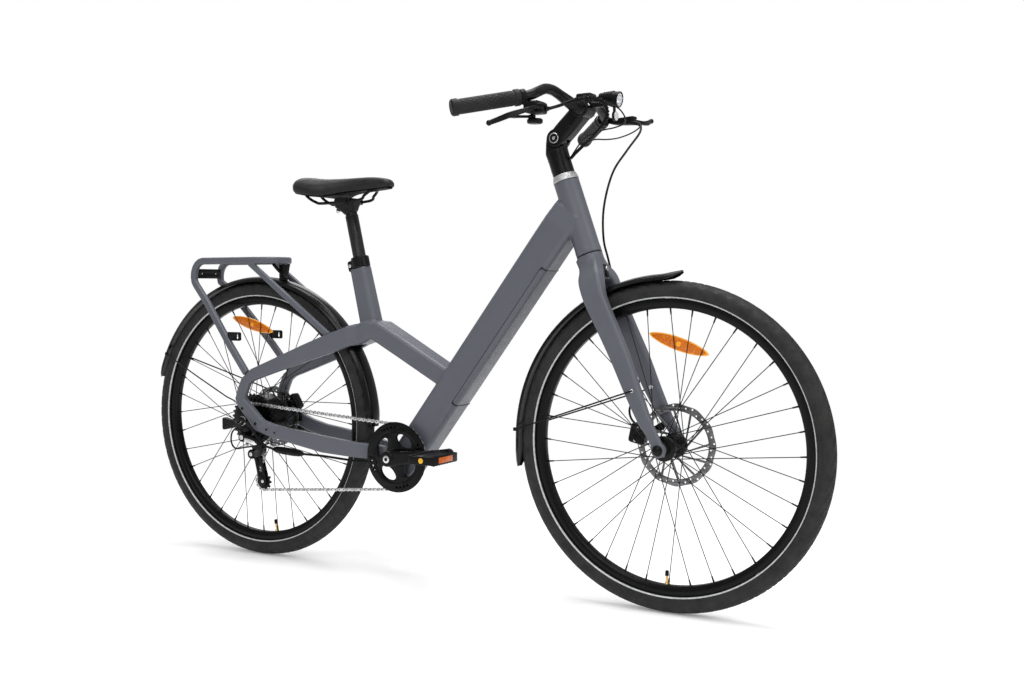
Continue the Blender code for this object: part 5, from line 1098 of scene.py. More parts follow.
def make_spokes(axle, flange_radius, flange_offset, lead):
    """Crossed spokes, each with its head in the flange and a nipple at the rim."""
    bm = bmesh.new()
    step = 360 / SPOKES_PER_SIDE
    for side in (-1, 1):
        for i in range(SPOKES_PER_SIDE):
            turn = 1 if i % 2 else -1
            at_hub = math.radians(i * step + (step / 2 if side > 0 else 0))
            at_rim = at_hub + math.radians(turn * lead * step)
            root = axle + around(flange_radius, at_hub, side * (flange_offset + turn * 0.0024))
            tip = axle + around(0.2938, at_rim, side * 0.002)
            along = (tip - root).normalized()
            head = ACROSS * (side * turn * 0.0014)
            cone_bar(bm, root, tip, 0.00100, 8)
            cone_bar(bm, tip - along * 0.013, tip + along * 0.002, 0.00165, 8, 0.0022)
            cone_bar(bm, root - head, root + head * 1.6, 0.0017, 8)
    return add_object("spokes", bm, "spoke", 40)


def make_front_hub():
    profile = [(0.0062, -0.050), (0.0105, -0.050), (0.0125, -0.044), (0.0150, -0.0345), (0.0250, -0.0336),
               (0.0268, -0.0325), (0.0268, -0.0275), (0.0255, -0.0265), (0.0180, -0.0245),
               (0.0152, -0.0200), (0.0148, 0.0), (0.0152, 0.0200), (0.0180, 0.0245), (0.0255, 0.0265),
               (0.0268, 0.0275), (0.0268, 0.0325), (0.0215, 0.0345), (0.0210, 0.0388), (0.0125, 0.0388),
               (0.0122, 0.047), (0.0105, 0.050), (0.0062, 0.050)]
    shell = turned("shell", profile, FRONT_AXLE, sides=64, look="anodised")
    spokes = make_spokes(FRONT_AXLE, 0.024, 0.030, 3)
    place(join("front_hub_skin", shell, spokes), "front_wheel", "black_metal", "front_hub")


def make_rear_hub():
    end = 0.0665
    profile = [(0.0068, -end), (0.0160, -end), (0.0160, -0.0345), (0.0300, -0.0335), (0.0470, -0.0325),
               (0.0480, -0.0312), (0.0570, -0.0300), (0.0615, -0.0270), (0.0630, -0.0245),
               (0.0612, -0.0190), (0.0606, -0.0120), (0.0606, 0.0120), (0.0612, 0.0190),
               (0.0630, 0.0245), (0.0615, 0.0270), (0.0570, 0.0300), (0.0480, 0.0312),
               (0.0470, 0.0325), (0.0300, 0.0335), (0.0225, 0.0345), (0.0222, 0.0468), (0.0152, 0.0468),
               (0.0150, end), (0.0068, end)]
    shell = turned("shell", profile, REAR_AXLE, sides=96, look="metal")
    screws = []
    for side in (-1, 1):
        for k in range(9):
            spot = REAR_AXLE + around(0.0525, 2 * math.pi * (k + 0.5) / 9, side * 0.0302)
            screws.append(screw(spot, ACROSS * side, 0.0032, 0.0018, "anodised"))
    spokes = make_spokes(REAR_AXLE, 0.060, 0.0215, 2)
    place(join("rear_hub_skin", shell, spokes, *screws), "rear_wheel", "black_metal", "rear_hub_motor")


def rotor_outline(radius):
    outline = []
    for k in range(180):
        angle = 2 * math.pi * k / 180
        outline.append(polar(radius - 0.0012 + 0.0010 * math.cos(12 * angle), angle))
    return outline


def rotor_windows(inner, outer):
    """The openings between twelve swept arms."""
    windows = []
    for k in range(12):
        window = []
        for reach, start, end in ((outer, 36.0, 62.0), (inner, 25.0, 5.5)):
            for j in range(7):
                window.append(polar(reach, math.radians(30 * k + start + (end - start) * j / 6)))
        windows.append(window)
    return windows


def track_holes(radius):
    """Three rows of drilled holes in the braking track."""
    holes = []
    for k in range(36):
        row = k % 3
        reach = radius - (0.0045, 0.0080, 0.0115)[row]
        holes.append(ring_points(0.0020 if row else 0.0023, 12, polar(reach, 2 * math.pi * (k + 0.5) / 36)))
    return holes


def make_rotor(name, axle, body, radius, offset, centre_radius):
    """A wavy braking track with drilled holes, on twelve swept arms."""
    holes = [ring_points(centre_radius + 0.0009, 48)]
    holes += rotor_windows(centre_radius + 0.0140, radius - 0.0165)
    for i in range(6):
        holes.append(ring_points(0.0030, 12, polar(centre_radius + 0.0075, math.radians(60 * i + 46))))
    holes += track_holes(radius)
    disc = plate("disc", rotor_outline(radius), 0.0018, axle + ACROSS * offset, holes, "rotor", 0.0002)
    bolts = []
    for i in range(6):
        spot = axle + around(centre_radius + 0.0085, math.radians(60 * i + 16), offset + 0.0009)
        bolts.append(screw(spot, ACROSS, 0.0034, 0.0018, "bright"))
    place(join(name + "_skin", disc, *bolts), body, "steel", name)


REFLECTOR_SIZE = (0.142, 0.028)


def lens_outline(inset):
    """The pointed oval of a wheel reflector."""
    length, height = REFLECTOR_SIZE
    loop = []
    for sign in (1, -1):
        for i in range(24):
            share = sign * (-1 + 2 * i / 24)
            loop.append((share * (length / 2 - inset * 2.6),
                         sign * ((height / 2 - inset) * (1 - share ** 2) ** 0.7 + 0.0004)))
    return loop


def make_reflector(name, axle, body, degrees, middle_radius, tilt, offset):
    """A lens-shaped reflector with a raised rim, on clips over the spokes."""
    rim = plate("rim", lens_outline(0.0), 0.0042, ORIGIN, (), "amber", 0.0008)
    face = plate("face", lens_outline(0.0022), 0.0054, ORIGIN, (), "prisms", 0.0006)
    bar = block("bar", ORIGIN, (0.010, 0.0066, 0.0100), "amber", edge=0.001)
    obj = join(name + "_skin", rim, face, bar)
    middle = axle + around(middle_radius, math.radians(degrees), offset)
    obj.data.transform(Matrix.Translation(middle) @ Matrix.Rotation(math.radians(tilt), 4, "Y"))
    place(obj, body, "reflector_amber", name)


def make_axles():
    parts = [cross_rod("axle", FRONT_AXLE, -0.0725, 0.0725, 0.0048, "steel", chamfer=0.0008)]
    for side in (-1, 1):
        out = ACROSS * side
        face = sided(side, FRONT_AXLE.x, 0.0668, FRONT_AXLE.z)
        parts.append(rod("washer", face, face + out * 0.0012, 0.0115, "anodised", 32, None, 0.0003))
        parts.append(rod("flange", face + out * 0.0012, face + out * 0.0030, 0.0100, "anodised", 32, None,
                         0.0004))
        parts.append(nut(face + out * 0.0030, out, 0.0092, 0.0052))
    place(join("front_axle_skin", *parts), "steering", "black_metal", "front_axle")
    parts = [cross_rod("axle", REAR_AXLE, -0.088, 0.088, 0.0058, "steel", chamfer=0.001),
             cross_rod("stator", REAR_AXLE, -0.018, 0.018, 0.054, "steel", 48)]
    for side in (-1, 1):
        out = ACROSS * side
        face = sided(side, REAR_AXLE.x, 0.0742, REAR_AXLE.z)
        parts.append(rod("washer", face, face + out * 0.0018, 0.0125, "steel", 32, None, 0.0004))
        parts.append(nut(face + out * 0.0018, out, 0.0108, 0.0080))
    place(join("motor_axle_skin", *parts), "frame", "steel", "motor_axle")


# Drive

GUIDE_PULLEY = Vector((-0.538, -CHAINLINE, 0.272))
TENSION_PULLEY = Vector((-0.519, -CHAINLINE, 0.199))
CHAINRING_TEETH = 38
PULLEY_TEETH = 11
DRIVEN_COG = 2
COG_TEETH = (32, 26, 21, 18, 16, 13, 11)
CHAIN_PITCH = 0.0127


def pitch_radius(teeth):
    return CHAIN_PITCH / (2 * math.sin(math.pi / teeth))


def chain_line():
    """Points of the chain's pitch line, a millimetre or so apart, in its running order."""
    wheels = []
    for centre, teeth, sense in ((CRANK_AXLE, CHAINRING_TEETH, -1), (TENSION_PULLEY, PULLEY_TEETH, -1),
                                 (GUIDE_PULLEY, PULLEY_TEETH, 1), (REAR_AXLE, COG_TEETH[DRIVEN_COG], -1)):
        wheels.append((centre, pitch_radius(teeth), sense))
    headings = []
    for i, (centre, radius, sense) in enumerate(wheels):
        after, after_radius, after_sense = wheels[(i + 1) % 4]
        run = after - centre
        lean = (-sense * radius + after_sense * after_radius) / math.hypot(run.x, run.z)
        headings.append(math.atan2(run.z, run.x) - math.asin(lean))
    line = []
    for i, (centre, radius, sense) in enumerate(wheels):
        arrive, leave = headings[i - 1], headings[i]
        turn = (leave - arrive) * sense % (2 * math.pi)
        steps = max(8, math.ceil(turn / math.radians(2)))
        for step in range(steps + 1):
            heading = arrive + sense * turn * step / steps
            outward = Vector((-math.sin(heading), 0.0, math.cos(heading))) * -sense
            line.append(Vector((centre.x, -CHAINLINE, centre.z)) + outward * radius)
    line.append(line[0])
    return line


def chain_pins():
    line = chain_line()
    lengths = [(b - a).length for a, b in zip(line, line[1:])]
    count = round(sum(lengths) / CHAIN_PITCH / 2) * 2
    pitch = sum(lengths) / count
    pins = []
    walked, target = 0.0, 0.0
    for (a, b), length in zip(zip(line, line[1:]), lengths):
        while target <= walked + length and len(pins) < count:
            pins.append(a + (b - a) * ((target - walked) / length if length else 0.0))
            target += pitch
        walked += length
    return pins


def link_outline(waist, radius=0.0042):
    """A figure-of-eight side plate, one pitch long."""
    half = CHAIN_PITCH / 2
    round_turn = math.radians(220)
    front = arc(radius, math.radians(-110), round_turn, 8, (half, 0.0))
    back = arc(radius, math.radians(70), round_turn, 8, (-half, 0.0))
    return front + [(0.0, waist)] + back + [(0.0, -waist)]


def add_link_plate(bm, start, end, offset, outline, thick=0.00045):
    """Add one side plate of a link to a bmesh, with softened rims."""
    middle = (start + end) / 2
    along = (end - start).normalized()
    up = Vector((-along.z, 0.0, along.x))
    rings = []
    for level, length, height in ((-thick, 0.985, 0.92), (-thick * 0.6, 1.0, 1.0), (thick * 0.6, 1.0, 1.0),
                                  (thick, 0.985, 0.92)):
        rings.append([bm.verts.new(middle + along * x * length + up * z * height + ACROSS * (offset + level))
                      for x, z in outline])
    count = len(outline)
    for first, second in zip(rings, rings[1:]):
        for i in range(count):
            j = (i + 1) % count
            bm.faces.new((first[i], first[j], second[j], second[i]))
    bm.faces.new(rings[0][::-1])
    bm.faces.new(rings[-1])


def add_pin(bm, centre, reach, radius, sides):
    turn = ACROSS.to_track_quat("Z", "Y").to_matrix().to_4x4()
    bmesh.ops.create_cone(bm, cap_ends=True, segments=sides, radius1=radius, radius2=radius,
                          depth=reach * 2, matrix=Matrix.Translation(centre) @ turn)


def make_chain():
    """Outer and inner links in turn, with rollers and the heads of the pins."""
    pins = chain_pins()
    outline = link_outline(0.0019)
    outer, inner, heads = bmesh.new(), bmesh.new(), bmesh.new()
    for i, pin in enumerate(pins):
        after = pins[(i + 1) % len(pins)]
        links, offset = (outer, 0.00270) if i % 2 else (inner, 0.00170)
        for side in (-1, 1):
            add_link_plate(links, pin, after, side * offset, outline)
        add_pin(inner, pin, 0.0012, 0.0038, 12)
        add_pin(heads, pin, 0.0034, 0.0017, 10)
    chain = join("chain_links", add_object("outer", outer, "chain", 35),
                 add_object("inner", inner, "steel", 35), add_object("heads", heads, "dark_steel", 35))
    place(chain, "frame", "chain_steel", "chain")


def toothed(teeth, tooth=0.0030, root=0.0036, phase=0.0):
    """The outline of a sprocket whose hollows sit on the pitch circle."""
    pitch = pitch_radius(teeth)
    flank = [(0.17, pitch - root * 0.8), (0.30, pitch + 0.0006), (0.42, pitch + tooth * 0.9)]
    shape = [(-0.50, pitch + tooth)] + [(-share, reach) for share, reach in flank[::-1]]
    shape += [(0.0, pitch - root)] + flank
    loop = []
    for k in range(teeth):
        loop += [polar(reach, phase + 2 * math.pi * (k + share) / teeth) for share, reach in shape]
    return loop


def pin_phase(centre, radius):
    """The angle of a chain pin that lies on a wheel's pitch circle."""
    for pin in chain_pins():
        if abs(math.hypot(pin.x - centre.x, pin.z - centre.z) - radius) < 0.0002:
            return math.atan2(pin.z - centre.z, pin.x - centre.x)
    return 0.0


def cog_windows(teeth, turn):
    """The round openings of a large cog."""
    inner = pitch_radius(teeth) - 0.012
    if inner <= 0.030:
        return []
    count = 6 if teeth > 24 else 5
    return [ring_points((inner - 0.024) / 2.3, 14, polar((inner + 0.024) / 2, 2 * math.pi * k / count + turn))
            for k in range(count)]


def make_cassette():
    cogs = []
    for i, teeth in enumerate(COG_TEETH):
        centre = REAR_AXLE - ACROSS * (CHAINLINE + (i - DRIVEN_COG) * 0.0045)
        phase = pin_phase(REAR_AXLE, pitch_radius(teeth)) if i == DRIVEN_COG else 0.11 * i
        holes = [ring_points(0.0182, 40)] + cog_windows(teeth, 0.3 * i)
        cogs.append(plate("cog", toothed(teeth, phase=phase), 0.0018, centre, holes, "dark_steel", 0.0002))
    spacer = [(0.0176, -0.0375), (0.0212, -0.0375), (0.0212, -0.0650), (0.0176, -0.0650)]
    cogs.append(turned("spacer", spacer, REAR_AXLE, sides=48, look="dark_steel"))
    lock = [(0.0176, -0.0650), (0.0205, -0.0650), (0.0205, -0.0664), (0.0176, -0.0664)]
    cogs.append(turned("lock", lock, REAR_AXLE, sides=48, look="steel"))
    place(join("cassette_skin", *cogs), "cassette", "steel", "cassette")


def spider_window(middle):
    """A kidney-shaped opening between two arms of the chainring's spider."""
    loop = []
    for k in range(28):
        angle = 2 * math.pi * k / 28
        swing = 29.5 * math.sin(angle) * (0.96 + 0.16 * math.cos(angle))
        loop.append(polar(0.0450 + 0.0138 * math.cos(angle), math.radians(middle + swing)))
    return loop


def make_chainring():
    phase = pin_phase(CRANK_AXLE, pitch_radius(CHAINRING_TEETH))
    windows = [spider_window(60 + 90 * i) for i in range(4)]
    slots = [ring_points(0.0029, 12, polar(0.0712, math.radians(105 + 90 * i + 8.5 * k)))
             for i in range(4) for k in (-1.5, -0.55, 0.55, 1.5)]
    parts = [plate("ring", toothed(CHAINRING_TEETH, phase=phase), 0.0026, CRANK_AXLE - ACROSS * CHAINLINE,
                   [ring_points(0.0600, 72)], "metal", 0.0003),
             plate("guard", ring_points(0.0838, 120), 0.0027, CRANK_AXLE - ACROSS * 0.05165,
                   [ring_points(0.0600, 72), *slots], "metal", 0.0006),
             plate("step", ring_points(0.0745, 96), 0.0040, CRANK_AXLE - ACROSS * 0.0518,
                   [ring_points(0.0615, 72), *slots], "metal", 0.0008),
             plate("spider", ring_points(0.0625, 96), 0.0070, CRANK_AXLE - ACROSS * 0.0495,
                   [ring_points(0.0186, 48), *windows], "metal", 0.0014)]
    for i in range(4):
        spot = CRANK_AXLE + around(0.0635, math.radians(105 + 90 * i), -0.0536)
        parts.append(screw(spot, -ACROSS, 0.0048, 0.0014, "anodised"))
    place(join("chainring_skin", *parts), "crank", "black_metal", "chainring")


CRANK_LENGTH = 0.170
CRANK_ANGLE = math.radians(7.5)


def crank_direction(side):
    return Vector((-side * math.cos(CRANK_ANGLE), 0.0, -side * math.sin(CRANK_ANGLE)))


def pedal_axle(side):
    return CRANK_AXLE + crank_direction(side) * CRANK_LENGTH


# Distance from the crank's axle, depth, distance to the side and thickness
CRANK_ARM = ((0.0, 0.037, 0.0815, 0.0150), (0.020, 0.0345, 0.0825, 0.0150), (0.060, 0.0285, 0.0845, 0.0140),
             (0.120, 0.0255, 0.0858, 0.0133), (0.150, 0.0262, 0.0862, 0.0135),
             (CRANK_LENGTH, 0.0275, 0.0862, 0.0138))


def side_rod(name, centre, side, inner, outer, radius, look=None, sides=32, chamfer=0.0):
    """A bar across the bicycle on one of its sides, from an inner to an outer distance."""
    near, far = sorted((side * inner, side * outer))
    return cross_rod(name, centre, near, far, radius, look, sides, chamfer=chamfer)


def make_crank(side, name):
    along = crank_direction(side)
    stations = [(CRANK_AXLE + along * reach + ACROSS * side * offset, thick, depth, 0.0045)
                for reach, depth, offset, thick in CRANK_ARM]
    solids = [sweep("arm", smooth_stations(stations, 4)),
              side_rod("boss", CRANK_AXLE, side, 0.0500, 0.0925, 0.0180, None, 48, 0.002),
              side_rod("end", pedal_axle(side), side, 0.0795, 0.0930, 0.0140, None, 48, 0.002)]
    arm = moulded(name + "_skin", solids, "metal", 0.0009, 7)
    arm = cut(arm, side_rod("socket", CRANK_AXLE, side, 0.0, 0.0624, 0.0090))
    near, far = sorted((side * 0.0435, side * 0.0505))
    parts = [turned("neck", [(0.0091, near), (0.0180, near), (0.0180, far), (0.0091, far)], CRANK_AXLE,
                    look="metal"),
             side_rod("axle", pedal_axle(side), side, 0.0900, 0.1900, 0.0044, "steel", 32, 0.0004),
             side_rod("flats", pedal_axle(side), side, 0.0930, 0.0990, 0.0078, "anodised", 6, 0.0006),
             screw(CRANK_AXLE + ACROSS * side * 0.0915, ACROSS * side, 0.0088, 0.0020),
             turned("rim", [(0.0092, side * 0.0915), (0.0120, side * 0.0915), (0.0116, side * 0.0932),
                            (0.0096, side * 0.0932)], CRANK_AXLE, look="anodised")]
    place(join(name + "_parts", *parts), "crank", "black_metal")
    place(arm, "crank", "black_metal", name)


def make_pedal(side, name):
    """A block pedal: a core, two toothed bars with prisms, two side pieces and four webs."""
    middle = pedal_axle(side) + ACROSS * side * 0.149
    core = [(0.0049, -0.047), (0.0092, -0.047), (0.0105, -0.040), (0.0082, -0.030), (0.0082, 0.030),
            (0.0105, 0.040), (0.0105, 0.0455), (0.0049, 0.0455)]
    parts = [turned("core", core, middle, look="plastic", sides=40)]
    for end in (-1, 1):
        parts.append(block("bar", middle + AHEAD * end * 0.0300, (0.0070, 0.0970, 0.0200), "plastic",
                           edge=0.0014))
        for k in range(9):
            tooth = middle + Vector((end * 0.0300, -0.042 + 0.0105 * k, 0.0))
            for top in (-1, 1):
                parts.append(block("tooth", tooth + UP * top * 0.0102, (0.0040, 0.0040, 0.0016), "plastic",
                                   edge=0.0004, segments=1))
        parts.append(block("lens", middle + AHEAD * end * 0.03335, (0.0014, 0.056, 0.0125), "orange",
                           edge=0.0005))
    for end in (-1, 1):
        parts.append(block("side", middle + ACROSS * end * 0.0455, (0.0600, 0.0070, 0.0185), "plastic",
                           edge=0.0016))
        for top in (-1, 1):
            parts.append(block("web", middle + Vector((end * 0.0120, 0.0, top * 0.0062)),
                               (0.0230, 0.0860, 0.0035), "plastic", edge=0.0010))
    outer = middle + ACROSS * side * 0.0486
    parts.append(rod("cap", outer, outer + ACROSS * side * 0.0006, 0.0060, "yellow", 32))
    place(join(name + "_skin", *parts), name, "black_plastic", name)


def make_spindle():
    spindle = cross_rod("crank_spindle_skin", CRANK_AXLE, -0.062, 0.062, 0.0085, "steel", 40, chamfer=0.001)
    place(spindle, "crank", "steel", "crank_spindle")
    profile = [(0.0091, -0.0395), (0.0195, -0.0395), (0.0208, -0.0385), (0.0208, -0.0370), (0.0174, -0.0370),
               (0.0174, 0.0370), (0.0208, 0.0370), (0.0208, 0.0385), (0.0195, 0.0395), (0.0091, 0.0395)]
    place(turned("bottom_bracket_skin", profile, CRANK_AXLE, look="dark_steel"), "frame", "steel",
          "bottom_bracket")


def make_pulley(centre, name):
    phase = pin_phase(centre, pitch_radius(PULLEY_TEETH))
    holes = [ring_points(0.0037, 24)]
    holes += [ring_points(0.0026, 12, polar(0.0095, 2 * math.pi * k / 5)) for k in range(5)]
    wheel = plate("wheel", toothed(PULLEY_TEETH, 0.0024, 0.0036, phase), 0.0030, centre, holes, "plastic",
                  0.0004)
    hub = turned("hub", [(0.0037, -0.0021), (0.0066, -0.0021), (0.0066, 0.0021), (0.0037, 0.0021)], centre,
                 look="bright", sides=32)
    place(join(name + "_skin", wheel, hub), name, "black_plastic", name)


HANGER = Vector((-0.551, 0.0, 0.3135))
CAGE_RUN = TENSION_PULLEY - GUIDE_PULLEY
CAGE_HEADING = math.atan2(CAGE_RUN.z, CAGE_RUN.x)


def long_loop(start, end, start_radius, end_radius, steps):
    """The outline round two places along the cage, given as shares of its run."""
    loop = []
    for share, turn, radius in ((start, math.pi / 2, start_radius), (end, 3 * math.pi / 2, end_radius)):
        centre = (CAGE_RUN.x * share, CAGE_RUN.z * share)
        loop += arc(radius, CAGE_HEADING + turn, math.pi, steps, centre)
    return loop


def make_derailleur_cage():
    outline = long_loop(0.0, 1.0, 0.0118, 0.0128, 12)
    slots = [long_loop(0.24, 0.36, 0.0042, 0.0042, 8), long_loop(0.52, 0.66, 0.0040, 0.0040, 8)]
    parts = []
    for side in (-1, 1):
        centre = GUIDE_PULLEY + ACROSS * side * 0.00465
        parts.append(plate("cage", outline, 0.0017, centre, slots, "metal", 0.0003))
    for centre in (GUIDE_PULLEY, TENSION_PULLEY):
        parts.append(cross_rod("bolt", centre, centre.y - 0.0050, centre.y + 0.0050, 0.0030, "bright", 24))
        parts.append(screw(centre - ACROSS * 0.0054, -ACROSS, 0.0042, 0.0012))
    place(join("derailleur_cage_skin", *parts), "derailleur_cage", "black_metal", "derailleur_cage")


DROPOUT_FACE = -0.0728
KNUCKLE = Vector((GUIDE_PULLEY.x + 0.004, -0.0532, GUIDE_PULLEY.z - 0.002))
GEAR_CABLE = points((-0.4700, -0.0830, 0.3020), (-0.5000, -0.0900, 0.2960), (-0.5350, -0.0960, 0.2900),
                    (-0.5680, -0.0950, 0.2850), (-0.5850, -0.0920, 0.2980), (-0.5880, -0.0880, 0.3200),
                    (-0.5760, -0.0860, 0.3340), (-0.5600, -0.0880, 0.3300), (-0.5520, -0.0890, 0.3260))


def make_derailleur_body():
    """The hanger's knuckle and the link that bends inward to the cage's knuckle."""
    hanger, knuckle = DROPOUT_FACE, KNUCKLE.y
    link = [(Vector((HANGER.x, hanger - 0.011, HANGER.z)), 0.013, 0.017, 0.003),
            (Vector((-0.532, -0.0860, 0.3100)), 0.015, 0.020, 0.003),
            (Vector((-0.512, -0.0840, 0.3030)), 0.016, 0.021, 0.003),
            (Vector((-0.498, -0.0790, 0.2880)), 0.018, 0.023, 0.003),
            (Vector((-0.508, -0.0740, 0.2760)), 0.018, 0.019, 0.003),
            (Vector((KNUCKLE.x, knuckle - 0.013, KNUCKLE.z)), 0.016, 0.015, 0.003)]
    solids = [cross_rod("hanger", HANGER, hanger - 0.020, hanger - 0.0004, 0.0118, sides=40, chamfer=0.0015),
              cross_rod("stud", HANGER, hanger - 0.001, hanger + 0.004, 0.0042, sides=24),
              cross_rod("knuckle", KNUCKLE, knuckle - 0.0245, knuckle, 0.0122, sides=40, chamfer=0.0015),
              sweep("link", smooth_stations(link, 4))]
    body = moulded("derailleur_body_skin", solids, "metal", 0.0009, 5)
    place(body, "frame", "black_metal", "derailleur_body")


def make_derailleur_trim():
    """Screws, a bright strip, two stop screws, the gear cable and the plate over the dropout."""
    strip = [(Vector((-0.5400, -0.0945, 0.3085)), 0.0014, 0.0085, 0.0006),
             (Vector((-0.5280, -0.0950, 0.3070)), 0.0014, 0.0105, 0.0006),
             (Vector((-0.5130, -0.0940, 0.3025)), 0.0014, 0.0105, 0.0006),
             (Vector((-0.5040, -0.0900, 0.2950)), 0.0014, 0.0070, 0.0006)]
    trims = [screw(Vector((HANGER.x, DROPOUT_FACE - 0.0198, HANGER.z)), -ACROSS, 0.0062, 0.0020),
             screw(KNUCKLE - ACROSS * 0.0242, -ACROSS, 0.0050, 0.0016),
             sweep("strip", smooth_stations(strip, 4), steps=3, look="bright"),
             block("pivot", Vector((-0.503, -0.0795, 0.3010)), (0.012, 0.020, 0.010), "anodised", edge=0.002),
             tube("loop", spread(GEAR_CABLE, 8), 0.0021, "cable", 12),
             plate("hanger_plate", DROPOUT_PLATE, 0.0010, -ACROSS * 0.0744,
                   [ring_points(0.0064, 32, (REAR_AXLE.x, REAR_AXLE.z))], "metal", 0.0003)]
    for x, z in ((-0.541, 0.2970), (-0.534, 0.2950)):
        start = Vector((x, -0.0860, z))
        end = Vector((x - 0.006, -0.0860, z - 0.003))
        trims.append(rod("stop", start, end, 0.0018, "bright", 12, None, 0.0003))
    place(join("derailleur_trim", *trims), "frame", "black_metal")


def make_derailleur():
    make_derailleur_cage()
    make_derailleur_body()
    make_derailleur_trim()


# Brakes, mudguards and stand

def caliper_skin(name, parts, axle, inner, outer, radius, rounds):
    """A moulded caliper with a slot for the brake disc."""
    slot = cross_rod("slot", axle, inner, outer, radius, sides=96)
    return creased(cut(moulded(name, parts, "metal", 0.0009, rounds), slot))


def make_front_caliper():
    centre = Vector((0.4750, 0.0450, 0.3720))
    tilt = Vector((0.208, 0.0, 0.978))
    toward = Vector((0.8530, 0.0, 0.5220))
    parts = [block("body", centre, (0.044, 0.031, 0.038), along=tilt, edge=0.007),
             block("cap", centre + ACROSS * 0.008, (0.030, 0.020, 0.039), along=tilt, edge=0.004),
             block("arm", Vector((0.5287, 0.0560, 0.3928)) - toward * 0.0286, (0.055, 0.0078, 0.017),
                   along=toward, edge=0.003),
             cross_rod("piston", centre, 0.0290, 0.0620, 0.0140, sides=40, chamfer=0.002)]
    body = caliper_skin("front_caliper_skin", parts, FRONT_AXLE, 0.0387, 0.0413, 0.0920, 5)
    place(body, "steering", "black_metal", "front_caliper")
    extras = [screw(Vector((0.5050, 0.0600, 0.3785)), ACROSS, 0.0040, 0.0014),
              rod("adjuster", Vector((0.4796, 0.0520, 0.3935)), Vector((0.4812, 0.0540, 0.4060)), 0.0038,
                  "anodised", 12, None, 0.0006),
              cross_rod("dial", Vector((0.4770, 0.0, 0.3640)), 0.0270, 0.0300, 0.0090, "plastic", 18,
                        None, 0.0006)]
    for end in (-1, 1):
        extras.append(screw(centre + ACROSS * 0.0165 + tilt * end * 0.014, ACROSS, 0.0036, 0.0014))
        extras.append(screw(centre - ACROSS * 0.0160 + tilt * end * 0.013, -ACROSS, 0.0036, 0.0020))
    place(join("front_caliper_parts", *extras), "steering", "steel")


def make_rear_caliper():
    centre = Vector((-0.4980, 0.0500, 0.3920))
    tilt = Vector((-0.515, 0.0, 0.857))
    parts = [block("body", centre, (0.043, 0.0275, 0.035), along=tilt, edge=0.007),
             block("foot", Vector((-0.4990, 0.0630, 0.3660)), (0.0235, 0.0078, 0.0495), edge=0.0025)]
    body = caliper_skin("rear_caliper_skin", parts, REAR_AXLE, 0.0467, 0.0493, 0.0820, 4)
    place(body, "frame", "black_metal", "rear_caliper")
    extras = [screw(centre - ACROSS * 0.0140 + tilt * end * 0.013, -ACROSS, 0.0034, 0.0018)
              for end in (-1, 1)]
    extras.append(cross_rod("dial", centre, 0.0345, 0.0372, 0.0085, "plastic", 18, None, 0.0006))
    place(join("rear_caliper_parts", *extras), "frame", "steel")


# Distance to the side and drop inward, over the outside and back along the inside
GUARD_HALF = ((0.0000, -0.0012), (0.0070, -0.0008), (0.0130, 0.0004), (0.0180, 0.0024), (0.0215, 0.0056),
              (0.0238, 0.0098), (0.0250, 0.0114), (0.0252, 0.0122), (0.0240, 0.0124), (0.0222, 0.0100),
              (0.0200, 0.0068), (0.0168, 0.0040), (0.0124, 0.0021), (0.0070, 0.0010), (0.0000, 0.0006))


def guard_shell(axle, stations):
    """A thin curved guard through stations of degrees, outer radius and width share."""
    loop = list(GUARD_HALF) + [(-y, drop) for y, drop in reversed(GUARD_HALF[1:-1])]
    sections = []
    for degrees, radius, share in stations:
        out = around(1.0, math.radians(degrees))
        sections.append([axle + out * (radius - 0.0012 - drop * share) + ACROSS * y * share
                         for y, drop in loop])
    return loft("guard", sections, "guard", sharp=50)


def guard_stations(first, last, radius, ends):
    stations = []
    steps = round((last - first) / 2)
    for k in range(steps + 1):
        degrees = first + (last - first) * k / steps
        lift, share = ends(degrees)
        stations.append((degrees, radius + lift, share))
    return stations


def wire(side, route):
    return tube("wire", [sided(side, *p) for p in route], 0.0018, "anodised", 12)


def guard_clip(side, x, y, z, length, height):
    """The small clip that holds a stay to its mudguard."""
    return block("clip", sided(side, x, y, z), (length, 0.0050, height), "plastic", edge=0.0012)


def make_front_guard():
    def ends(degrees):
        lift = 0.0090 * max(0.0, (93 - degrees) / 7) ** 1.4 + 0.0068 * max(0.0, (degrees - 181) / 9.5) ** 1.6
        near = min(1.0, 0.45 + 0.55 * (max(0.0, degrees - 86) / 4) ** 0.6)
        far = min(1.0, 0.35 + 0.65 * (max(0.0, 190.5 - degrees) / 6) ** 0.6)
        return lift, min(near, far)

    parts = [guard_shell(FRONT_AXLE, guard_stations(86, 190.5, 0.3670, ends)),
             block("tab", head_point(0.2536) + HEAD_DIRECTION * 0.0095, (0.019, 0.018, 0.024), "metal",
                   along=HEAD_DIRECTION, edge=0.002)]
    for side in (-1, 1):
        parts.append(wire(side, ((0.2010, 0.0240, 0.3710), (0.3300, 0.0440, 0.4150), (0.4740, 0.0672, 0.4640),
                                 (0.5070, 0.0672, 0.4750))))
        parts.append(screw(sided(side, 0.5045, 0.0640, 0.4745), ACROSS * side, 0.0042, 0.0030))
        parts.append(guard_clip(side, 0.2035, 0.0235, 0.3722, 0.012, 0.008))
    place(join("front_mudguard_skin", *parts), "steering", "black_plastic", "front_mudguard")
    bracket = block("bracket", head_point(0.2320, 0.0265), (0.030, 0.0140, 0.0026), "metal",
                    along=HEAD_DIRECTION, edge=0.0008)
    bolt = screw(head_point(0.2280, 0.0275), HEAD_FORWARD, 0.0050, 0.0040)
    place(join("guard_bracket", bracket, bolt), "steering", "black_metal")


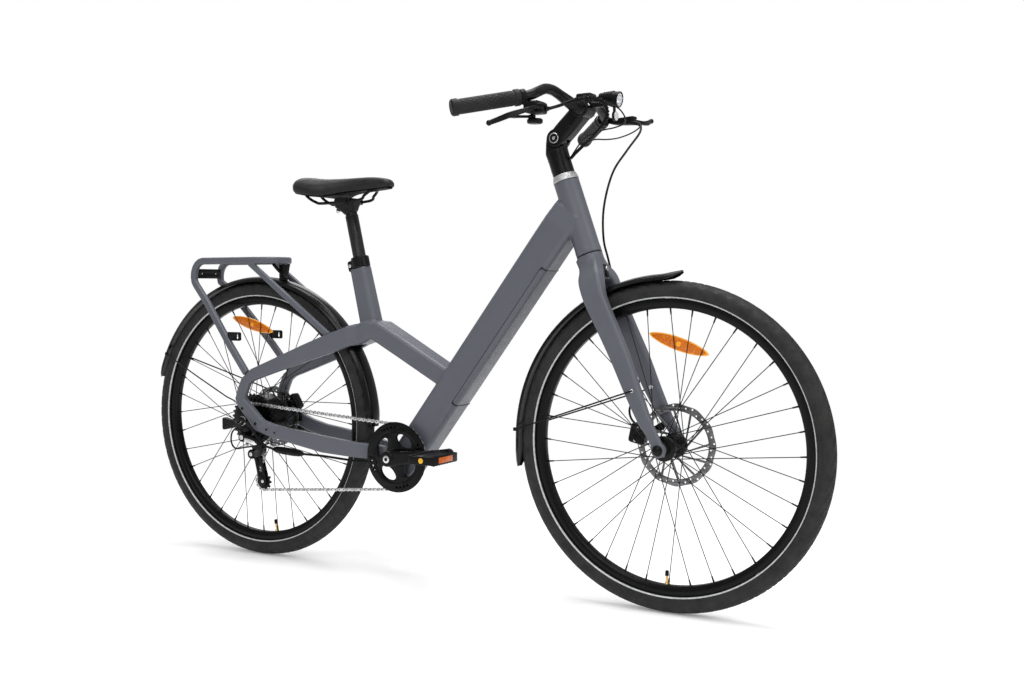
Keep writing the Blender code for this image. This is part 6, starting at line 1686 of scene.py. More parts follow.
def make_rear_guard():
    def ends(degrees):
        lift = 0.0034 * max(0.0, (degrees - 158) / 7) ** 1.5
        near = min(1.0, 0.55 + 0.45 * (max(0.0, degrees) / 5) ** 0.6)
        far = min(1.0, 0.40 + 0.60 * (max(0.0, 165 - degrees) / 5) ** 0.6)
        return lift, min(near, far)

    parts = [guard_shell(REAR_AXLE, guard_stations(0, 165, 0.3660, ends)),
             block("tab", Vector((-0.2511, 0.0, 0.5700)), (0.0320, 0.024, 0.0155), "plastic", edge=0.002),
             block("top", Vector((-0.4880, 0.0, 0.7295)), (0.014, 0.020, 0.0405), "metal", edge=0.0015)]
    for side in (-1, 1):
        parts.append(wire(side, ((-0.8810, 0.0240, 0.5120), (-0.7300, 0.0620, 0.4590),
                                 (-0.6020, 0.0901, 0.4140), (-0.5700, 0.0901, 0.4030))))
        parts.append(screw(sided(side, -0.5730, 0.0880, 0.4040), ACROSS * side, 0.0042, 0.0034))
        parts.append(guard_clip(side, -0.8790, 0.0235, 0.5110, 0.010, 0.010))
    place(join("rear_mudguard_skin", *parts), "frame", "black_plastic", "rear_mudguard")


def make_kickstand():
    pivot = Vector((-0.4800, 0.0960, 0.3200))
    end = Vector((-0.7900, 0.1000, 0.3160))
    near = Vector((pivot.x, 0.0990, pivot.z))
    along = (end - near).normalized()
    foot = [(end - along * 0.062, 0.0150, 0.0160, 0.0050), (end - along * 0.046, 0.0165, 0.0185, 0.0045),
            (end - along * 0.022, 0.0180, 0.0265, 0.0045), (end - along * 0.004, 0.0188, 0.0335, 0.0040),
            (end, 0.0170, 0.0315, 0.0040)]
    parts = [cross_rod("hub", pivot, 0.0862, 0.1058, 0.0145, "metal", 48, chamfer=0.0015),
             tube("leg", [near, near + along * 0.03, near + along * 0.20, end - along * 0.048],
                  [0.0095, 0.0078, 0.0070, 0.0070], "metal", 32),
             sweep("shoe", smooth_stations(foot, 3), look="rubber"),
             screw(Vector((pivot.x, 0.1056, pivot.z)), ACROSS, 0.0060, 0.0014)]
    place(join("kickstand_skin", *parts), "kickstand", "black_metal", "kickstand_leg")


# Seat

# Place along the saddle, width, and the heights of its top, side edge and underside
SADDLE_SECTIONS = ((-0.1500, 0.020, 0.9430, 0.9370, 0.9330), (-0.1640, 0.036, 0.9520, 0.9380, 0.9300),
                   (-0.2100, 0.045, 0.9575, 0.9355, 0.9265), (-0.2700, 0.066, 0.9570, 0.9285, 0.9220),
                   (-0.3150, 0.112, 0.9568, 0.9190, 0.9140), (-0.3450, 0.144, 0.9585, 0.9190, 0.9140),
                   (-0.3750, 0.153, 0.9622, 0.9250, 0.9190), (-0.3980, 0.138, 0.9622, 0.9310, 0.9240),
                   (-0.4090, 0.100, 0.9530, 0.9400, 0.9340))


def saddle_outline(x, width, top, edge, low):
    """The padding's cross-section: a crowned top with a shallow channel, a round side and a flat base."""
    rise, side = top - edge, edge - low
    channel = 0.0028 * max(0.0, math.sin(math.pi * min(1.0, max(0.0, (-x - 0.19) / 0.20))))
    profile = [(0.0, top - channel), (0.16, top - channel * 0.55), (0.34, top - 0.01 * rise),
               (0.56, top - 0.07 * rise), (0.76, top - 0.20 * rise), (0.90, top - 0.40 * rise),
               (0.985, top - 0.66 * rise), (1.00, top - 0.84 * rise), (0.985, edge - 0.25 * side),
               (0.955, low), (0.84, low + 0.12 * side), (0.50, low + 0.32 * side), (0.0, low + 0.45 * side)]
    right = [(share * (width / 2), height) for share, height in profile]
    return right + [(-across, height) for across, height in reversed(right[1:-1])]


def make_saddle_trim():
    """A seam round the saddle's side and the shell beneath it, whose darker black is painted shade."""
    stations = smooth_stations(SADDLE_SECTIONS, 5)
    trims = []
    for side in (-1, 1):
        line = [Vector((x, side * (width / 2 * 0.992), top - 0.70 * (top - edge)))
                for x, width, top, edge, low in stations[3:-3]]
        trims.append(tube("seam", line, 0.0006, "leather", 8))
    base = []
    for x, width, top, edge, low in stations[4:-3]:
        half = width / 2 * 0.90
        level = low + 0.10 * (edge - low)
        outline = ((half, level), (half * 0.96, level - 0.0030), (0.0, level - 0.0022),
                   (-half * 0.96, level - 0.0030), (-half, level), (0.0, level + 0.0030))
        base.append([Vector((x, y, z)) for y, z in outline])
    trims.append(loft("base", base, "shell", sharp=50))
    place(join("saddle_trim", *trims), "seatpost", "black_plastic")


def make_saddle():
    sections = [[Vector((station[0], across, height)) for across, height in saddle_outline(*station)]
                for station in smooth_stations(SADDLE_SECTIONS, 5)]
    cushion = loft("saddle_cushion", sections, "leather")
    smooth = cushion.modifiers.new("smooth", "SUBSURF")
    smooth.levels = 2
    smooth.render_levels = 2
    cushion = bake(cushion)
    cushion.data.shade_smooth()
    place(cushion, "seatpost", "saddle_leather", "saddle")


RAIL_ROUTE = points((-0.3940, 0.0300, 0.9256), (-0.3820, 0.0295, 0.9130), (-0.3600, 0.0285, 0.9010),
                    (-0.3360, 0.0270, 0.8970), (-0.2350, 0.0220, 0.9020), (-0.2180, 0.0195, 0.9130),
                    (-0.2040, 0.0140, 0.9235), (-0.1980, 0.0, 0.9255))


def make_seatpost_head():
    """The yoke and cradle that hold the saddle's rails, with their jaws and bolts."""
    yoke = [(Vector((-0.2722, 0.0, 0.8735)), 0.031, 0.031, 0.012),
            (Vector((-0.2762, 0.0, 0.8850)), 0.038, 0.044, 0.010),
            (Vector((-0.2800, 0.0, 0.8965)), 0.050, 0.058, 0.006)]
    solids = [rod("stub", SEAT_TOP + SEAT_DIRECTION * 0.124, SEAT_TOP + SEAT_DIRECTION * 0.156, 0.0150,
                  sides=48, end_radius=0.0135),
              block("cradle", Vector((-0.2800, 0.0, 0.9000)), (0.046, 0.060, 0.0150),
                    along=Vector((1.0, 0.0, 0.05)), edge=0.003),
              sweep("yoke", smooth_stations(yoke, 4)),
              block("strut", Vector((-0.2960, 0.0, 0.8930)), (0.030, 0.014, 0.012), edge=0.003),
              rod("barrel", Vector((-0.3120, 0.0, 0.8790)), Vector((-0.3020, 0.0, 0.9030)), 0.0058, sides=24)]
    grooves = [tube("groove", [mirrored(p, side) for p in RAIL_ROUTE[3:5]], 0.0041, sides=20)
               for side in (-1, 1)]
    head = cut(moulded("seatpost_head", solids, "anodised", 0.0009, 4), *grooves)
    place(head, "seatpost", "black_metal")
    extras = [screw(Vector((-0.3126, 0.0, 0.8776)), Vector((-0.385, 0.0, -0.923)), 0.0046, 0.0030),
              screw(Vector((-0.2620, 0.0, 0.8930)), Vector((0.35, 0.0, -0.93)), 0.0044, 0.0030)]
    for side in (-1, 1):
        extras.append(block("jaw", sided(side, -0.2800, 0.0320, 0.9015), (0.034, 0.0046, 0.0150), "anodised",
                            edge=0.0014))
    place(join("seatpost_parts", *extras), "seatpost", "steel")


def make_seatpost():
    low = SEAT_TOP - SEAT_DIRECTION * 0.132
    neck = SEAT_TOP + SEAT_DIRECTION * 0.128
    post = tube("post", [low, low + SEAT_DIRECTION * 0.001, neck, neck + SEAT_DIRECTION * 0.0005],
                [0.0150, 0.0158, 0.0158, 0.0150], "post", 64)
    mark = turned("mark", [(0.0157, 0.0), (0.0161, 0.0004), (0.0161, 0.0014), (0.0157, 0.0018)],
                  neck + SEAT_DIRECTION * 0.001, SEAT_DIRECTION, 64, "post")
    place(join("seatpost_skin", post, mark), "seatpost", "black_metal", "seatpost")
    left = spread(RAIL_ROUTE, 6)
    route = left + [mirrored(p, -1) for p in reversed(left[:-1])]
    place(tube("saddle_rails_skin", route, 0.0035, "anodised", 20), "seatpost", "black_metal", "saddle_rails")


# Cockpit

BAR_CENTRE = Vector((0.360, 0.0, 1.078))
STEM_PIVOT = Vector((0.299, 0.0, 1.017))
GRIP_START = Vector((0.311, 0.199, 1.080))
GRIP_END = Vector((0.212, 0.303, 1.052))
GRIP_RUN = (GRIP_END - GRIP_START).normalized()
BAR_ROUTE = points((0.3600, 0.026, 1.078), (0.3540, 0.044, 1.083), (0.3420, 0.068, 1.097),
                   (0.3340, 0.096, 1.107), (0.3310, 0.126, 1.106), (0.3300, 0.150, 1.098),
                   (0.3280, 0.170, 1.090))
RIGHT_LEVER_PIVOT = Vector((0.354, -0.188, 1.056))
LEFT_LEVER_PIVOT = Vector((0.392, 0.192, 1.074))
SHIFT_PIVOT = Vector((0.322, -0.166, 1.044))


def upright_pin(name, pivot, low, high, radius, look=None, sides=40, chamfer=0.0):
    return rod(name, pivot - UP * low, pivot + UP * high, radius, look, sides, None, chamfer)


def make_handlebar():
    left = spread(BAR_ROUTE + [GRIP_START - GRIP_RUN * 0.014], 8) + [GRIP_START, GRIP_END - GRIP_RUN * 0.005]
    route = [mirrored(p, -1) for p in reversed(left)] + [BAR_CENTRE] + left
    radii = []
    for p in route:
        share = min(1.0, max(0.0, (abs(p.y) - 0.026) / 0.050))
        radii.append(0.0111 + 0.0042 * (1 - share) ** 1.2)
    bar = tube("handlebar_skin", route, radii, "anodised", 40)
    place(bar, "bar", "black_metal", "handlebar")


def grip_radius(along, angle, length):
    """A collar at each end and crossed grooves between them."""
    if along < 0.012:
        return 0.0175 - (0.0010 if along < 0.0012 or along > 0.0108 else 0.0)
    if along > length - 0.013:
        return 0.0176 - 0.0020 * max(0.0, (along - length + 0.003) / 0.003) ** 2
    if not 0.016 < along < length - 0.017:
        return 0.01515
    turns = angle / (2 * math.pi) * 12
    raised = (turns + along * 70) % 1.0 > 0.22 and (turns - along * 70) % 1.0 > 0.22
    return 0.01515 + (0.0006 if raised else -0.0001)


def make_grip(side, name):
    run = mirrored(GRIP_RUN, side)
    start, end = mirrored(GRIP_START, side), mirrored(GRIP_END, side)
    length = (end - start).length
    turn = run.to_track_quat("Z", "Y").to_matrix()
    facets, steps = 96, 150
    sections = []
    for k in range(facets):
        angle = 2 * math.pi * k / facets
        spoke = Vector((math.cos(angle), math.sin(angle), 0.0))
        places = [(grip_radius(along, angle, length), along)
                  for along in (length * j / steps for j in range(steps + 1))]
        places += [(0.0118, length - 0.002), (0.0118, 0.0)]
        sections.append([start + turn @ (spoke * reach + UP * along) for reach, along in places])
    grip = loft("grip", sections, "rubber", closed=True, sharp=50)
    plug = rod("plug", end - run * 0.0025, end - run * 0.0004, 0.0119, "plastic", 40, None, 0.0006)
    place(join(name + "_skin", grip, plug), "bar", "rubber", name)


def bar_ring(side):
    run = mirrored(GRIP_RUN, side)
    start = mirrored(GRIP_START, side)
    return rod("ring", start - run * 0.0125, start - run * 0.001, 0.0160, sides=48, chamfer=0.001)


def bar_bore(side):
    """The bar's own space inside a part that is clamped round it."""
    route = (BAR_ROUTE[-2], BAR_ROUTE[-1], GRIP_START - GRIP_RUN * 0.014, GRIP_START + GRIP_RUN * 0.01)
    return tube("bore", [mirrored(p, side) for p in route], 0.0117, sides=32)


def make_shifter():
    solids = [bar_ring(-1),
              block("pod", Vector((0.333, -0.171, 1.0605)), (0.033, 0.051, 0.024), edge=0.005),
              block("ears", Vector((0.347, -0.185, 1.056)), (0.030, 0.020, 0.020), edge=0.003),
              block("lid", Vector((0.333, -0.168, 1.072)), (0.024, 0.036, 0.004), edge=0.0018),
              rod("outlet", Vector((0.336, -0.150, 1.0605)), Vector((0.3378, -0.1462, 1.0608)), 0.0058,
                  sides=24),
              rod("barrel", Vector((0.345, -0.176, 1.058)), Vector((0.352, -0.150, 1.060)), 0.0050, sides=24)]
    pod = moulded("shifter_skin", solids, "plastic", 0.0008, 3)
    slot = block("slot", Vector((0.355, -0.194, 1.056)), (0.040, 0.034, 0.0086))
    place(creased(cut(pod, slot, bar_bore(-1))), "bar", "black_plastic", "shifter")
    knurl = [(0.0030, 0.0), (0.0052, 0.0), (0.0056, 0.0008), (0.0056, 0.0062), (0.0052, 0.0070),
             (0.0030, 0.0070)]
    extras = [upright_pin("pin", RIGHT_LEVER_PIVOT, 0.009, 0.0098, 0.0030, "bright", 20, 0.0004),
              upright_pin("shift_pin", SHIFT_PIVOT, 0.0060, 0.006, 0.0030, "bright", 20, 0.0004),
              rod("drum", Vector((0.326, -0.160, 1.0300)), Vector((0.326, -0.160, 1.0400)), 0.0165,
                  "plastic", 40, None, 0.0022),
              screw(Vector((0.3300, -0.1850, 1.0730)), UP, 0.0024, 0.0010),
              turned("knurl", knurl, Vector((0.3385, -0.1448, 1.0611)),
                     Vector((0.3, 0.95, 0.1)).normalized(), 18, "anodised")]
    place(join("shifter_parts", *extras), "bar", "steel")


def make_left_mount():
    arm = [(Vector((0.3254, 0.2035, 1.0810)), 0.014, 0.014, 0.004),
           (Vector((0.3520, 0.1960, 1.0755)), 0.018, 0.016, 0.004),
           (Vector((0.3970, 0.1880, 1.0740)), 0.024, 0.020, 0.004)]
    solids = [bar_ring(1), sweep("arm", smooth_stations(arm, 5)),
              rod("outlet", Vector((0.390, 0.183, 1.069)), Vector((0.411, 0.177, 1.065)), 0.0046, sides=24)]
    mount = moulded("left_brake_mount_skin", solids, "plastic", 0.0008, 3)
    slot = block("slot", Vector((0.393, 0.198, 1.074)), (0.030, 0.034, 0.0086))
    place(creased(cut(mount, slot, bar_bore(1))), "bar", "black_plastic", "left_brake_mount")
    pin = upright_pin("left_brake_pin", LEFT_LEVER_PIVOT, 0.008, 0.0092, 0.0030, "bright", 20, 0.0004)
    place(pin, "bar", "steel")


def make_controls():
    make_shifter()
    make_left_mount()


def pivoted(name, parts, look, pivot):
    """A moulded lever with the bore for its pin."""
    bore = upright_pin("bore", pivot, 0.02, 0.02, 0.0034, sides=32)
    return cut(moulded(name, parts, look, 0.0006, 3), bore)


def make_lever(name, body, pivot, tip, bulge):
    """A brake lever whose blade curves through its middle, moved out by the bulge, to a ball."""
    middle = (pivot + tip) / 2 + bulge
    out = Vector((middle.x - pivot.x, middle.y - pivot.y, 0.0)).normalized()
    boss = upright_pin("boss", pivot, 0.0040, 0.0040, 0.0080, chamfer=0.0008)
    stations = [(pivot + out * 0.004, 0.0070, 0.0090, 0.0022), (pivot + out * 0.018, 0.0070, 0.0085, 0.0022),
                (pivot * 0.25 + middle * 0.75 + bulge * 0.15, 0.0100, 0.0068, 0.0025),
                (middle * 0.7 + tip * 0.3 + bulge * 0.1, 0.0120, 0.0058, 0.0025),
                (middle * 0.3 + tip * 0.7, 0.0112, 0.0058, 0.0025), (tip, 0.0098, 0.0062, 0.0028)]
    blade = sweep("blade", smooth_stations(stations, 6), UP)
    run = (tip - middle).normalized()
    bm = bmesh.new()
    bmesh.ops.create_icosphere(bm, subdivisions=3, radius=0.0060,
                               matrix=Matrix.Translation(tip + run * 0.0004))
    ball = add_object("ball", bm)
    place(pivoted(name + "_skin", [boss, blade, ball], "anodised", pivot), body, "black_metal", name)


def make_shift_lever():
    run = Vector((-0.036, -0.028, -0.001))
    boss = upright_pin("boss", SHIFT_PIVOT, 0.0035, 0.0035, 0.0080, chamfer=0.0008)
    stations = [(SHIFT_PIVOT + run * 0.1, 0.0055, 0.0090, 0.0016),
                (SHIFT_PIVOT + run * 0.5, 0.0052, 0.0105, 0.0016),
                (SHIFT_PIVOT + run * 0.8, 0.0058, 0.0140, 0.0020),
                (SHIFT_PIVOT + run, 0.0050, 0.0110, 0.0020)]
    paddle = sweep("paddle", smooth_stations(stations, 5), UP)
    lever = pivoted("shift_lever_skin", [boss, paddle], "plastic", SHIFT_PIVOT)
    place(lever, "shift", "black_plastic", "shift_lever")


def make_display():
    centre = Vector((0.366, 0.0, 1.1045))
    case = block("case", centre, (0.036, 0.034, 0.012), edge=0.004)
    foot = block("foot", centre - UP * 0.007, (0.020, 0.024, 0.008), edge=0.001)
    body = moulded("display_skin", [case, foot], "plastic", 0.0006, 3)
    seat = cross_rod("seat", BAR_CENTRE, -0.05, 0.05, 0.0198, sides=64)
    socket = rod("socket", Vector((0.357, 0.0, 1.1065)), Vector((0.357, 0.0, 1.12)), 0.0048, sides=32)
    place(creased(cut(body, seat, socket)), "bar", "gloss_black", "display")
    screen = block("display_screen", centre + Vector((0.0065, 0.0, 0.0058)), (0.016, 0.026, 0.0010), "gloss",
                   edge=0.0004)
    place(screen, "bar", "gloss_black")
    dome = [(0.0001, 0.0), (0.0043, 0.0), (0.0045, 0.0006), (0.0045, 0.0030), (0.0040, 0.0038),
            (0.0025, 0.0040), (0.0001, 0.0036)]
    button = turned("display_button_skin", dome, Vector((0.357, 0.0, 1.1080)), UP, 40, "rubber")
    place(button, "button", "rubber", "display_button")


LAMP_REAR = Vector((0.398, 0.0, 1.100))
LAMP_RUN = Vector((0.446, 0.0, 1.092)) - LAMP_REAR


def lamp_ring(name, profile, sides, look):
    """A piece turned round the headlight's axis, with distances measured from its front."""
    reach = LAMP_RUN.length
    return turned(name, [(r, reach + s) for r, s in profile], LAMP_REAR, LAMP_RUN.normalized(), sides, look)


def lamp_shell():
    """The lamp's housing, with five cooling ribs."""
    reach = LAMP_RUN.length
    outer = [(0.0001, 0.0), (0.0085, 0.0), (0.0102, 0.0016), (0.0112, 0.0080)]
    for k in range(5):
        start = 0.0110 + 0.0050 * k
        base = 0.0118 + 0.0011 * k
        outer += [(base + 0.0012, start), (base + 0.0012, start + 0.0022), (base, start + 0.0026),
                  (base, start + 0.0048)]
    front = ((0.0168, -0.0060), (0.0172, -0.0054), (0.0172, -0.0006), (0.0165, 0.0), (0.0150, 0.0),
             (0.0146, -0.0030), (0.0110, -0.0120), (0.0060, -0.0160), (0.0001, -0.0165))
    return lamp_ring("shell", [(r, s - reach) for r, s in outer] + list(front), 64, "plastic")


def make_headlight():
    bowl = ((0.0001, -0.0150), (0.0050, -0.0140), (0.0102, -0.0095), (0.0143, -0.0030), (0.0143, -0.0024),
            (0.0098, -0.0088), (0.0048, -0.0132), (0.0001, -0.0142))
    led = ((0.0001, -0.0140), (0.0026, -0.0140), (0.0026, -0.0118), (0.0001, -0.0112))
    parts = [lamp_shell(), lamp_ring("bowl", bowl, 64, "bowl"), lamp_ring("led", led, 24, "white"),
             block("bracket", Vector((0.3920, 0.0, 1.0845)), (0.0415, 0.012, 0.010), "plastic", edge=0.002),
             block("post", Vector((0.4060, 0.0, 1.0905)), (0.010, 0.012, 0.014), "plastic", edge=0.002),
             block("hanger", Vector((0.4330, 0.0, 1.072)), (0.004, 0.008, 0.020), "plastic", edge=0.001),
             rod("disc", Vector((0.4315, 0.0, 1.058)), Vector((0.4370, 0.0, 1.058)), 0.0108, "plastic", 48,
                 None, 0.0008),
             rod("prism", Vector((0.4368, 0.0, 1.058)), Vector((0.4388, 0.0, 1.058)), 0.0096, "white", 48,
                 None, 0.0006)]
    place(join("headlight_skin", *parts), "bar", "black_plastic", "headlight")
    lens = ((0.0001, -0.0024), (0.0145, -0.0024), (0.0145, -0.0012), (0.0001, -0.0006))
    place(lamp_ring("headlight_lens", lens, 64, "clear"), "bar", "gloss_black")
    bolt = screw(Vector((0.4060, -0.0060, 1.0890)), -ACROSS, 0.0026, 0.0014)
    bolt.name = "headlight_bolt"
    place(bolt, "bar", "steel")


# Stem

STEM_TONGUE = 0.0193
STEM_AWAY = (BAR_CENTRE - STEM_PIVOT).normalized()
STEM_REACH = (BAR_CENTRE - STEM_PIVOT).length
STEM_UNDER = Vector((STEM_AWAY.z, 0.0, -STEM_AWAY.x))


def make_stem_base():
    """The sleeve on the steerer, whose tongue holds the tilting arm."""
    shoulder = [section(head_point(-0.0300), ACROSS, HEAD_FORWARD, 0.0440, 0.0478, 0.020, 8),
                section(head_point(-0.0565), ACROSS, HEAD_FORWARD, 0.0430, 0.0470, 0.015, 8),
                section(Vector((0.2945, 0.0, 1.0060)), ACROSS, AHEAD, 0.0425, 0.0420, 0.012, 8),
                section(Vector((0.2900, 0.0, 1.0200)), ACROSS, AHEAD, 0.0420, 0.0300, 0.012, 8)]
    solids = [rod("sleeve", head_point(-0.0560), head_point(-0.0005), 0.0246, sides=64),
              loft("shoulder", shoulder), cross_rod("tongue", STEM_PIVOT, -0.0095, 0.0095, 0.0190, sides=48)]
    base = moulded("stem_base_skin", solids, "anodised", 0.0009, 6)
    low = Vector((math.cos(math.radians(24)), 0.0, math.sin(math.radians(24))))
    cutters = [cross_rod("gap", STEM_PIVOT, -0.0300, -0.0100, 0.0216, sides=48),
               cross_rod("gap", STEM_PIVOT, 0.0100, 0.0300, 0.0216, sides=48)]
    for side in (-1, 1):
        cutters.append(block("swing", STEM_PIVOT + low * 0.040 + ACROSS * side * 0.0250,
                             (0.080, 0.0300, 0.0440), along=low))
    cutters.append(rod("steerer", head_point(-0.0540), head_point(0.02), 0.0147, sides=40))
    place(creased(cut(base, *cutters)), "steering", "black_metal", "stem_base")
    bolts = [screw(head_point(drop, -0.0235), -HEAD_FORWARD, 0.0036, 0.0026, "anodised")
             for drop in (-0.042, -0.018)]
    place(join("stem_base_bolts", *bolts), "steering", "black_metal")


def make_stem_arm():
    beam = [(STEM_PIVOT, 0.0428, 0.0385, 0.008), (STEM_PIVOT + STEM_AWAY * 0.030, 0.0430, 0.0420, 0.011),
            (STEM_PIVOT + STEM_AWAY * (STEM_REACH - 0.030), 0.0440, 0.0410, 0.012),
            (STEM_PIVOT + STEM_AWAY * (STEM_REACH - 0.010), 0.0460, 0.0385, 0.010)]
    solids = [cross_rod("ears", STEM_PIVOT, -0.0215, 0.0215, 0.0205, sides=64, chamfer=0.002),
              sweep("beam", smooth_stations(beam, 4), steps=8),
              cross_rod("clamp", BAR_CENTRE, -0.0235, 0.0235, 0.0198, sides=64, chamfer=0.003)]
    arm = moulded("stem_arm_skin", solids, "anodised", 0.0009, 6)
    corners = [(degrees, STEM_TONGUE + 0.0006) for degrees in range(-6, 121, 21)]
    corners += [(135, 0.040), (180, 0.040), (225, 0.050), (270, 0.075), (350, 0.050)]
    outline = [polar(reach, math.radians(degrees)) for degrees, reach in corners]
    slot = plate("slot", outline, 0.0204, STEM_PIVOT)
    place(creased(cut(arm, slot)), "bar", "black_metal", "stem_arm")


def make_stem_details():
    """The slots under the arm and the bar clamp's seam, drawn as thin dark plates of painted shade, and the
    pivot's cap and screws and the bar clamp's screws.
    """
    slots = []
    for start, end in ((0.022, 0.036), (0.042, 0.058)):
        middle = STEM_PIVOT + STEM_AWAY * (start + end) / 2
        for side in (-1, 1):
            # Thin dark plates on the arm's sides: painted shade where slots would be.
            slots.append(block("slot", middle + STEM_UNDER * 0.0090 + ACROSS * side * 0.0216,
                               (end - start, 0.0012, 0.0042), "gloss", along=STEM_AWAY, edge=0.0005))
    place(join("stem_arm_slots", *slots), "bar", "gloss_black")
    cap_face = STEM_PIVOT - ACROSS * 0.0240
    ring = [(0.0092, 0.0), (0.0112, 0.0), (0.0112, 0.0006), (0.0108, 0.0010), (0.0094, 0.0010)]
    parts = [cross_rod("cap", STEM_PIVOT, -0.0240, -0.0200, 0.0126, "anodised", 48, chamfer=0.0008),
             turned("ring", ring, cap_face, -ACROSS, 48, "bright"),
             screw(cap_face, -ACROSS, 0.0080, 0.0014, "anodised"),
             screw(STEM_PIVOT - ACROSS * 0.0252, -ACROSS, 0.0034, 0.0006),
             screw(STEM_PIVOT + ACROSS * 0.0214, ACROSS, 0.0100, 0.0020, "anodised"),
             # A thin dark plate: painted shade in the clamp's seam.
             block("seam", BAR_CENTRE + STEM_AWAY * 0.001, (0.0012, 0.0474, 0.0400), "gloss",
                   along=STEM_AWAY)]
    for side in (-1, 1):
        for level in (-1, 1):
            spot = BAR_CENTRE + STEM_AWAY * 0.0178 + ACROSS * side * 0.015 - STEM_UNDER * level * 0.0085
            parts.append(screw(spot, STEM_AWAY, 0.0032, 0.0024))
    place(join("stem_parts", *parts), "bar", "black_metal")


def make_stem():
    make_stem_base()
    make_stem_arm()
    make_stem_details()


# Cables

HOSE_ROUTE = points((0.4119, 0.1766, 1.0647), (0.4210, 0.1700, 1.0590), (0.4270, 0.1480, 1.0380),
                    (0.4120, 0.1120, 0.9960), (0.3930, 0.0790, 0.9450), (0.3830, 0.0560, 0.8700),
                    (0.3850, 0.0500, 0.8000), (0.3930, 0.0600, 0.7500), (0.4180, 0.0640, 0.6500),
                    (0.4440, 0.0640, 0.6000), (0.4720, 0.0665, 0.5380), (0.4660, 0.0680, 0.4900),
                    (0.4520, 0.0650, 0.4480), (0.4450, 0.0600, 0.4200), (0.4530, 0.0550, 0.4000),
                    (0.4700, 0.0510, 0.3880))
BUNDLE_ROUTE = points((0.3380, -0.1455, 1.0608), (0.3400, -0.1380, 1.0615), (0.3540, -0.1150, 1.0690),
                      (0.3790, -0.0780, 1.0860), (0.4020, -0.0480, 1.0930), (0.4240, -0.0330, 1.0820),
                      (0.4280, -0.0260, 1.0580), (0.4120, -0.0190, 1.0360), (0.3880, -0.0110, 1.0180),
                      (0.3640, -0.0040, 1.0020), (0.3420, 0.0000, 0.9850), (0.3280, 0.0000, 0.9730))
LOOP_ROUTE = points((0.3780, -0.1000, 1.0770), (0.3992, -0.0500, 1.0860), (0.4210, -0.0300, 1.0850),
                    (0.4397, -0.0240, 1.0784), (0.4546, -0.0200, 1.0680), (0.4618, -0.0100, 1.0529),
                    (0.4516, 0.0100, 1.0425), (0.4255, 0.0200, 1.0366), (0.3977, 0.0200, 1.0330),
                    (0.3752, 0.0100, 1.0250), (0.3560, 0.0060, 1.0140), (0.3440, 0.0040, 0.9990),
                    (0.3310, 0.0000, 0.9790))
LEAD_ROUTE = points((0.4000, 0.1810, 1.0650), (0.4191, 0.1700, 1.0566), (0.4118, 0.1400, 1.0393),
                    (0.3971, 0.1000, 1.0246), (0.3871, 0.0600, 1.0175), (0.3729, 0.0300, 1.0150),
                    (0.3600, 0.0120, 1.0060), (0.3460, 0.0040, 0.9900), (0.3290, 0.0000, 0.9730))


def offset_route(route, radius, turns, phase):
    """A strand that winds round a route."""
    out = []
    normal = None
    last = len(route) - 1
    for i, p in enumerate(route):
        tangent = (route[min(i + 1, last)] - route[max(i - 1, 0)]).normalized()
        if normal is None:
            normal = tangent.orthogonal().normalized()
        normal = (normal - tangent * normal.dot(tangent)).normalized()
        side = tangent.cross(normal)
        angle = phase + 2 * math.pi * turns * i / last
        out.append(p + (normal * math.cos(angle) + side * math.sin(angle)) * radius)
    return out


def make_cables():
    line = spread(HOSE_ROUTE, 8)
    radii = [0.0038, 0.0038, 0.0036, 0.0034, 0.0032, 0.0031, 0.0030]
    hose = join("front_brake_hose", tube("hose", line, 0.0025, "cable", 16),
                tube("sleeve", line[:7], radii, "rubber", 16))
    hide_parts("front_brake_cable")
    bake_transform(hose)
    line = spread(BUNDLE_ROUTE, 10)
    strands = [tube("strand", offset_route(line, 0.0020, 1.2, phase), 0.0019, "cable", 12)
               for phase in (0.0, 2.1, 4.2)]
    wrap = tube("wrap", offset_route(spread(line[28:72], 6), 0.0042, 16, 0.0), 0.0011, "plastic", 8)
    loops = [tube("loop", spread(route, 6), 0.0016, "cable", 10) for route in (LOOP_ROUTE, LEAD_ROUTE)]
    bundle = join("cable_bundle_skin", *strands, wrap, *loops)
    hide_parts("cable_bundle")
    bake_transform(bundle)


MOTOR_CABLE_ROUTE = points((-0.5635, -0.0885, 0.3530), (-0.5635, -0.0960, 0.3530), (-0.5520, -0.1010, 0.3580),
                           (-0.5350, -0.0980, 0.3560), (-0.5150, -0.0950, 0.3400), (-0.5000, -0.0920, 0.3180),
                           (-0.4850, -0.0840, 0.2980), (-0.4700, -0.0700, 0.2880), (-0.4550, -0.0640, 0.2850),
                           (-0.3800, -0.0620, 0.2800), (-0.3200, -0.0600, 0.2790), (-0.2500, -0.0480, 0.2730),
                           (-0.2000, -0.0340, 0.2700), (-0.1478, -0.0265, 0.2695))
# Share of the connector's length, and radius there
CONNECTOR = ((0.0, 0.0034), (0.06, 0.0062), (0.14, 0.0082), (0.3, 0.0092), (0.48, 0.0094), (0.5, 0.0086),
             (0.52, 0.0094), (0.7, 0.0092), (0.86, 0.0080), (0.94, 0.0060), (1.0, 0.0034))


def make_motor_cable():
    """The lead from the hub along the chain stay, with its round connector."""
    lead = tube("lead", spread(MOTOR_CABLE_ROUTE, 6), 0.0029, "cable", 16)
    start = Vector((-0.4700, -0.0660, 0.2865))
    run = Vector((-0.3760, -0.0619, 0.2798)) - start
    cover = tube("cover", [start + run * share for share, radius in CONNECTOR],
                 [radius for share, radius in CONNECTOR], "plastic", 32)
    relief = tube("relief", MOTOR_CABLE_ROUTE[:2], [0.0052, 0.0040], "rubber", 24)
    place(join("motor_cable_skin", lead, cover, relief), "frame", "cable_black", "motor_cable")


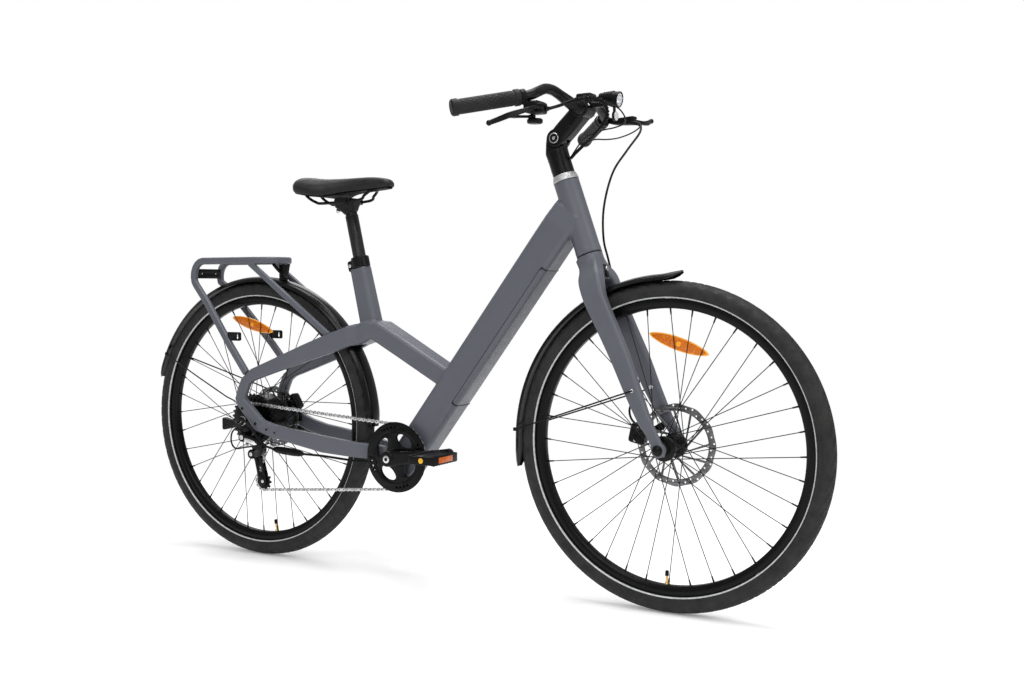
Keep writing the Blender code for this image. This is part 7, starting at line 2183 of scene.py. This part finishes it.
def keep_hidden_nodes():
    """Finishes of the nodes inside the frame, which stay as they are."""
    dress("battery_pack", "plastic", 0.0008)
    dress("motor_controller", "plastic")
    dress("lower_headset_bearing", "bright")


add_camera()
make_world()
make_floor()
add_area("key", (0.8, -3.0, 3.0), (0.0, 0.0, 0.5), (2.6, 2.0), 46)
add_area("fill", (3.4, -0.4, 2.0), (0.1, 0.0, 0.5), (2.2, 2.2), 30)
add_area("back", (-2.6, 2.8, 2.8), (0.0, 0.0, 0.6), (2.6, 2.0), 30)
add_area("top", (0.1, 0.2, 4.2), (0.0, 0.0, 0.5), (3.4, 2.4), 125)

make_main_frame()
make_battery_cover()
make_cover_seams()
add_stay_bolts(-1, "right_stay")
add_stay_bolts(1, "left_stay")
make_rack()
make_rack_fittings()
make_seat_clamp()
make_fork()
make_headset()
for axle, end, valve in ((FRONT_AXLE, "front", -90.7), (REAR_AXLE, "rear", -81.0)):
    make_tyre(axle, end + "_tyre", end + "_wheel")
    make_rim(axle, end + "_rim", end + "_wheel", valve)
make_front_hub()
make_rear_hub()
make_rotor("front_rotor", FRONT_AXLE, "front_wheel", 0.090, 0.040, 0.0122)
make_rotor("rear_rotor", REAR_AXLE, "rear_wheel", 0.080, 0.048, 0.0150)
make_reflector("front_reflector", FRONT_AXLE, "front_wheel", 86.3, 0.2190, 17.7, 0.0150)
make_reflector("rear_reflector", REAR_AXLE, "rear_wheel", 99.3, 0.2447, 14.8, 0.0108)
make_axles()
make_chain()
make_cassette()
make_chainring()
make_spindle()
for side, hand in ((-1, "right"), (1, "left")):
    make_crank(side, hand + "_crank")
    make_pedal(side, hand + "_pedal")
    make_grip(side, hand + "_grip")
make_pulley(GUIDE_PULLEY, "guide_pulley")
make_pulley(TENSION_PULLEY, "tension_pulley")
make_derailleur()
make_front_caliper()
make_rear_caliper()
make_front_guard()
make_rear_guard()
make_kickstand()
make_saddle()
make_saddle_trim()
make_seatpost()
make_seatpost_head()
make_handlebar()
make_controls()
make_lever("right_brake_lever", "right_brake", RIGHT_LEVER_PIVOT, Vector((0.290, -0.285, 1.019)),
           Vector((0.010, -0.004, 0.006)))
make_lever("left_brake_lever", "left_brake", LEFT_LEVER_PIVOT, Vector((0.398, 0.285, 1.084)),
           Vector((0.009, 0.0, -0.006)))
make_shift_lever()
make_display()
make_headlight()
make_stem()
make_cables()
make_motor_cable()
keep_hidden_nodes()

bpy.context.scene.view_settings.view_transform = "Standard"
